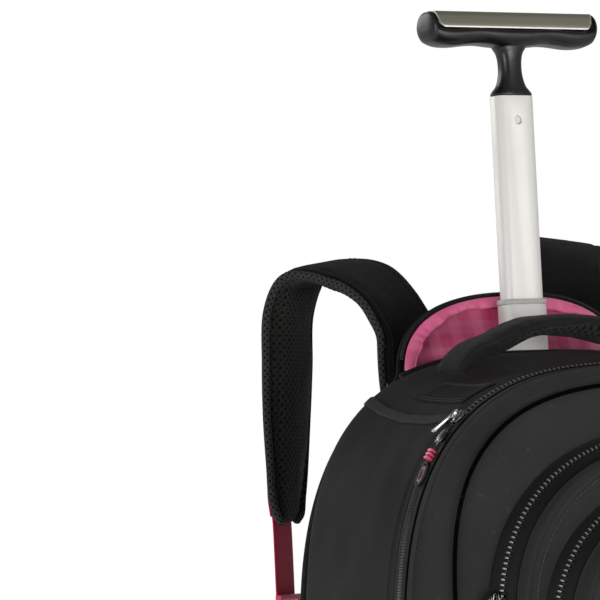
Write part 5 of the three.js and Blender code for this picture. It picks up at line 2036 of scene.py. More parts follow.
def bag_points(piece: bpy.types.Object) -> np.ndarray:
    """A piece's vertices in the bag's frame, in millimetres."""
    flat = np.zeros(len(piece.data.vertices) * 3)
    piece.data.vertices.foreach_get("co", flat)
    return BAG.lift_out(flat.reshape(-1, 3))


def set_points(piece: bpy.types.Object, points: np.ndarray) -> None:
    """Moves a piece's vertices to points in the bag's frame."""
    piece.data.vertices.foreach_set("co", BAG.place(points).ravel())
    piece.data.update()


def store_uv(piece: bpy.types.Object, uv: np.ndarray) -> None:
    """Writes one surface coordinate pair per vertex, in metres."""
    mesh = piece.data
    layer = mesh.uv_layers.get("cloth") or mesh.uv_layers.new(name="cloth")
    index = np.zeros(len(mesh.loops), int)
    mesh.loops.foreach_get("vertex_index", index)
    layer.data.foreach_set("uv", np.asarray(uv, np.float32)[index].ravel())


def paint_faces(
    piece: bpy.types.Object, materials: Sequence[bpy.types.Material], choice: np.ndarray,
) -> None:
    """Gives each face one of several materials.

    Args:
        piece: the mesh object.
        materials: its materials in order.
        choice: number of the material for each face.
    """
    piece.data.materials.clear()
    for material in materials:
        piece.data.materials.append(material)
    piece.data.polygons.foreach_set("material_index", choice.astype(np.int32))
    piece.data.update()


def face_middles(piece: bpy.types.Object) -> np.ndarray:
    """Middle of each face in the bag's frame."""
    flat = np.zeros(len(piece.data.polygons) * 3)
    piece.data.polygons.foreach_get("center", flat)
    return BAG.lift_out(flat.reshape(-1, 3))


def inflate(
    piece: bpy.types.Object, voxel: float, cap: float, pressure: float = 4.0, frames: int = 20,
) -> None:
    """Swells a padded piece with a cloth simulation and applies the result.

    Args:
        piece: a closed mesh that is a little slimmer than the real pad.
        voxel: size of the new mesh's faces, in millimetres.
        cap: how far a point may move, in millimetres.
        pressure: pressure inside the cloth.
        frames: number of frames that are stepped.
    """
    remesh = piece.modifiers.new("even", "REMESH")
    remesh.mode = "VOXEL"
    remesh.voxel_size = voxel * MM
    remesh.use_smooth_shade = True
    apply_modifiers(piece)
    start = np.zeros(len(piece.data.vertices) * 3)
    piece.data.vertices.foreach_get("co", start)
    start = start.reshape(-1, 3)
    cloth = piece.modifiers.new("cloth", "CLOTH")
    cloth.settings.use_pressure = True
    cloth.settings.uniform_pressure_force = pressure
    cloth.settings.effector_weights.gravity = 0
    cloth.settings.tension_stiffness = 25
    cloth.settings.compression_stiffness = 25
    cloth.settings.bending_stiffness = 1.5
    cloth.settings.quality = 4
    scene = bpy.context.scene
    for frame in range(1, frames + 1):
        scene.frame_set(frame)
    apply_modifiers(piece)
    scene.frame_set(1)
    end = np.zeros(len(piece.data.vertices) * 3)
    piece.data.vertices.foreach_get("co", end)
    move = end.reshape(-1, 3) - start
    size = np.linalg.norm(move, axis=1, keepdims=True)
    limit = cap * MM
    move *= limit * np.tanh(size / limit) / np.maximum(size, 1e-9)
    piece.data.vertices.foreach_set("co", (start + move).ravel())
    piece.data.update()
    piece.data.polygons.foreach_set("use_smooth", [True] * len(piece.data.polygons))
    subdivided(piece)


# Straps and handle


@dataclass
class ShoulderStrap:
    """One padded shoulder strap with its webbing above the buckle and down to the lower tab."""

    wardrobe: Wardrobe
    label: str
    side: float
    rise: float = 0.0
    spread: float = 0.0
    full_width: float = 64.0
    full_thick: float = 13.0
    seat: float = 44.8
    steps: int = 150
    webbing_width: float = 25.0
    webbing_thick: float = 1.6
    lap_from: int = 11
    buckle_drop: float = 60.0
    reach: float = 107.0
    climb: float = 450.0
    stations: tuple = (
        (0.542, -0.027, 0.880, 0, 0, 0.9, 0.55),
        (0.523, 0.0, 0.944, 0, 0, 1, 0.8),
        (0.505, 0.140, 1.007, 22, 5, 1, 1),
        (0.531, 0.243, 1.048, 30, 9, 1, 1),
        (0.575, 0.364, 1.085, 34, 12, 1, 1),
        (0.643, 0.533, 1.116, 35, 15, 1, 1),
        (0.740, 0.720, 1.130, 35, 10, 1, 1),
        (0.850, 0.888, 1.121, 35, 4, 1, 1),
        (0.915, 0.981, 1.070, 35, 0, 1, 1),
        (0.930, 1.0, 0.995, 35, 0, 1, 1),
        (0.951, 1.0, 0.920, 35, 0, 0.93, 1),
        (0.965, 1.0, 0.847, 35, 0, 0.8, 1),
        (0.981, 0.991, 0.804, 35, 0, 0.7, 0.95),
        (0.981, 0.981, 0.776, 35, 0, 0.56, 0.85),
        (0.981, 0.981, 0.762, 35, 0, 0.3, 0.6),
    )

    def rows(self) -> np.ndarray:
        """Stations in millimetres.

        Returns:
            Rows of place, direction across, width and thickness.
        """
        result = []
        for i, (across, back, height, turn, tilt, width, thick) in enumerate(self.stations):
            turn, tilt = math.radians(turn), math.radians(tilt)
            result.append([
                self.side * (across * self.reach + self.spread * min(i / 6, 1)),
                self.seat + back * self.reach,
                height * self.climb + self.rise * min(i / 3, 1),
                -self.side * math.cos(turn) * math.cos(tilt), math.sin(turn) * math.cos(tilt), math.sin(
                    tilt
                ),
                width * self.full_width, thick * self.full_thick,
            ])
        return np.array(result)

    def sweep(self, slimmer: float = 0.0) -> Sweep:
        """The strap's sweep.

        Args:
            slimmer: how much thinner and narrower than the finished strap.

        Returns:
            Sweep in the bag's frame.
        """
        rows = smooth_rows(self.rows(), self.steps)
        return Sweep(
            rows[:, :3], unit(rows[:, 3:6]), rows[:, 6] - slimmer, rows[:, 7] - slimmer, flip=-self.side,
        )

    def pad(self) -> bpy.types.Object:
        """Makes the foam pad: cloth outside, spacer mesh inside.

        Returns:
            The finished pad.
        """
        sweep = self.sweep(slimmer=2.6)
        cloth = self.wardrobe.get(STRAP_CLOTH)
        piece = sweep.surface(f"strap_pad_{self.label}", 40, 3.2, cloth)
        inflate(piece, voxel=4.0, cap=5.0)
        points = bag_points(piece)
        place = sweep.coordinates(points)
        wave = noise(points, 42, seed=21) * 0.35
        _, _, outer = sweep.frames()
        near = np.clip(np.searchsorted(sweep.lengths(), place[:, 1]), 0, len(sweep.path) - 1)
        half = sweep.width[near] / 2
        channel = np.exp(-((np.abs(place[:, 0]) - half * 0.72) / 1.3) ** 2)
        groove = np.where(place[:, 2] > 0, 0.7, 1.1)
        pull = -channel * groove * np.sign(place[:, 2]) + wave
        points = points + outer[near] * pull[:, None]
        set_points(piece, points)
        store_uv(piece, place[:, :2] * MM)
        middles = sweep.coordinates(face_middles(piece))
        near = np.clip(np.searchsorted(sweep.lengths(), middles[:, 1]), 0, len(sweep.path) - 1)
        inside = middles[:, 2] < self.full_thick * 0.12
        paint_faces(piece, [cloth, self.wardrobe.get(STRAP_MESH)], inside.astype(int))
        settle(piece, "base", "padding", f"shoulder_strap_{self.label}")
        return piece

    def edging(self, pad: "Ground") -> None:
        """Binds both edges with tape and sews it down.

        Args:
            pad: the finished pad's surface.
        """
        sweep = self.sweep(slimmer=0.4)
        tape = self.wardrobe.get(EDGE_MESH)
        pieces = []
        for side in (-1, 1):
            row = sweep.edge_row(side * 0.955, first=3, last=-2)
            tube = tube_along("edge", row, 2.3, 12, tape, squash=1.25)
            pieces.append(tube)
            line = sweep.edge_row(side * 0.79, first=4, last=-4)
            for face in (1, -1):
                sewn = pad.row(Row(line.points, line.along, line.out * face), lift=0.05)
                pieces.append(stitches(sewn, self.wardrobe.get(DARK_THREAD), 2.6, 1.2, 0.5))
        settle(joined(f"strap_edging_{self.label}", pieces), "base", "padding")

    def webbing_line(self) -> tuple:
        """Places of the webbing and the buckle.

        Returns:
            The lap sewn on the pad, the buckle, and the directions across and outwards.
        """
        rows = self.rows()
        wide = unit(rows[-1, 3:6])
        outwards = np.cross(wide, np.array([0, 0, self.side]))
        lap = []
        for row in rows[self.lap_from:]:
            place = row[:3] + outwards * ((row[7] + self.webbing_thick) / 2 + 0.6)
            lap.append(place)
        tip = rows[-1, :3] + outwards * ((rows[-1, 7] + self.webbing_thick) / 2 + 0.6)
        buckle = tip - np.array([0, 0, self.buckle_drop])
        return np.array(lap), buckle, wide, outwards

    def ribbon(self, name: str, line: np.ndarray, wide: np.ndarray, finish: Finish) -> bpy.types.Object:
        """A flat webbing along a line.

        Args:
            name: piece name.
            line: points it passes through.
            wide: direction across it, one per point or one for all.
            finish: its finish.

        Returns:
            Mesh object.
        """
        count = max(int(line_length(line) / 3), 12)
        wides = np.tile(wide, (len(line), 1)) if wide.ndim == 1 else wide
        rows = smooth_rows(np.hstack([line, wides]), count)
        sweep = Sweep(
            rows[:, :3], unit(rows[:, 3:6]), np.full(count, self.webbing_width), np.full(
                count, self.webbing_thick,
            ),
            flip=-self.side,
        )
        return sweep.surface(name, 16, 6.0, self.wardrobe.get(finish))

    def straps(self) -> None:
        """Makes the webbing above and below the buckle."""
        lap, buckle, wide, _ = self.webbing_line()
        buckle_top = buckle[2] + 13.5
        end = np.array([buckle[0], buckle[1], buckle_top - 6])
        upper = self.ribbon(f"webbing_upper_{self.label}", np.vstack([lap, end]), wide, CRIMSON_WEBBING)
        settle(upper, "base", "webbing", f"strap_webbing_{self.label}")
        tab = np.array([self.side * 136.0, 38.3 + 1.6, 84.0])
        slot = np.array([buckle[0], buckle[1], buckle_top - 27 + 6])
        seat = tab[1] + 0.3 + self.webbing_thick / 2
        line = np.array([
            slot,
            [slot[0] + self.side * 2, slot[1] + 1, slot[2] - 38],
            [slot[0] + self.side * 4, slot[1] - 16, slot[2] - 96],
            [(slot[0] + tab[0]) / 2, slot[1] - 62, slot[2] - 138],
            [tab[0], tab[1] + 12, tab[2] + 36],
            [tab[0], seat + 1, tab[2] + 20],
            [tab[0], seat, tab[2] + 6],
        ])
        shares = np.clip(np.linspace(0, 1, len(line)) / 0.7, 0, 1)[:, None]
        wides = wide * (1 - shares) + np.array([-self.side, 0, 0]) * shares
        lower = self.ribbon(f"webbing_lower_{self.label}", line, wides, CRIMSON_WEBBING)
        settle(lower, "base", "webbing", f"adjuster_webbing_{self.label}")

    def build(self) -> None:
        """Makes the whole strap."""
        self.edging(Ground(self.pad()))
        self.straps()


@dataclass
class GrabHandle:
    """Padded carrying handle on the top of the bag."""

    wardrobe: Wardrobe
    half_length: float = 88.0
    rise: float = 31.0
    depth: float = 37.0
    thick: float = 14.0
    place: float = 44.0
    foot: float = 430.0
    end_tilt: float = 10.0
    steps: int = 110
    stations: tuple = (
        (-1, 0, 0.62), (-0.86, 0.38, 0.86), (-0.68, 0.58, 0.98), (-0.36, 0.94, 1), (0, 0.98, 1),
        (0.36, 0.76, 1), (0.68, 0.44, 0.92), (0.84, 0.3, 0.72), (1, 0, 0.5),
    )

    def sweep(self, slimmer: float = 0.0) -> Sweep:
        """The handle's sweep.

        Args:
            slimmer: how much thinner and narrower than the finished handle.

        Returns:
            Sweep in the bag frame.
        """
        rows = np.array([
            [self.half_length * a, -self.place, self.foot + self.rise * r, self.thick * t]
            for a, r, t in self.stations
        ])
        rows = smooth_rows(rows, self.steps)
        tilt = np.radians(self.end_tilt) * np.abs(np.linspace(-1, 1, self.steps))
        wide = np.stack([np.zeros(self.steps), np.cos(tilt), np.sin(tilt)], axis=-1)
        width = np.full(self.steps, self.depth - slimmer)
        return Sweep(rows[:, :3], wide, width, rows[:, 3] - slimmer, flip=-1.0)

    def build(self) -> None:
        """Makes the pad, its mesh underside and the stitched edges."""
        sweep = self.sweep(slimmer=2.4)
        cloth = self.wardrobe.get(HANDLE_CLOTH)
        piece = sweep.surface("handle_pad", 36, 3.0, cloth)
        inflate(piece, voxel=3.5, cap=4.0)
        points = bag_points(piece)
        place = sweep.coordinates(points)
        wave = noise(points, 30, seed=33) * 0.35
        outer = sweep.frames()[2]
        near = np.clip(np.searchsorted(sweep.lengths(), place[:, 1]), 0, len(sweep.path) - 1)
        channel = np.exp(-((np.abs(place[:, 0]) - self.depth * 0.36) / 1.2) ** 2) * 0.7
        points = points + outer[near] * (wave - channel * np.sign(place[:, 2]))[:, None]
        set_points(piece, points)
        store_uv(piece, place[:, :2] * MM)
        middles = sweep.coordinates(face_middles(piece))
        under = (middles[:, 2] < -1.0) & (np.abs(middles[:, 0]) < self.depth * 0.42)
        inner = np.abs(middles[:, 1] - sweep.lengths()[-1] / 2) < sweep.lengths()[-1] * 0.42
        paint_faces(piece, [cloth, self.wardrobe.get(STRAP_MESH)], (under & inner).astype(int))
        settle(piece, "base", "padding", "grab_handle")
        full = self.sweep(slimmer=0.6)
        lines = []
        for side in (-0.74, 0.74):
            line = Ground(piece).row(full.edge_row(side, first=6, last=-6), lift=0.05)
            lines.append(stitches(line, self.wardrobe.get(DARK_THREAD), 2.4, 1.2))
        settle(joined("handle_stitches", lines), "base", "padding")


# Hard pieces


def smooth_loop(corners: np.ndarray, count: int) -> np.ndarray:
    """Rounds a closed line of corner points with a Catmull-Rom curve.

    Args:
        corners: n by 2 array of corner points in order.
        count: number of points wanted.

    Returns:
        count by 2 array, spread evenly round the line.
    """
    corners = np.asarray(corners, float)
    padded = np.vstack([corners[-1:], corners, corners[:2]])
    places = np.linspace(0, len(corners), 12 * len(corners), endpoint=False)
    points = []
    for place in places:
        low = int(place)
        t = place - low
        a, b, c, d = padded[low:low + 4]
        points.append(0.5 * (
            2 * b + (c - a) * t + (2 * a - 5 * b + 4 * c - d) * t ** 2 + (3 * b - a - 3 * c + d) * t ** 3
        ))
    return resample(np.array(points), count, closed=True)


def closed_loft(name: str, rings: np.ndarray, material: bpy.types.Material) -> bpy.types.Object:
    """Joins equal rings of bag points to a closed solid.

    Args:
        name: piece name.
        rings: rings by points by 3 array in the bag's frame.
        material: its finish.

    Returns:
        Mesh object with a fan at each end.
    """
    rings = np.asarray(rings, float)
    rows, columns = rings.shape[:2]
    points = np.vstack([rings.reshape(-1, 3), rings[0].mean(axis=0)[None], rings[-1].mean(axis=0)[None]])
    faces = grid_faces(rows, columns, closed_columns=True)
    end = (rows - 1) * columns
    faces += [((i + 1) % columns, i, rows * columns) for i in range(columns)]
    faces += [(end + i, end + (i + 1) % columns, rows * columns + 1) for i in range(columns)]
    return face_outwards(make_object(name, BAG.place(points), faces, material))


def rounded_rectangle(width: float, depth: float, corner: float, steps: int = 7) -> np.ndarray:
    """Corner points of a rounded rectangle about the origin.

    Args:
        width: size along the first axis.
        depth: size along the second axis.
        corner: corner radius.
        steps: points per corner.

    Returns:
        4 * steps by 2 array, anticlockwise from the right side.
    """
    points = []
    for turn, (a, b) in enumerate(((1, 1), (-1, 1), (-1, -1), (1, -1))):
        angles = (turn + np.linspace(0, 1, steps)) * math.pi / 2
        points.append(np.stack([
            a * (width / 2 - corner) + corner * np.cos(angles),
            b * (depth / 2 - corner) + corner * np.sin(angles),
        ], axis=-1))
    return np.vstack(points)


def sharp_edges(piece: bpy.types.Object, angle: float = 35) -> bpy.types.Object:
    """Keeps edges over that many degrees sharp in the shading."""
    piece.data.polygons.foreach_set("use_smooth", [True] * len(piece.data.polygons))
    piece.data.set_sharp_from_angle(angle=math.radians(angle))
    return piece


def cut_away(piece: bpy.types.Object, cutter: bpy.types.Object) -> bpy.types.Object:
    """Cuts one mesh out of another and uses the cutter up.

    Args:
        piece: closed mesh that is kept.
        cutter: closed mesh that is taken away.

    Returns:
        The cut piece as plain mesh.
    """
    cut = piece.modifiers.new("cut", "BOOLEAN")
    cut.operation = "DIFFERENCE"
    cut.solver = "EXACT"
    cut.object = cutter
    apply_modifiers(piece)
    old = cutter.data
    bpy.data.objects.remove(cutter)
    bpy.data.meshes.remove(old)
    return piece


@dataclass(frozen=True)
class Laid:
    """A place on the bag with the directions along an edge and out of it."""

    point: np.ndarray
    along: np.ndarray
    out: np.ndarray

    @property
    def across(self) -> np.ndarray:
        """Direction across the edge."""
        return unit(np.cross(self.out, self.along))

    def to_bag(self, local: np.ndarray) -> np.ndarray:
        """Moves points given as along, across and out to the bag's frame."""
        local = np.asarray(local, float)
        return (
            self.point + local[..., :1] * self.along + local[..., 1:2] * self.across + local[
                ..., 2:3,
            ] * self.out
        )


def slab(
    name: str,
    place: Laid,
    outline: np.ndarray,
    low: float,
    high: float,
    material: bpy.types.Material,
    bevel: float = 0.4,
) -> bpy.types.Object:
    """A rounded flat piece laid at a place.

    Args:
        name: piece name.
        place: where it lies.
        outline: n by 2 array of points along and across.
        low: height of its underside above the place.
        high: height of its top.
        material: its finish.
        bevel: rounding of its edges in millimetres.

    Returns:
        Closed mesh object.
    """
    rings = [
        place.to_bag(np.column_stack([outline, np.full(len(outline), height)])) for height in (low, high)
    ]
    piece = closed_loft(name, np.array(rings), material)
    if bevel:
        bevelled(piece, bevel, segments=3)
    return sharp_edges(piece, 40)


def bag_upright(x: float, y: float, z: float) -> Laid:
    """A place whose along runs across the bag and whose out points up it."""
    return Laid(np.array([x, y, z], float), np.array([1.0, 0, 0]), np.array([0, 0, 1.0]))


@dataclass
class Mast:
    """The telescopic pull-out mast: three tubes, a collar, the bracket and the socket."""

    wardrobe: Wardrobe
    place: float = 13.0
    foot: float = 6.0
    outer_top: float = 476.0
    middle_top: float = 610.3
    middle_length: float = 330.0
    inner_length: float = 300.0
    wall: float = 1.2
    hole: float = 5.4
    hole_drop: float = 16.0
    collar_height: float = 3.0

    def tube(
        self, label: str, width: float, depth: float, corner: float, low: float, high: float,
    ) -> bpy.types.Object:
        """One hollow tube of the mast.

        Args:
            label: piece name.
            width: outer width across the bag.
            depth: outer depth.
            corner: outer corner radius.
            low: height of its foot.
            high: height of its top.

        Returns:
            Closed mesh object.
        """
        outer = rounded_rectangle(width, depth, corner)
        inner = rounded_rectangle(width - 2 * self.wall, depth - 2 * self.wall, corner - self.wall)
        place = bag_upright(0, self.place, 0)
        loops = [
            (outer, low), (outer, high - 0.4), (outer * 0.985, high), (inner * 1.01, high), (inner, low),
        ]
        rings = np.array(
            [place.to_bag(np.column_stack([loop, np.full(len(loop), z)])) for loop, z in loops]
        )
        count = len(outer)
        faces = grid_faces(len(rings), count, closed_rows=True, closed_columns=True)
        piece = make_object(
            label, BAG.place(rings.reshape(-1, 3)), faces, self.wardrobe.get(MAST_ALUMINIUM),
        )
        return face_outwards(piece)

    def drilled(self, piece: bpy.types.Object, high: float) -> bpy.types.Object:
        """Drills the lock hole through the front wall.

        Args:
            piece: the tube.
            high: height of the tube's top.

        Returns:
            The drilled tube.
        """
        spot = Laid(np.array([0, self.place - 2, high - self.hole_drop]), np.array([1.0, 0, 0]), np.array([0, -1.0, 0]))
        angles = np.linspace(0, 2 * math.pi, 40, endpoint=False)
        ring = np.stack([np.cos(angles), np.sin(angles)], axis=-1) * self.hole / 2
        rings = [spot.to_bag(np.column_stack([ring, np.full(40, height)])) for height in (2.0, 12.0)]
        cutter = closed_loft("hole_cutter", np.array(rings), self.wardrobe.get(MAST_ALUMINIUM))
        return cut_away(piece, cutter)

    def rim(self, name: str, high: float, offset: float) -> bpy.types.Object:
        """Makes a thin pressed rim round the lock hole.

        Args:
            name: the rim's name.
            high: height of the tube's top.
            offset: how far the face lies from the axis.

        Returns:
            The rim.
        """
        angles = np.linspace(0, 2 * math.pi, 48, endpoint=False)
        centre = np.array([0, self.place - offset, high - self.hole_drop])
        radius = self.hole / 2 + 0.25
        points = centre + np.stack(
            [np.cos(angles) * radius, np.zeros(48), np.sin(angles) * radius], axis=-1,
        )
        row = row_on(np.vstack([points, points[:1]]), np.tile([0, -1.0, 0], (49, 1)))
        return tube_along(name, row, 0.28, 8, self.wardrobe.get(MAST_ALUMINIUM))

    def build(self) -> None:
        """Makes every piece of the mast."""
        outer = self.tube("mast_stage_outer", 31.5, 18.0, 7.0, self.foot, self.outer_top)
        sharp_edges(self.drilled(outer, self.outer_top))
        settle(outer, "base", "mast_metal", "mast_outer_tube")
        middle_low = self.middle_top - self.middle_length
        middle = self.tube("mast_stage_middle", 28.0, 14.8, 5.8, middle_low, self.middle_top)
        middle = sharp_edges(self.drilled(middle, self.middle_top))
        middle = joined("mast_stage_middle", [middle, self.rim("hole_rim", self.middle_top, 7.4)])
        settle(middle, "mast_middle", "mast_metal", "mast_middle_tube")
        inner = self.tube(
            "mast_stage_inner", 24.8, 11.6, 4.4, self.middle_top - self.inner_length, self.middle_top,
        )
        settle(sharp_edges(inner), "t_handle", "mast_metal", "mast_inner_tube")
        self.collar()
        for node, name in (("mast_bracket", "mast_wall_bracket"), ("mast_socket", "mast_foot_socket")):
            piece = copy_of_node(node, name, self.wardrobe.get(BASE_PLASTIC))
            sharp_edges(bevelled(piece, 0.7, segments=3, angle=50), 40)
            settle(piece, "base", "base_plastic", node)

    def collar(self) -> None:
        """Makes the thin ring on the top of the outer tube."""
        place = bag_upright(0, self.place, 0)
        low, high = self.outer_top + 0.3, self.outer_top + 0.3 + self.collar_height
        outer = rounded_rectangle(32.5, 19.0, 7.5)
        inner = rounded_rectangle(28.6, 15.4, 6.1)
        loops = [
            (outer, low), (outer, high - 0.8), (outer * 0.99, high - 0.25), (outer * 0.965, high),
            (inner * 1.01, high), (inner, high - 0.4), (inner, low),
        ]
        rings = np.array(
            [place.to_bag(np.column_stack([loop, np.full(len(loop), z)])) for loop, z in loops]
        )
        faces = grid_faces(len(rings), len(outer), closed_rows=True, closed_columns=True)
        piece = make_object(
            "mast_ring", BAG.place(rings.reshape(-1, 3)), faces, self.wardrobe.get(COLLAR_PLASTIC),
        )
        settle(sharp_edges(face_outwards(piece), 50), "base", "collar", "mast_collar")


@dataclass
class THandle:
    """The grip at the top of the mast, with its neck, metal plate and release button."""

    wardrobe: Wardrobe
    place: float = 13.0
    crest: float = 664.1
    length: float = 124.0
    depth: float = 26.0
    height: float = 22.5
    neck_height: float = 31.0
    neck_width: float = 15.0
    plate_length: float = 117.0
    plate_thick: float = 1.4
    plate_fall: float = 0.5
    plate_slant: float = 3.0
    plate_corner: float = 2.6
    button_length: float = 22.0
    button_depth: float = 9.0
    button_travel: float = 3.0
    button_seat: float = 7.0
    gap: float = 0.3
    full_section: tuple = (
        (0.15, 0), (0.3, 0), (0.6, 0.06), (0.88, 0.24), (1, 0.5), (0.9, 0.76), (0.62, 0.94), (0.28, 1),
    )
    seat_section: tuple = (
        (0.15, 0), (0.3, 0), (0.48, 0.02), (0.62, 0.1), (0.73, 0.28), (0.81, 0.46), (0.95, 0.54), (1, 0.6),
        (0.92, 0.79), (0.64, 0.95), (0.28, 1),
    )
    ends: tuple = (
        (1.0, 0.24, 0.36, 0.56), (0.998, 0.46, 0.26, 0.63), (0.993, 0.66, 0.16, 0.7), (
            0.984, 0.84, 0.08, 0.77,
        ),
        (0.972, 0.95, 0.03, 0.82), (0.963, 0.99, 0, 0.85),
    )
    wave: tuple = (
        (0.949, 0.88), (0.91, 0.93), (0.85, 0.98), (0.76, 1), (0.67, 0.99), (0.56, 0.955), (0.46, 0.93),
        (0.38, 0.925), (0.3, 0.94), (0.24, 0.96), (0.12, 0.98), (0, 0.98),
    )
    neck: tuple = (
        (-0.25, 1.5, 1.05), (-0.02, 1.5, 1.05), (0.12, 1.16, 0.95), (0.3, 1.0, 0.9), (0.55, 1.02, 0.9),
        (0.78, 1.3, 0.94), (0.9, 1.72, 0.98), (0.96, 1.92, 1), (1, 1.95, 1),
    )

    def at(self, points: np.ndarray) -> np.ndarray:
        """Moves points measured from the handle's crest to the bag's frame."""
        return np.asarray(points, float) + np.array([0, self.place, self.crest])

    def section(self, x: float, rows: tuple, width: float, drop: float, low: float) -> np.ndarray:
        """One section across the grip.

        Args:
            x: place along the grip.
            rows: table of out and down shares.
            width: share of the full depth.
            drop: height of its top below the crest, in millimetres.
            low: height of its underside below the crest.

        Returns:
            Ring of points measured from the crest.
        """
        side = np.array(
            [[self.depth / 2 * out * width, -(drop + (low - drop) * down)] for out, down in rows]
        )
        loop = smooth_loop(np.vstack([side, side[::-1] * [-1, 1]]), 60)
        start = np.argmin(np.abs(loop[:, 0]) + (loop[:, 1] < loop[:, 1].mean()) * 100)
        loop = np.roll(loop, -start, axis=0)
        return np.column_stack([np.full(len(loop), x), loop])

    def grip(self) -> None:
        """Makes the grip and neck in one, with the well for the button."""
        half = self.length / 2
        skin = self.plate_thick + self.gap
        ends = smooth_rows(self.ends, 16)
        rings = [self.section(half * a, self.full_section, w, d * self.height, l * self.height) for a, w, d, l in ends]
        edge = self.plate_length / 2
        low = self.height * self.wave[0][1]
        rings.append(self.section(edge + 2 * self.gap, self.full_section, 1, 0, low))
        rings.append(self.section(edge + self.gap, self.seat_section, 1, skin, low))
        for a, low in smooth_rows(self.wave[1:], 26):
            rings.append(self.section(half * a, self.seat_section, 1, skin, low * self.height))
        right = np.array(rings)
        left = right[:-1][::-1] * np.array([-1, 1, 1])
        material = self.wardrobe.get(GRIP_PLASTIC)
        bar = closed_loft("grip_bar", self.at(np.vstack([right, left])), material)
        neck_rings = []
        angles = np.linspace(0, 2 * math.pi, 48, endpoint=False)
        for down, width, depth in smooth_rows(self.neck, 40):
            a = np.sign(np.cos(angles)) * np.abs(np.cos(angles)) ** (2 / 2.6)
            b = np.sign(np.sin(angles)) * np.abs(np.sin(angles)) ** (2 / 2.6)
            neck_rings.append(np.column_stack([
                a * self.neck_width * width / 2, b * self.neck_width * depth / 2,
                np.full(48, -self.height - self.neck_height * down),
            ]))
        stem = closed_loft("grip_stem", self.at(np.array(neck_rings)), material)
        piece = joined("t_grip", [bar, stem])
        remesh = piece.modifiers.new("weld", "REMESH")
        remesh.mode = "VOXEL"
        remesh.voxel_size = 0.62 * MM
        soften = piece.modifiers.new("soften", "SMOOTH")
        soften.factor = 0.5
        soften.iterations = 5
        apply_modifiers(piece)
        well = self.block(
            "well", self.button_length + 2 * self.gap, self.button_depth + 2 * self.gap, -self.button_seat, 1.0,
        )
        cut_away(piece, well)
        piece.data.materials.clear()
        piece.data.materials.append(material)
        settle(sharp_edges(piece, 60), "t_handle", "handle_plastic", "t_handle_grip")

    def block(self, name: str, length: float, depth: float, low: float, high: float) -> bpy.types.Object:
        """A block about the handle's middle, its heights measured from the crest."""
        place = bag_upright(0, self.place, self.crest)
        outline = rounded_rectangle(length, depth, 1.2, steps=5)
        return slab(name, place, outline, low, high, self.wardrobe.get(GRIP_PLASTIC), bevel=0)

    def plate(self) -> None:
        """Makes the bent metal plate with its slanted ends, with its edges in a paler finish as a painted highlight."""
        fall = self.height * self.plate_fall
        profile = np.array([
            (0.0, 0.0), (0.3, 0.004), (0.5, 0.016), (0.6, 0.03), (0.68, 0.1), (0.78, 0.35), (0.9, 0.72),
            (0.958, 0.91), (0.95, 1.0),
        ])
        outer = profile * [self.depth / 2, -fall]
        normals = unit(np.gradient(outer, axis=0))
        inner = outer + np.column_stack([normals[:, 1], -normals[:, 0]]) * self.plate_thick * 0.95
        loop = np.vstack([outer[::-1], outer[1:] * [-1, 1], (inner * [-1, 1])[:0:-1], inner])
        rings = []
        reach = self.plate_reach(-loop[:, 1] / fall)
        for share in np.linspace(-1, 1, 42):
            rings.append(np.column_stack([share * reach, loop]))
        rings = np.array(rings)
        count = len(loop)
        faces = grid_faces(len(rings), count, closed_columns=True)
        faces += [tuple(range(count))[::-1], tuple(range((len(rings) - 1) * count, len(rings) * count))]
        piece = make_object(
            "t_plate", BAG.place(self.at(rings.reshape(-1, 3))), faces, self.wardrobe.get(HANDLE_STEEL),
        )
        face_outwards(piece)
        window = self.block(
            "window", self.button_length + 2 * self.gap, self.button_depth + 2 * self.gap, -self.button_seat, 1.0,
        )
        cut_away(piece, window)
        piece.data.materials.clear()
        piece.data.materials.append(self.wardrobe.get(HANDLE_STEEL))
        bevelled(piece, 0.35, segments=3, angle=50)
        local = face_middles(piece) - np.array([0, self.place, self.crest])
        down = -local[:, 2] / fall
        # The lower rim and the ends get the paler finish: a painted highlight along the plate's edges.
        rim = (down > 0.9) | (np.abs(local[:, 0]) > self.plate_reach(down) - 0.8)
        paint_faces(
            piece, [self.wardrobe.get(HANDLE_STEEL), self.wardrobe.get(PLATE_EDGE_HIGHLIGHT)], rim.astype(int),
        )
        settle(sharp_edges(piece, 50), "t_handle", "handle_plate", "t_handle_plate")

    def plate_reach(self, down: np.ndarray) -> np.ndarray:
        """Half length of the plate at a share of its fall, shorter and rounded at the foot."""
        down = np.clip(down, 0, 1)
        corner = np.clip((down - 0.6) / 0.4, 0, 1) ** 2.5
        return self.plate_length / 2 - down * self.plate_slant - corner * self.plate_corner

    def button(self) -> None:
        """Makes the release button."""
        piece = self.block(
            "t_button", self.button_length, self.button_depth,
            -self.button_seat + self.button_travel + self.gap, -0.5,
        )
        bevelled(piece, 0.8, segments=4, angle=50)
        settle(sharp_edges(piece, 60), "release_button", "handle_plastic", "release_button")

    def build(self) -> None:
        """Makes the whole handle."""
        self.grip()
        self.plate()
        self.button()


# Pieces laid on others


def edge_place(station: Station, degrees: float) -> Laid:
    """A place on an arched outline.

    Args:
        station: the outline.
        degrees: angle from the right springing over the top to the left one.

    Returns:
        The place with its directions along the outline and out of it.
    """
    def at(turn: float) -> np.ndarray:
        """Place on the outline at a turn in degrees."""
        c, s = math.cos(math.radians(turn)), math.sin(math.radians(turn))
        x = math.copysign(abs(c) ** (2 / station.power), c)
        z = station.top - station.arch + station.arch * s ** (2 / station.power)
        return np.array([station.half_width * x, station.depth, z])

    along = unit(at(degrees + 0.5) - at(degrees - 0.5))
    return Laid(at(degrees), along, np.array([along[2], 0.0, -along[0]]))


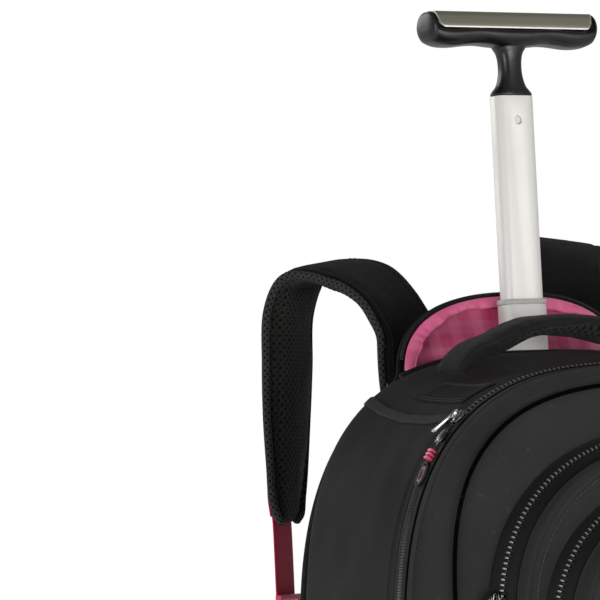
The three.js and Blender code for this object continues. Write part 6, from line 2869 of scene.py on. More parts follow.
@dataclass
class Ground:
    """A finished surface that other pieces are laid on."""

    piece: bpy.types.Object

    def __post_init__(self) -> None:
        """Prepares the surface for casting rays."""
        mesh = self.piece.data
        self.tree = BVHTree.FromPolygons(
            [v.co.copy() for v in mesh.vertices], [tuple(p.vertices) for p in mesh.polygons]
        )

    def drop(
        self, points: np.ndarray, outs: np.ndarray, start: float = 14.0, reach: float = 30.0,
    ) -> np.ndarray:
        """Moves points against their out directions until they meet the surface.

        Args:
            points: n by 3 array in the bag's frame.
            outs: directions out of the surface.
            start: how far outside the point the ray starts.
            reach: length of the ray.

        Returns:
            n by 3 array; a point whose ray meets nothing stays where it was.
        """
        origins = BAG.place(points + outs * start)
        rays = -BAG.turn(outs)
        result = np.array(points, float)
        for i, (origin, ray) in enumerate(zip(origins, rays)):
            hit = self.tree.ray_cast(Vector(origin), Vector(ray), reach * MM)[0]
            if hit is not None:
                result[i] = BAG.lift_out(np.array(hit))
        return result

    def row(self, row: Row, lift: float = 0.15) -> Row:
        """Lays a row on the surface, raised by a little."""
        return Row(self.drop(row.points, row.out) + row.out * lift, row.along, row.out)

    def strip(
        self,
        name: str,
        points: np.ndarray,
        outs: np.ndarray,
        thickness: float,
        material: bpy.types.Material,
        lift: float = 0.1,
    ) -> bpy.types.Object:
        """Lays a band of cloth on the surface.

        Args:
            name: piece name.
            points: rows by columns by 3 array in the bag's frame.
            outs: directions out of the surface, of the same shape.
            thickness: of the band in millimetres.
            material: its finish.
            lift: air left under the band.

        Returns:
            Closed mesh whose UV runs across and along the band, from its middle.
        """
        rows, columns = points.shape[:2]
        ground = self.drop(points.reshape(-1, 3), outs.reshape(-1, 3)).reshape(points.shape) + outs * lift
        share = np.abs(np.linspace(-1, 1, columns))
        crown = thickness * (1 - 0.45 * share ** 8)
        top = ground + outs * crown[None, :, None]
        edge = ground + outs * 0.0
        loops = np.concatenate([top, edge[:, ::-1]], axis=1)
        across = np.linspace(-0.5, 0.5, columns) * np.linalg.norm(points[0, -1] - points[0, 0])
        length = np.concatenate(
            [[0], np.cumsum(np.linalg.norm(np.diff(points[:, columns // 2], axis=0), axis=1))],
        )
        uv = np.stack(np.meshgrid(np.concatenate([across, across[::-1]]), length), axis=-1).reshape(-1, 2)
        count = 2 * columns
        faces = grid_faces(rows, count, closed_columns=True)
        faces += [tuple(range(count))[::-1], tuple(range((rows - 1) * count, rows * count))]
        piece = make_object(name, BAG.place(loops.reshape(-1, 3)), faces, material, uv * MM)
        return face_outwards(piece)


@dataclass
class TopTrim:
    """Ribbed bands over the gusset and the patches under the carrying handle."""

    wardrobe: Wardrobe
    ground: Ground
    sizes: BagSizes = field(default_factory=BagSizes)
    band_angle: float = 127.5
    band_width: float = 8.0
    patch_inner: float = 87.0
    patch_outer: float = 112.0
    patch_depth: float = 60.0
    patch_place: float = -68.0

    def station(self, depth: float) -> Station:
        """The gusset's outline at a depth."""
        rows = sorted(self.sizes.rear_rows(), key=lambda s: s.depth)
        depths = [s.depth for s in rows]
        pick = [
            np.interp(depth, depths, [getattr(s, label) for s in rows]) for label in ("half_width", "top")
        ]
        return Station(depth, *pick)

    def band(self, label: str, degrees: float) -> None:
        """Lays one ribbed band from the seam to the main zip.

        Args:
            label: left or right.
            degrees: where it lies round the outline.
        """
        points, outs = [], []
        for share in np.linspace(0.045, 0.955, 70):
            place = edge_place(self.station(-self.sizes.gusset * share), degrees)
            reach = np.linspace(-0.5, 0.5, 9) * self.band_width
            points.append(place.point + place.along * reach[:, None])
            outs.append(np.tile(place.out, (9, 1)))
        points, outs = np.array(points), np.array(outs)
        band = self.ground.strip(
            f"ribbed_band_{label}", points, outs, 1.3, self.wardrobe.get(BAND_RIBS), 0.3,
        )
        settle(band, "base", "band", f"gusset_band_{label}")

    def patch(self, label: str, side: float) -> None:
        """Lays one handle patch with two lines of stitches.

        Args:
            label: left or right.
            side: -1 for the left and 1 for the right.
        """
        xs = np.linspace(self.patch_inner, self.patch_outer, 26) * side
        depths = self.patch_place + np.linspace(-0.5, 0.5, 44) * self.patch_depth
        points, outs = [], []
        for depth in depths:
            station = self.station(depth)
            rise = (1 - np.abs(xs / station.half_width) ** station.power) ** (1 / station.power)
            z = station.top - station.arch + station.arch * rise
            line = np.stack([xs, np.full_like(xs, depth), z], axis=-1)
            along = unit(np.gradient(line, axis=0)) * side
            points.append(line)
            outs.append(np.stack([-along[:, 2], np.zeros(len(xs)), along[:, 0]], axis=-1))
        points, outs = np.array(points), np.array(outs)
        material = self.wardrobe.get(PATCH_CLOTH)
        piece = self.ground.strip(f"top_patch_{label}", points, outs, 0.7, material, 0.1)
        settle(piece, "base", "patch", f"handle_patch_{label}")
        sewn = Ground(piece)
        lines = []
        for inset in (2, 4):
            border = np.concatenate([
                points[inset:-inset, inset], points[-1 - inset, inset:-inset],
                points[inset:-inset, -1 - inset][::-1], points[inset, inset:-inset][::-1],
            ])
            border_out = np.concatenate([
                outs[inset:-inset, inset], outs[-1 - inset, inset:-inset],
                outs[inset:-inset, -1 - inset][::-1], outs[inset, inset:-inset][::-1],
            ])
            lines.append(
                stitches(sewn.row(row_on(border, border_out)), self.wardrobe.get(THREAD), 2.2, 0.9, 0.45),
            )
        settle(joined(f"patch_stitches_{label}", lines), "base", "patch")

    def build(self) -> None:
        """Makes both bands and both patches."""
        for label, side, degrees in (
            ("left", -1.0, self.band_angle), ("right", 1.0, 180 - self.band_angle),
        ):
            self.band(label, degrees)
            self.patch(label, side)


@dataclass
class RearCompartment:
    """The open mast compartment: back panel, standing edge with its zip, lining and side band."""

    wardrobe: Wardrobe
    sizes: BagSizes = field(default_factory=BagSizes)
    depth: float = 28.0
    panel_thick: float = 10.0
    panel_share: float = 0.895
    panel_top_share: float = 0.985
    panel_power: float = 2.65
    tongue_half: float = 85.0
    tongue_foot: float = 434.0
    tongue_top: float = 486.0
    tongue_power: float = 2.4
    lining_drop: float = 178.0
    lining_foot: float = 300.0
    lining_inset: float = 4.4
    facing: tuple = (3.6, 9.8)
    lining_thick: float = 0.7
    fold: float = 3.4
    mouth_half: float = 98.0
    gusset_from: float = 89.0
    count: int = 520

    def seam(self, depth: float) -> Station:
        """Outline of the rear seam at a depth."""
        rear = self.sizes.rear_rows()[-1]
        return Station(depth, rear.half_width, rear.top, rear.arch, rear.power)

    def panel_station(self, depth: float) -> Station:
        """Outline of the back panel without its standing top."""
        return Station(
            depth, self.sizes.width / 2 * self.panel_share, self.sizes.height * self.panel_top_share,
            power=self.panel_power,
        )

    def tongue(self, angles: np.ndarray, depth: float, inset: float = 0.0) -> np.ndarray:
        """Points of the standing top, by angle from its right foot to its left."""
        c, s = np.cos(angles), np.sin(angles)
        x = np.sign(c) * np.abs(c) ** (2 / self.tongue_power) * (self.tongue_half - inset)
        rise = (self.tongue_top - self.tongue_foot - inset) * np.abs(s) ** (2 / self.tongue_power)
        return np.stack([x, np.full_like(x, depth), self.tongue_foot + rise], axis=-1)

    def panel_ring(self, depth: float, inset: float) -> np.ndarray:
        """Outline of the back panel with its standing top."""
        loop = self.panel_station(depth).outline(900, inset)
        middle = (loop[:, 2] > 300) & (np.abs(loop[:, 0]) < self.tongue_half + 3)
        first, last = np.nonzero(middle)[0][[0, -1]]
        top = self.tongue(np.linspace(0, math.pi, 160), depth, inset + 0.38 * (depth - self.depth))
        return resample(np.vstack([loop[:first], top, loop[last + 1:]]), self.count, closed=True)

    def panel(self) -> None:
        """Makes the padded back panel with its mesh face."""
        steps = [(0.0, 1.5), (0.7, 0.5), (2.0, 0.0), (5.0, -0.15), (7.4, 0.1), (8.8, 0.9), (9.6, 2.1), (10.0, 3.5)]
        rings = [self.panel_ring(self.depth + d, inset) for d, inset in steps]
        back = self.depth + self.panel_thick
        centre = np.array([0, back, 225.0])
        edge = rings[-1]
        front_centre = np.array([0, self.depth, 225.0])
        front = [front_centre + (rings[0] - front_centre) * share for share in (0.02, 0.5, 0.9)]
        shares = np.linspace(0.99, 0.02, 60)
        faces_back = []
        for share in shares:
            ring = centre + (edge - centre) * share
            ring[:, 1] += self.panel_relief(ring[:, 0], ring[:, 2], share)
            faces_back.append(ring)
        rings = np.array(front + rings + faces_back)
        flat = rings.reshape(-1, 3)
        around = np.arange(self.count) * line_length(np.vstack([edge, edge[:1]])) / self.count
        uv = flat[:, [0, 2]].copy()
        first, last = len(front), len(front) + len(steps)
        for i in range(first, last - 1):
            uv[i * self.count:(i + 1) * self.count, 0] = around
            uv[i * self.count:(i + 1) * self.count, 1] = steps[i - first][0]
        points = np.vstack([flat, front_centre[None], centre[None]])
        uv = np.vstack([uv, [[0, 225], [0, 225]]])
        count, rows = self.count, len(rings)
        faces = grid_faces(rows, count, closed_columns=True)
        faces += [((i + 1) % count, i, rows * count) for i in range(count)]
        end = (rows - 1) * count
        faces += [(end + i, end + (i + 1) % count, rows * count + 1) for i in range(count)]
        cloth = self.wardrobe.get(STRAP_CLOTH)
        piece = face_outwards(make_object("rear_panel", BAG.place(points), faces, cloth, uv * MM))
        middles = face_middles(piece)
        inside = (middles[:, 1] > back - 1.4) & (self.from_pads(middles[:, 0], middles[:, 2]) < 0)
        paint_faces(piece, [cloth, self.wardrobe.get(STRAP_MESH)], inside.astype(int))
        settle(piece, "base", "padding", "back_panel")

    @staticmethod
    def from_pads(x: np.ndarray, z: np.ndarray) -> np.ndarray:
        """Distance outside the nearer of the two upright mesh pads, negative inside."""
        dx = np.abs(np.abs(x) - 66) - 44
        dz = np.abs(z - 205) - 150
        outside = np.hypot(np.maximum(dx + 18, 0), np.maximum(dz + 18, 0)) - 18
        return outside + np.minimum(np.maximum(dx, dz), 0) * (outside < -17.9)

    def panel_relief(self, x: np.ndarray, z: np.ndarray, share: float) -> np.ndarray:
        """Height of the panel's padded face over its flat one."""
        away = self.from_pads(x, z)
        groove = -1.1 * np.exp(-(away / 2.4) ** 2)
        pad = 1.6 * np.clip(-away / 22, 0, 1) ** 0.6
        return (groove + pad) * min((1 - share) * 8, 1)

    def tape(self) -> None:
        """Makes the zip tape inside the standing edge, with its teeth."""
        profile = [
            (0.9, 27.6), (0.8, 26.6), (1.1, 26.25), (1.4, 26.2), (1.9, 26.45), (2.4, 26.2), (3.1, 26.2),
            (3.5, 26.3), (3.7, 26.8), (3.6, 27.6), (2.2, 27.7),
        ]
        angles = np.linspace(0.14, math.pi - 0.14, 170)
        lines = [self.tongue(angles, depth, inset) for inset, depth in profile]
        rings = np.stack(lines, axis=1)
        piece = closed_loft("rear_zip_tape", rings, self.wardrobe.get(ZIP_TAPE))
        length = np.repeat(np.arange(len(angles)) * 1.2, len(profile))
        across = np.tile([inset for inset, _ in profile], len(angles))
        uv = np.vstack([np.column_stack([length, across]), [[0, 0], [0, 0]]])
        store_uv(piece, uv * MM)
        settle(piece, "base", "zip_tape", "rear_zip")
        line = self.tongue(angles, 26.2, 1.9)
        row = row_on(line, np.tile([0, -1.0, 0], (len(line), 1))).moved(out=0.35)
        teeth = repeated(
            "rear_zip_teeth", row.every(1.75), (1.0, 2.0, 1.2), self.wardrobe.get(BLACK_AND_SHADED_TEETH), sides=4,
        )
        settle(teeth, "base", "zip_metal")

    def lining(self) -> None:
        """Hangs the loose checked lining with its wavy upper edge."""
        columns, rows = 300, 110
        angles = np.linspace(0.02, math.pi - 0.02, columns)
        top = self.tongue(angles, 26.0, self.lining_inset)
        x = top[:, 0]
        wave = 1.1 * np.sin(x / 5.5 + 0.6) + 0.9 * np.sin(x / 12.7 + 2.0) + 0.6 * np.sin(x / 3.1)
        top[:, 2] += wave * 0.5
        shares = 1 - np.linspace(1, 0, rows) ** 1.6
        grid = np.zeros((rows, columns, 3))
        for i, share in enumerate(shares):
            z = self.lining_foot + (top[:, 2] - self.lining_foot) * share
            lean = x + 5 * share * np.sin(z / 31)
            gather = np.sin(lean / 4.6 + 1.4 * np.sin(z / 19)) * 0.5 + np.sin(lean / 9.5 + z / 27) * 0.9
            slack = np.sin(lean / 17 + z / 40 + 1.0) * 0.8
            free = (0.35 + 0.65 * share ** 2) * (1 - 0.85 * share ** 8)
            fold = (gather + slack + 1.4) * self.fold / 2.6 * free
            fold *= np.clip(1.3 - np.exp(-(x / 24) ** 2) * 0.75, 0.3, 1)
            grid[i] = np.stack([x, 26.1 - fold, z], axis=-1)
        points = grid.reshape(-1, 3)
        uv = np.stack([points[:, 0], points[:, 2]], axis=-1)
        silk = self.wardrobe.get(LINING_SILK)
        piece = make_object("loose_lining", BAG.place(points), grid_faces(rows, columns), silk, uv * MM)
        thicken(piece, self.lining_thick, offset=0)
        settle(piece, "base", "lining", "back_lining")

    def facing_strip(self) -> None:
        """Gathers the facing that holds the lining under the zip tape; its paler pink is a painted highlight."""
        columns, rows = 520, 16
        angles = np.linspace(0.03, math.pi - 0.03, columns)
        length = np.linspace(0, 1, columns) * 210
        ragged = 0.5 * np.sin(
            length / 6.1 + 0.8
        ) + 0.3 * np.sin(length / 2.7) + 1.1 * np.sin(length / 15 + 2)
        near, far = self.facing
        grid = np.zeros((rows, columns, 3))
        for i, share in enumerate(np.linspace(0, 1, rows)):
            inset = near + (far + ragged - near) * share
            line = np.array([self.tongue(angles[j:j + 1], 0.0, inset[j])[0] for j in range(columns)])
            pleat = np.sin(
                length / 1.5 + 2.2 * np.sin(length / 7)
            ) * 0.45 + np.sin(length / 4.2 + share) * 0.5
            line[:, 1] = 25.4 - share * (2.8 + pleat) - 0.9 * math.sin(math.pi * share)
            grid[i] = line
        uv = np.stack(np.meshgrid(length, np.linspace(near, far, rows)), axis=-1).reshape(-1, 2)
        piece = make_object(
            "lining_facing", BAG.place(grid.reshape(-1, 3)), grid_faces(rows, columns),
            self.wardrobe.get(FACING_SILK_HIGHLIGHT), uv * MM,
        )
        thicken(piece, 0.5, offset=0)
        settle(piece, "base", "lining")
        # The rolled lower edge in the same pale pink is a painted highlight line along the facing.
        row = row_on(grid[-1][4:-4], np.tile([0, -1.0, 0], (columns - 8, 1)))
        rolled = tube_along("facing_edge", row, 0.75, 10, self.wardrobe.get(FACING_SILK_HIGHLIGHT))
        settle(rolled, "base", "lining")

    def side_band(self) -> None:
        """Makes the band between the rear seam and the back panel, open over the mouth."""
        near, far = self.seam(0.3), self.panel_station(self.depth - 0.3)
        rings = []
        for share in np.linspace(0, 1, 14):
            names = ("depth", "half_width", "top", "arch", "power")
            mix = [getattr(near, n) * (1 - share) + getattr(far, n) * share for n in names]
            sag = 0.9 * math.sin(math.pi * share)
            rings.append(Station(*mix).outline(self.count, sag))
        rings = np.array(rings)
        loop = rings[0]
        mouth = (loop[:, 2] > 300) & (np.abs(loop[:, 0]) < self.gusset_from)
        first, last = np.nonzero(mouth)[0][[0, -1]]
        rings = np.roll(rings, -(last + 1), axis=1)[:, :self.count - (last - first + 1)]
        rows, columns = rings.shape[:2]
        around = np.concatenate([[0], np.cumsum(np.linalg.norm(np.diff(rings[0], axis=0), axis=1))])
        uv = np.stack(np.meshgrid(around, np.linspace(0, 30, rows)), axis=-1).reshape(-1, 2)
        piece = make_object(
            "mast_side_band", BAG.place(rings.reshape(-1, 3)), grid_faces(rows, columns),
            self.wardrobe.get(GUSSET_CLOTH), uv * MM,
        )
        thicken(piece, 1.8, offset=-1 if MainBag.faces_out(piece) else 1)
        settle(piece, "base", "bag", "rear_gusset")

    def binding(self) -> None:
        """Binds the open edge of the mouth."""
        loop = self.seam(1.85).outline(1200, 1.0)
        outs = ring_out(loop)
        keep = (loop[:, 2] > 300) & (np.abs(loop[:, 0]) < self.mouth_half)
        row = row_on(loop[keep], outs[keep]).moved(out=1.2)
        piece = tube_along("mouth_edge", row, 1.9, 14, self.wardrobe.get(EDGE_TAPE), squash=1.35)
        settle(piece, "base", "zip_tape", "mouth_binding")

    def build(self) -> None:
        """Makes the whole compartment."""
        self.panel()
        self.tape()
        self.lining()
        self.facing_strip()
        self.side_band()
        self.binding()


# Zip sliders and pulls


@dataclass
class ZipPulls:
    """Sliders, pull bars and the cord pull on the main zip and the pockets."""

    wardrobe: Wardrobe
    sizes: BagSizes = field(default_factory=BagSizes)
    slider_length: float = 11.0
    slider_width: float = 8.0
    slider_height: float = 4.0
    pull_length: float = 20.0
    pull_width: float = 4.0
    pull_height: float = 1.8
    meet: float = 131.0
    bar_turn: float = -18.0
    half_step: float = 3.2
    block_turn: float = 8.6
    loop_turn: float = 13.4
    gap: float = 0.3

    def main_edge(self) -> Station:
        """Middle line of the main zip."""
        edge = self.sizes.rear_rows()[0]
        return Station(edge.depth - self.sizes.zip_width / 2, edge.half_width, edge.top)

    def slider(self, name: str, place: Laid, lift: float, nose: float) -> bpy.types.Object:
        """One cast slider: two plates, their sides and the bridge that holds the pull.

        Args:
            name: piece name.
            place: where it lies.
            lift: height of its underside.
            nose: 1 if its wide end points along the edge, -1 if against it.

        Returns:
            Mesh object.
        """
        half = self.slider_length / 2
        wide = self.slider_width / 2
        shield = np.array([
            (-half, -wide * 0.62), (-half * 0.4, -wide * 0.66), (half * 0.2, -wide), (half * 0.75, -wide),
            (half, -wide * 0.55), (half * 0.82, 0), (half, wide * 0.55), (half * 0.75, wide),
            (half * 0.2, wide), (-half * 0.4, wide * 0.66), (-half, wide * 0.62),
        ]) * [nose, 1]
        outline = smooth_loop(shield, 48)
        chrome, nickel = self.wardrobe.get(ZIP_CHROME), self.wardrobe.get(SLIDER_NICKEL)
        low = slab(f"{name}_low", place, outline, lift, lift + 0.7, nickel, bevel=0.25)
        high = slab(f"{name}_high", place, outline * 0.97, lift + 1.7, lift + 2.5, nickel, bevel=0.3)
        pieces = [low, high]
        for side in (-1, 1):
            rail = np.array([
                (-half * 0.95, side * wide * 0.5), (half * 0.25, side * wide * 0.82), (
                    half * 0.25, side * wide * 0.98,
                ),
                (-half * 0.95, side * wide * 0.66),
            ]) * [nose, 1]
            rail = rail if side * nose > 0 else rail[::-1]
            pieces.append(slab(f"{name}_rail", place, rail, lift + 0.6, lift + 1.9, nickel, bevel=0.1))
        turns = np.linspace(0, math.pi, 24)
        arch = np.column_stack([
            np.cos(turns) * half * 0.72, np.zeros(24), lift + 2.2 + np.sin(turns) ** 0.6 * (
                self.slider_height - 2.55
            ),
        ])
        across = np.tile(place.across, (24, 1))
        centre = place.to_bag(arch)
        row = row_on(centre, np.cross(across, unit(np.gradient(centre, axis=0))))
        pieces.append(tube_along(f"{name}_bridge", row, 0.75, 10, chrome, squash=0.55))
        return joined(name, pieces)

    def bar(self, name: str, place: Laid, low: float, middle: float, reach: float) -> bpy.types.Object:
        """A thin pull: a ringed end round the bridge, a waist and a rounded bar.

        Args:
            name: piece name.
            place: where the slider lies.
            low: height of its underside.
            middle: distance of its middle from the slider along the edge.
            reach: 1 if it points along the edge, -1 if against it.

        Returns:
            Mesh object.
        """
        half = self.pull_length / 2
        wide = self.pull_width / 2
        shape = np.array([
            (-half, -wide * 0.35), (-half * 0.82, -wide * 0.95), (-half * 0.6, -wide), (
                -half * 0.42, -wide * 0.62,
            ),
            (-half * 0.1, -wide * 0.5), (
                half * 0.55, -wide * 0.62,
            ), (half * 0.9, -wide * 0.6), (half, -wide * 0.25),
            (half, wide * 0.25), (half * 0.9, wide * 0.6), (
                half * 0.55, wide * 0.62,
            ), (-half * 0.1, wide * 0.5),
            (-half * 0.42, wide * 0.62), (-half * 0.6, wide), (
                -half * 0.82, wide * 0.95,
            ), (-half, wide * 0.35),
        ]) * [reach, 1]
        turn = math.radians(self.bar_turn) * reach
        swing = np.array([[math.cos(turn), math.sin(turn)], [-math.sin(turn), math.cos(turn)]])
        outline = (smooth_loop(shape, 72) + [middle, 0]) @ swing
        chrome = self.wardrobe.get(ZIP_CHROME)
        piece = slab(name, place, outline, low, low + self.pull_height * 0.85, chrome, bevel=0)
        eye = smooth_loop(np.array([(-1.7, -1.15), (1.7, -1.15), (1.7, 1.15), (-1.7, 1.15)]), 32)
        eye = (eye + [middle - reach * half * 0.68, 0]) @ swing
        cutter = slab("eye", place, eye, low - 2, low + 4, chrome, bevel=0)
        cut_away(piece, cutter)
        piece.data.materials.clear()
        piece.data.materials.append(chrome)
        bevelled(piece, 0.4, segments=3, angle=50)
        return sharp_edges(piece, 60)

    def main_pulls(self) -> None:
        """Makes the two sliders of the main zip with the bar on the upper one."""
        edge = self.main_edge()
        upper = edge_place(edge, self.meet - self.half_step)
        lower = edge_place(edge, self.meet + self.half_step)
        settle(
            self.slider("zip_slider_upper", upper, self.gap, -1), "base", "zip_metal", "main_slider_upper",
        )
        settle(
            self.slider("zip_slider_lower", lower, self.gap, 1), "base", "zip_metal", "main_slider_lower",
        )
        low = self.slider_height + 2 * self.gap
        bar = self.bar("zip_pull_bar", upper, low, self.pull_length / 2 - 2, 1)
        settle(bar, "base", "zip_metal", "main_pull_bar")

    def cord_pull(self) -> None:
        """Makes the banded pink block with its soft loop."""
        edge = self.main_edge()
        place = edge_place(edge, self.meet + self.block_turn)
        pink = self.wardrobe.get(PINK_PLASTIC)
        dark = self.wardrobe.get(CORD_RUBBER)
        pieces = []
        for i, middle in enumerate(np.linspace(-2.5, 2.5, 3)):
            outline = rounded_rectangle(1.9, 5.0, 0.7, steps=4) + [middle, 0]
            pieces.append(slab("pull_band", place, outline, self.gap, self.gap + 4.2, pink, bevel=0.5))
            if i < 2:
                neck = rounded_rectangle(1.2, 4.2, 0.4, steps=4) + [middle + 1.25, 0]
                pieces.append(
                    slab("pull_neck", place, neck, self.gap + 0.6, self.gap + 3.5, dark, bevel=0.3),
                )
        settle(joined("pull_bands", pieces), "base", "pull_block", "main_pull_block")
        place = edge_place(edge, self.meet + self.loop_turn)
        half, wide = 7.2, 3.6
        turns = np.linspace(0, 2 * math.pi, 72, endpoint=False)
        loop = np.column_stack([
            np.cos(turns) * half - 0.2, np.sign(np.sin(turns)) * np.abs(np.sin(turns)) ** 0.75 * wide,
            np.full(72, self.gap + 1.45) + 0.25 * np.cos(turns * 2),
        ])
        centre = place.to_bag(np.vstack([loop, loop[:2]]))
        row = row_on(centre, np.tile(place.out, (len(centre), 1)))
        ring = tube_along("cord_ring", row, 0.85, 12, dark)
        grip = smooth_loop(np.array([
            (-4.4, -1.9), (3.2, -2.4), (5.6, -1.2), (5.6, 1.2), (3.2, 2.4), (-4.4, 1.9),
        ]), 40)
        tag = slab(
            "cord_tag", place, grip, self.gap + 0.7, self.gap + 2.1, self.wardrobe.get(CORD_RIM), bevel=0.5,
        )
        hollow = slab("tag_hollow", place, grip * 0.62, self.gap - 1, self.gap + 4, dark, bevel=0)
        cut_away(tag, hollow)
        settle(joined("pull_cord", [ring, tag]), "base", "cord_loop", "main_pull_loop")

    def pocket(self, label: str, pocket: "FrontPocket", degrees: float) -> None:
        """Makes the slider and pull of one front pocket.

        Args:
            label: the pocket's name.
            pocket: the finished pocket.
            degrees: place along its arch.
        """
        middle = pocket.rim(0.5)
        edge = Station(
            middle.depth, pocket.width / 2 - pocket.slope / 2, pocket.height - pocket.slope / 2,
            pocket.arch - pocket.slope / 2, pocket.power,
        )
        place = edge_place(edge, degrees)
        clear = self.slider_width / 2 * pocket.slope / pocket.climb + self.gap
        way = math.copysign(1, degrees - 90)
        body = self.slider(f"{label}_zip_slider", place, clear, -way)
        settle(body, "base", "zip_metal", f"{label}_slider")
        low = clear + self.slider_height + self.gap
        bar = self.bar(f"{label}_zip_pull", place, low, way * (self.pull_length / 2 - 2), way)
        settle(bar, "base", "zip_metal", f"{label}_pull")


# Base and wheels


@dataclass
class Chassis:
    """The base tray with its feet, wheel housings and wheels."""

    wardrobe: Wardrobe
    wheel_radius: float = 25.0
    wheel_width: float = 22.0
    hub_radius: float = 16.0
    bore: float = 3.4
    axle_radius: float = 3.0
    axle_head: float = 5.5
    head_thick: float = 2.0
    head_place: float = 16.5
    spacing: float = 244.0
    wheel_depth: float = 36.0
    gap: float = 0.3

    def moulded(self) -> None:
        """Rounds the moulded pieces of the base."""
        plastic = self.wardrobe.get(BASE_PLASTIC)
        rounding = {"base_tray": 2.0, "wheel_housing_left": 1.2, "wheel_housing_right": 1.2}
        rounding |= {"front_foot_left": 2.4, "front_foot_right": 2.4}
        for node, width in rounding.items():
            piece = copy_of_node(node, f"{node}_moulded", plastic)
            sharp_edges(bevelled(piece, width, segments=4, angle=40), 45)
            settle(piece, "base", "base_plastic", node)

    def centre(self, side: float) -> np.ndarray:
        """Middle of one wheel in the row frame, in metres."""
        lean = math.radians(BAG.lean_degrees)
        rise = (self.wheel_radius - BAG.base_height + self.wheel_depth * math.sin(lean)) / math.cos(lean)
        return BAG.place(np.array([side * self.spacing / 2, self.wheel_depth, rise]))

    def turned(
        self, name: str, side: float, profile: Sequence, material: bpy.types.Material, sides: int = 120,
    ) -> bpy.types.Object:
        """A piece turned about a wheel's axis.

        Args:
            name: piece name.
            side: -1 for the left wheel, 1 for the right one.
            profile: closed line of radius and place across, in millimetres.
            material: its finish.
            sides: facets round the axis.

        Returns:
            Closed mesh object.
        """
        profile = np.array(profile, float)
        turns = np.linspace(0, 2 * math.pi, sides, endpoint=False)
        rings = np.stack([
            np.stack([across + 0 * turns, radius * np.cos(turns), radius * np.sin(turns)], axis=-1)
            for radius, across in profile
        ])
        points = rings.reshape(-1, 3) * MM + self.centre(side)
        faces = grid_faces(len(profile), sides, closed_rows=True, closed_columns=True)
        return sharp_edges(face_outwards(make_object(name, points, faces, material)), 40)

    def wheel(self, label: str, side: float) -> None:
        """Makes one wheel: a treaded tyre, a dished hub and the axle.

        Args:
            label: left or right.
            side: -1 for the left and 1 for the right.
        """
        half = self.wheel_width / 2
        r = self.wheel_radius
        tread = [(r, x) for x in (-half + 3.4, -4.4)]
        for groove in (-3.8, 3.8):
            tread += [
                (r, groove - 0.6), (r - 0.8, groove - 0.4), (r - 0.8, groove + 0.4), (r, groove + 0.6),
            ]
        tread += [(r, half - 3.4)]
        shoulder = [(r - 0.9, half - 1.4), (r - 2.6, half - 0.3), (r - 4.4, half)]
        inner = self.hub_radius + self.gap
        profile = (
            [(inner, -half + 0.4), (inner + 0.5, -half)] + [(a, -b) for a, b in shoulder[::-1]] + tread
            + shoulder + [(inner + 0.5, half), (inner, half - 0.4)]
        )
        tyre = self.turned(f"tyre_{label}", side, profile, self.wardrobe.get(TYRE_RUBBER))
        settle(tyre, f"wheel_{label}", "tyre", f"wheel_tyre_{label}")
        h = self.hub_radius
        dish = [
            (self.bore, half), (7.0, half), (7.6, half - 0.5), (7.8, half - 3.0), (12.6, half - 3.4),
            (13.4, half - 0.6), (13.9, half), (h - 0.5, half), (h, half - 0.6),
        ]
        hub = self.turned(
            f"hub_{label}", side, dish + [(a, -b) for a, b in dish[::-1]], self.wardrobe.get(HUB_PLASTIC),
        )
        settle(hub, f"wheel_{label}", "hub", f"wheel_hub_{label}")
        head, pin = self.axle_head, self.axle_radius
        out = self.head_place + self.head_thick
        axle = [
            (0.01, -out), (head - 1.2, -out), (head - 0.3, -out + 0.5), (head, -out + 1.2), (
                head, -self.head_place,
            ),
            (pin, -self.head_place), (pin, self.head_place), (head, self.head_place), (head, out - 1.2),
            (head - 0.3, out - 0.5), (head - 1.2, out), (0.01, out),
        ]
        piece = self.turned(f"axle_{label}", side, axle, self.wardrobe.get(AXLE_STEEL), sides=64)
        settle(piece, "base", "axle", f"wheel_axle_{label}")

    def build(self) -> None:
        """Makes the whole base."""
        self.moulded()
        for label, side in (("left", -1.0), ("right", 1.0)):
            self.wheel(label, side)


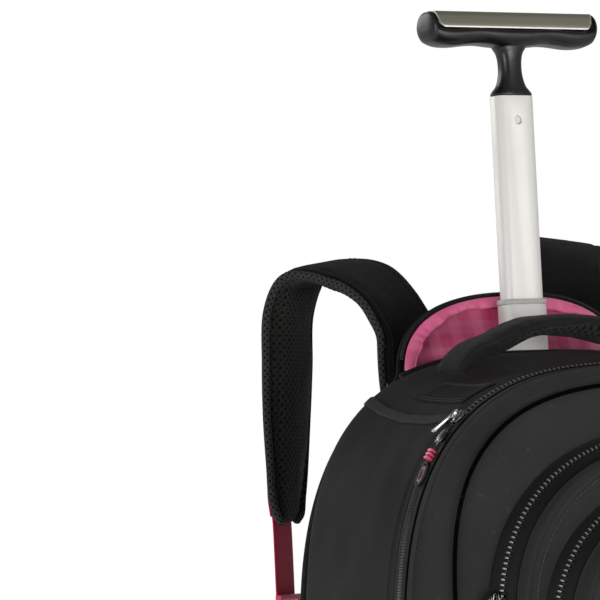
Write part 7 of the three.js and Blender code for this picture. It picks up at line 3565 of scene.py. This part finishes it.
@dataclass
class StrapHardware:
    """Buckles and sewn tabs at the lower ends of the shoulder straps."""

    wardrobe: Wardrobe

    def build(self) -> None:
        """Rounds the buckles and sews the tabs."""
        for label in ("left", "right"):
            pink = self.wardrobe.get(PINK_PLASTIC)
            lock = copy_of_node(f"ladder_lock_{label}", f"buckle_{label}", pink)
            sharp_edges(bevelled(lock, 1.1, segments=4, angle=40), 50)
            settle(lock, "base", "buckle", f"ladder_lock_{label}")
            tab = copy_of_node(f"webbing_tab_{label}", f"strap_tab_{label}", self.wardrobe.get(PATCH_CLOTH))
            bevelled(tab, 0.5, segments=2, angle=40)
            settle(sharp_edges(tab, 50), "base", "bag", f"webbing_tab_{label}")
            self.tab_stitches(label)

    def tab_stitches(self, label: str) -> None:
        """Sews a boxed cross on a tab.

        Args:
            label: left or right.
        """
        low, high = (BAG.lift_out(np.array(corner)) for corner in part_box(f"webbing_tab_{label}"))
        middle = (low + high) / 2
        half_x, half_z = 12.0, 10.0
        face = 38.3 + 1.6 + 0.1
        corners = [(-half_x, -half_z), (half_x, -half_z), (half_x, half_z), (-half_x, half_z), (-half_x, -half_z),
                   (half_x, half_z), (half_x, -half_z), (-half_x, half_z)]
        lines = []
        for (x0, z0), (x1, z1) in zip(corners[:-1], corners[1:]):
            ends = np.array(
                [[middle[0] + x0, face, middle[2] + z0], [middle[0] + x1, face, middle[2] + z1]],
            )
            line = resample(ends, 20)
            lines.append(
                stitches(row_on(line, np.tile([0, 1.0, 0], (20, 1))), self.wardrobe.get(THREAD), 2.2, 0.9),
            )
        settle(joined(f"tab_stitches_{label}", lines), "base", "bag")


def main() -> None:
    """Builds the studio and every piece in order."""
    logging.basicConfig(level=logging.INFO, format="%(name)s: %(message)s")
    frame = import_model()
    wardrobe = Wardrobe()
    bpy.context.scene.view_settings.view_transform = "Standard"
    Studio().build()
    dress_nodes(frame, wardrobe)
    MainBag(wardrobe).build()
    large = FrontPocket(
        wardrobe, "pocket_large", seat=-150, width=264, height=392, arch=116, depth=27, dome=0,
    )
    small = FrontPocket(
        wardrobe, "pocket_small", seat=-177, width=226, height=362, arch=100, depth=32, dome=6, seed=12,
    )
    pulls = ZipPulls(wardrobe)
    for label, pocket, degrees in (("pocket_large", large, 173.0), ("pocket_small", small, 7.0)):
        pocket.build()
        pulls.pocket(label, pocket, degrees)
    pulls.main_pulls()
    pulls.cord_pull()
    RearCompartment(wardrobe).build()
    TopTrim(wardrobe, Ground(bpy.data.objects["bag_rear_half"])).build()
    ShoulderStrap(wardrobe, "left", side=-1.0).build()
    ShoulderStrap(wardrobe, "right", side=1.0, rise=13.0, spread=20.0).build()
    StrapHardware(wardrobe).build()
    GrabHandle(wardrobe).build()
    Mast(wardrobe).build()
    THandle(wardrobe).build()
    Chassis(wardrobe).build()


if __name__ == "__main__":
    main()
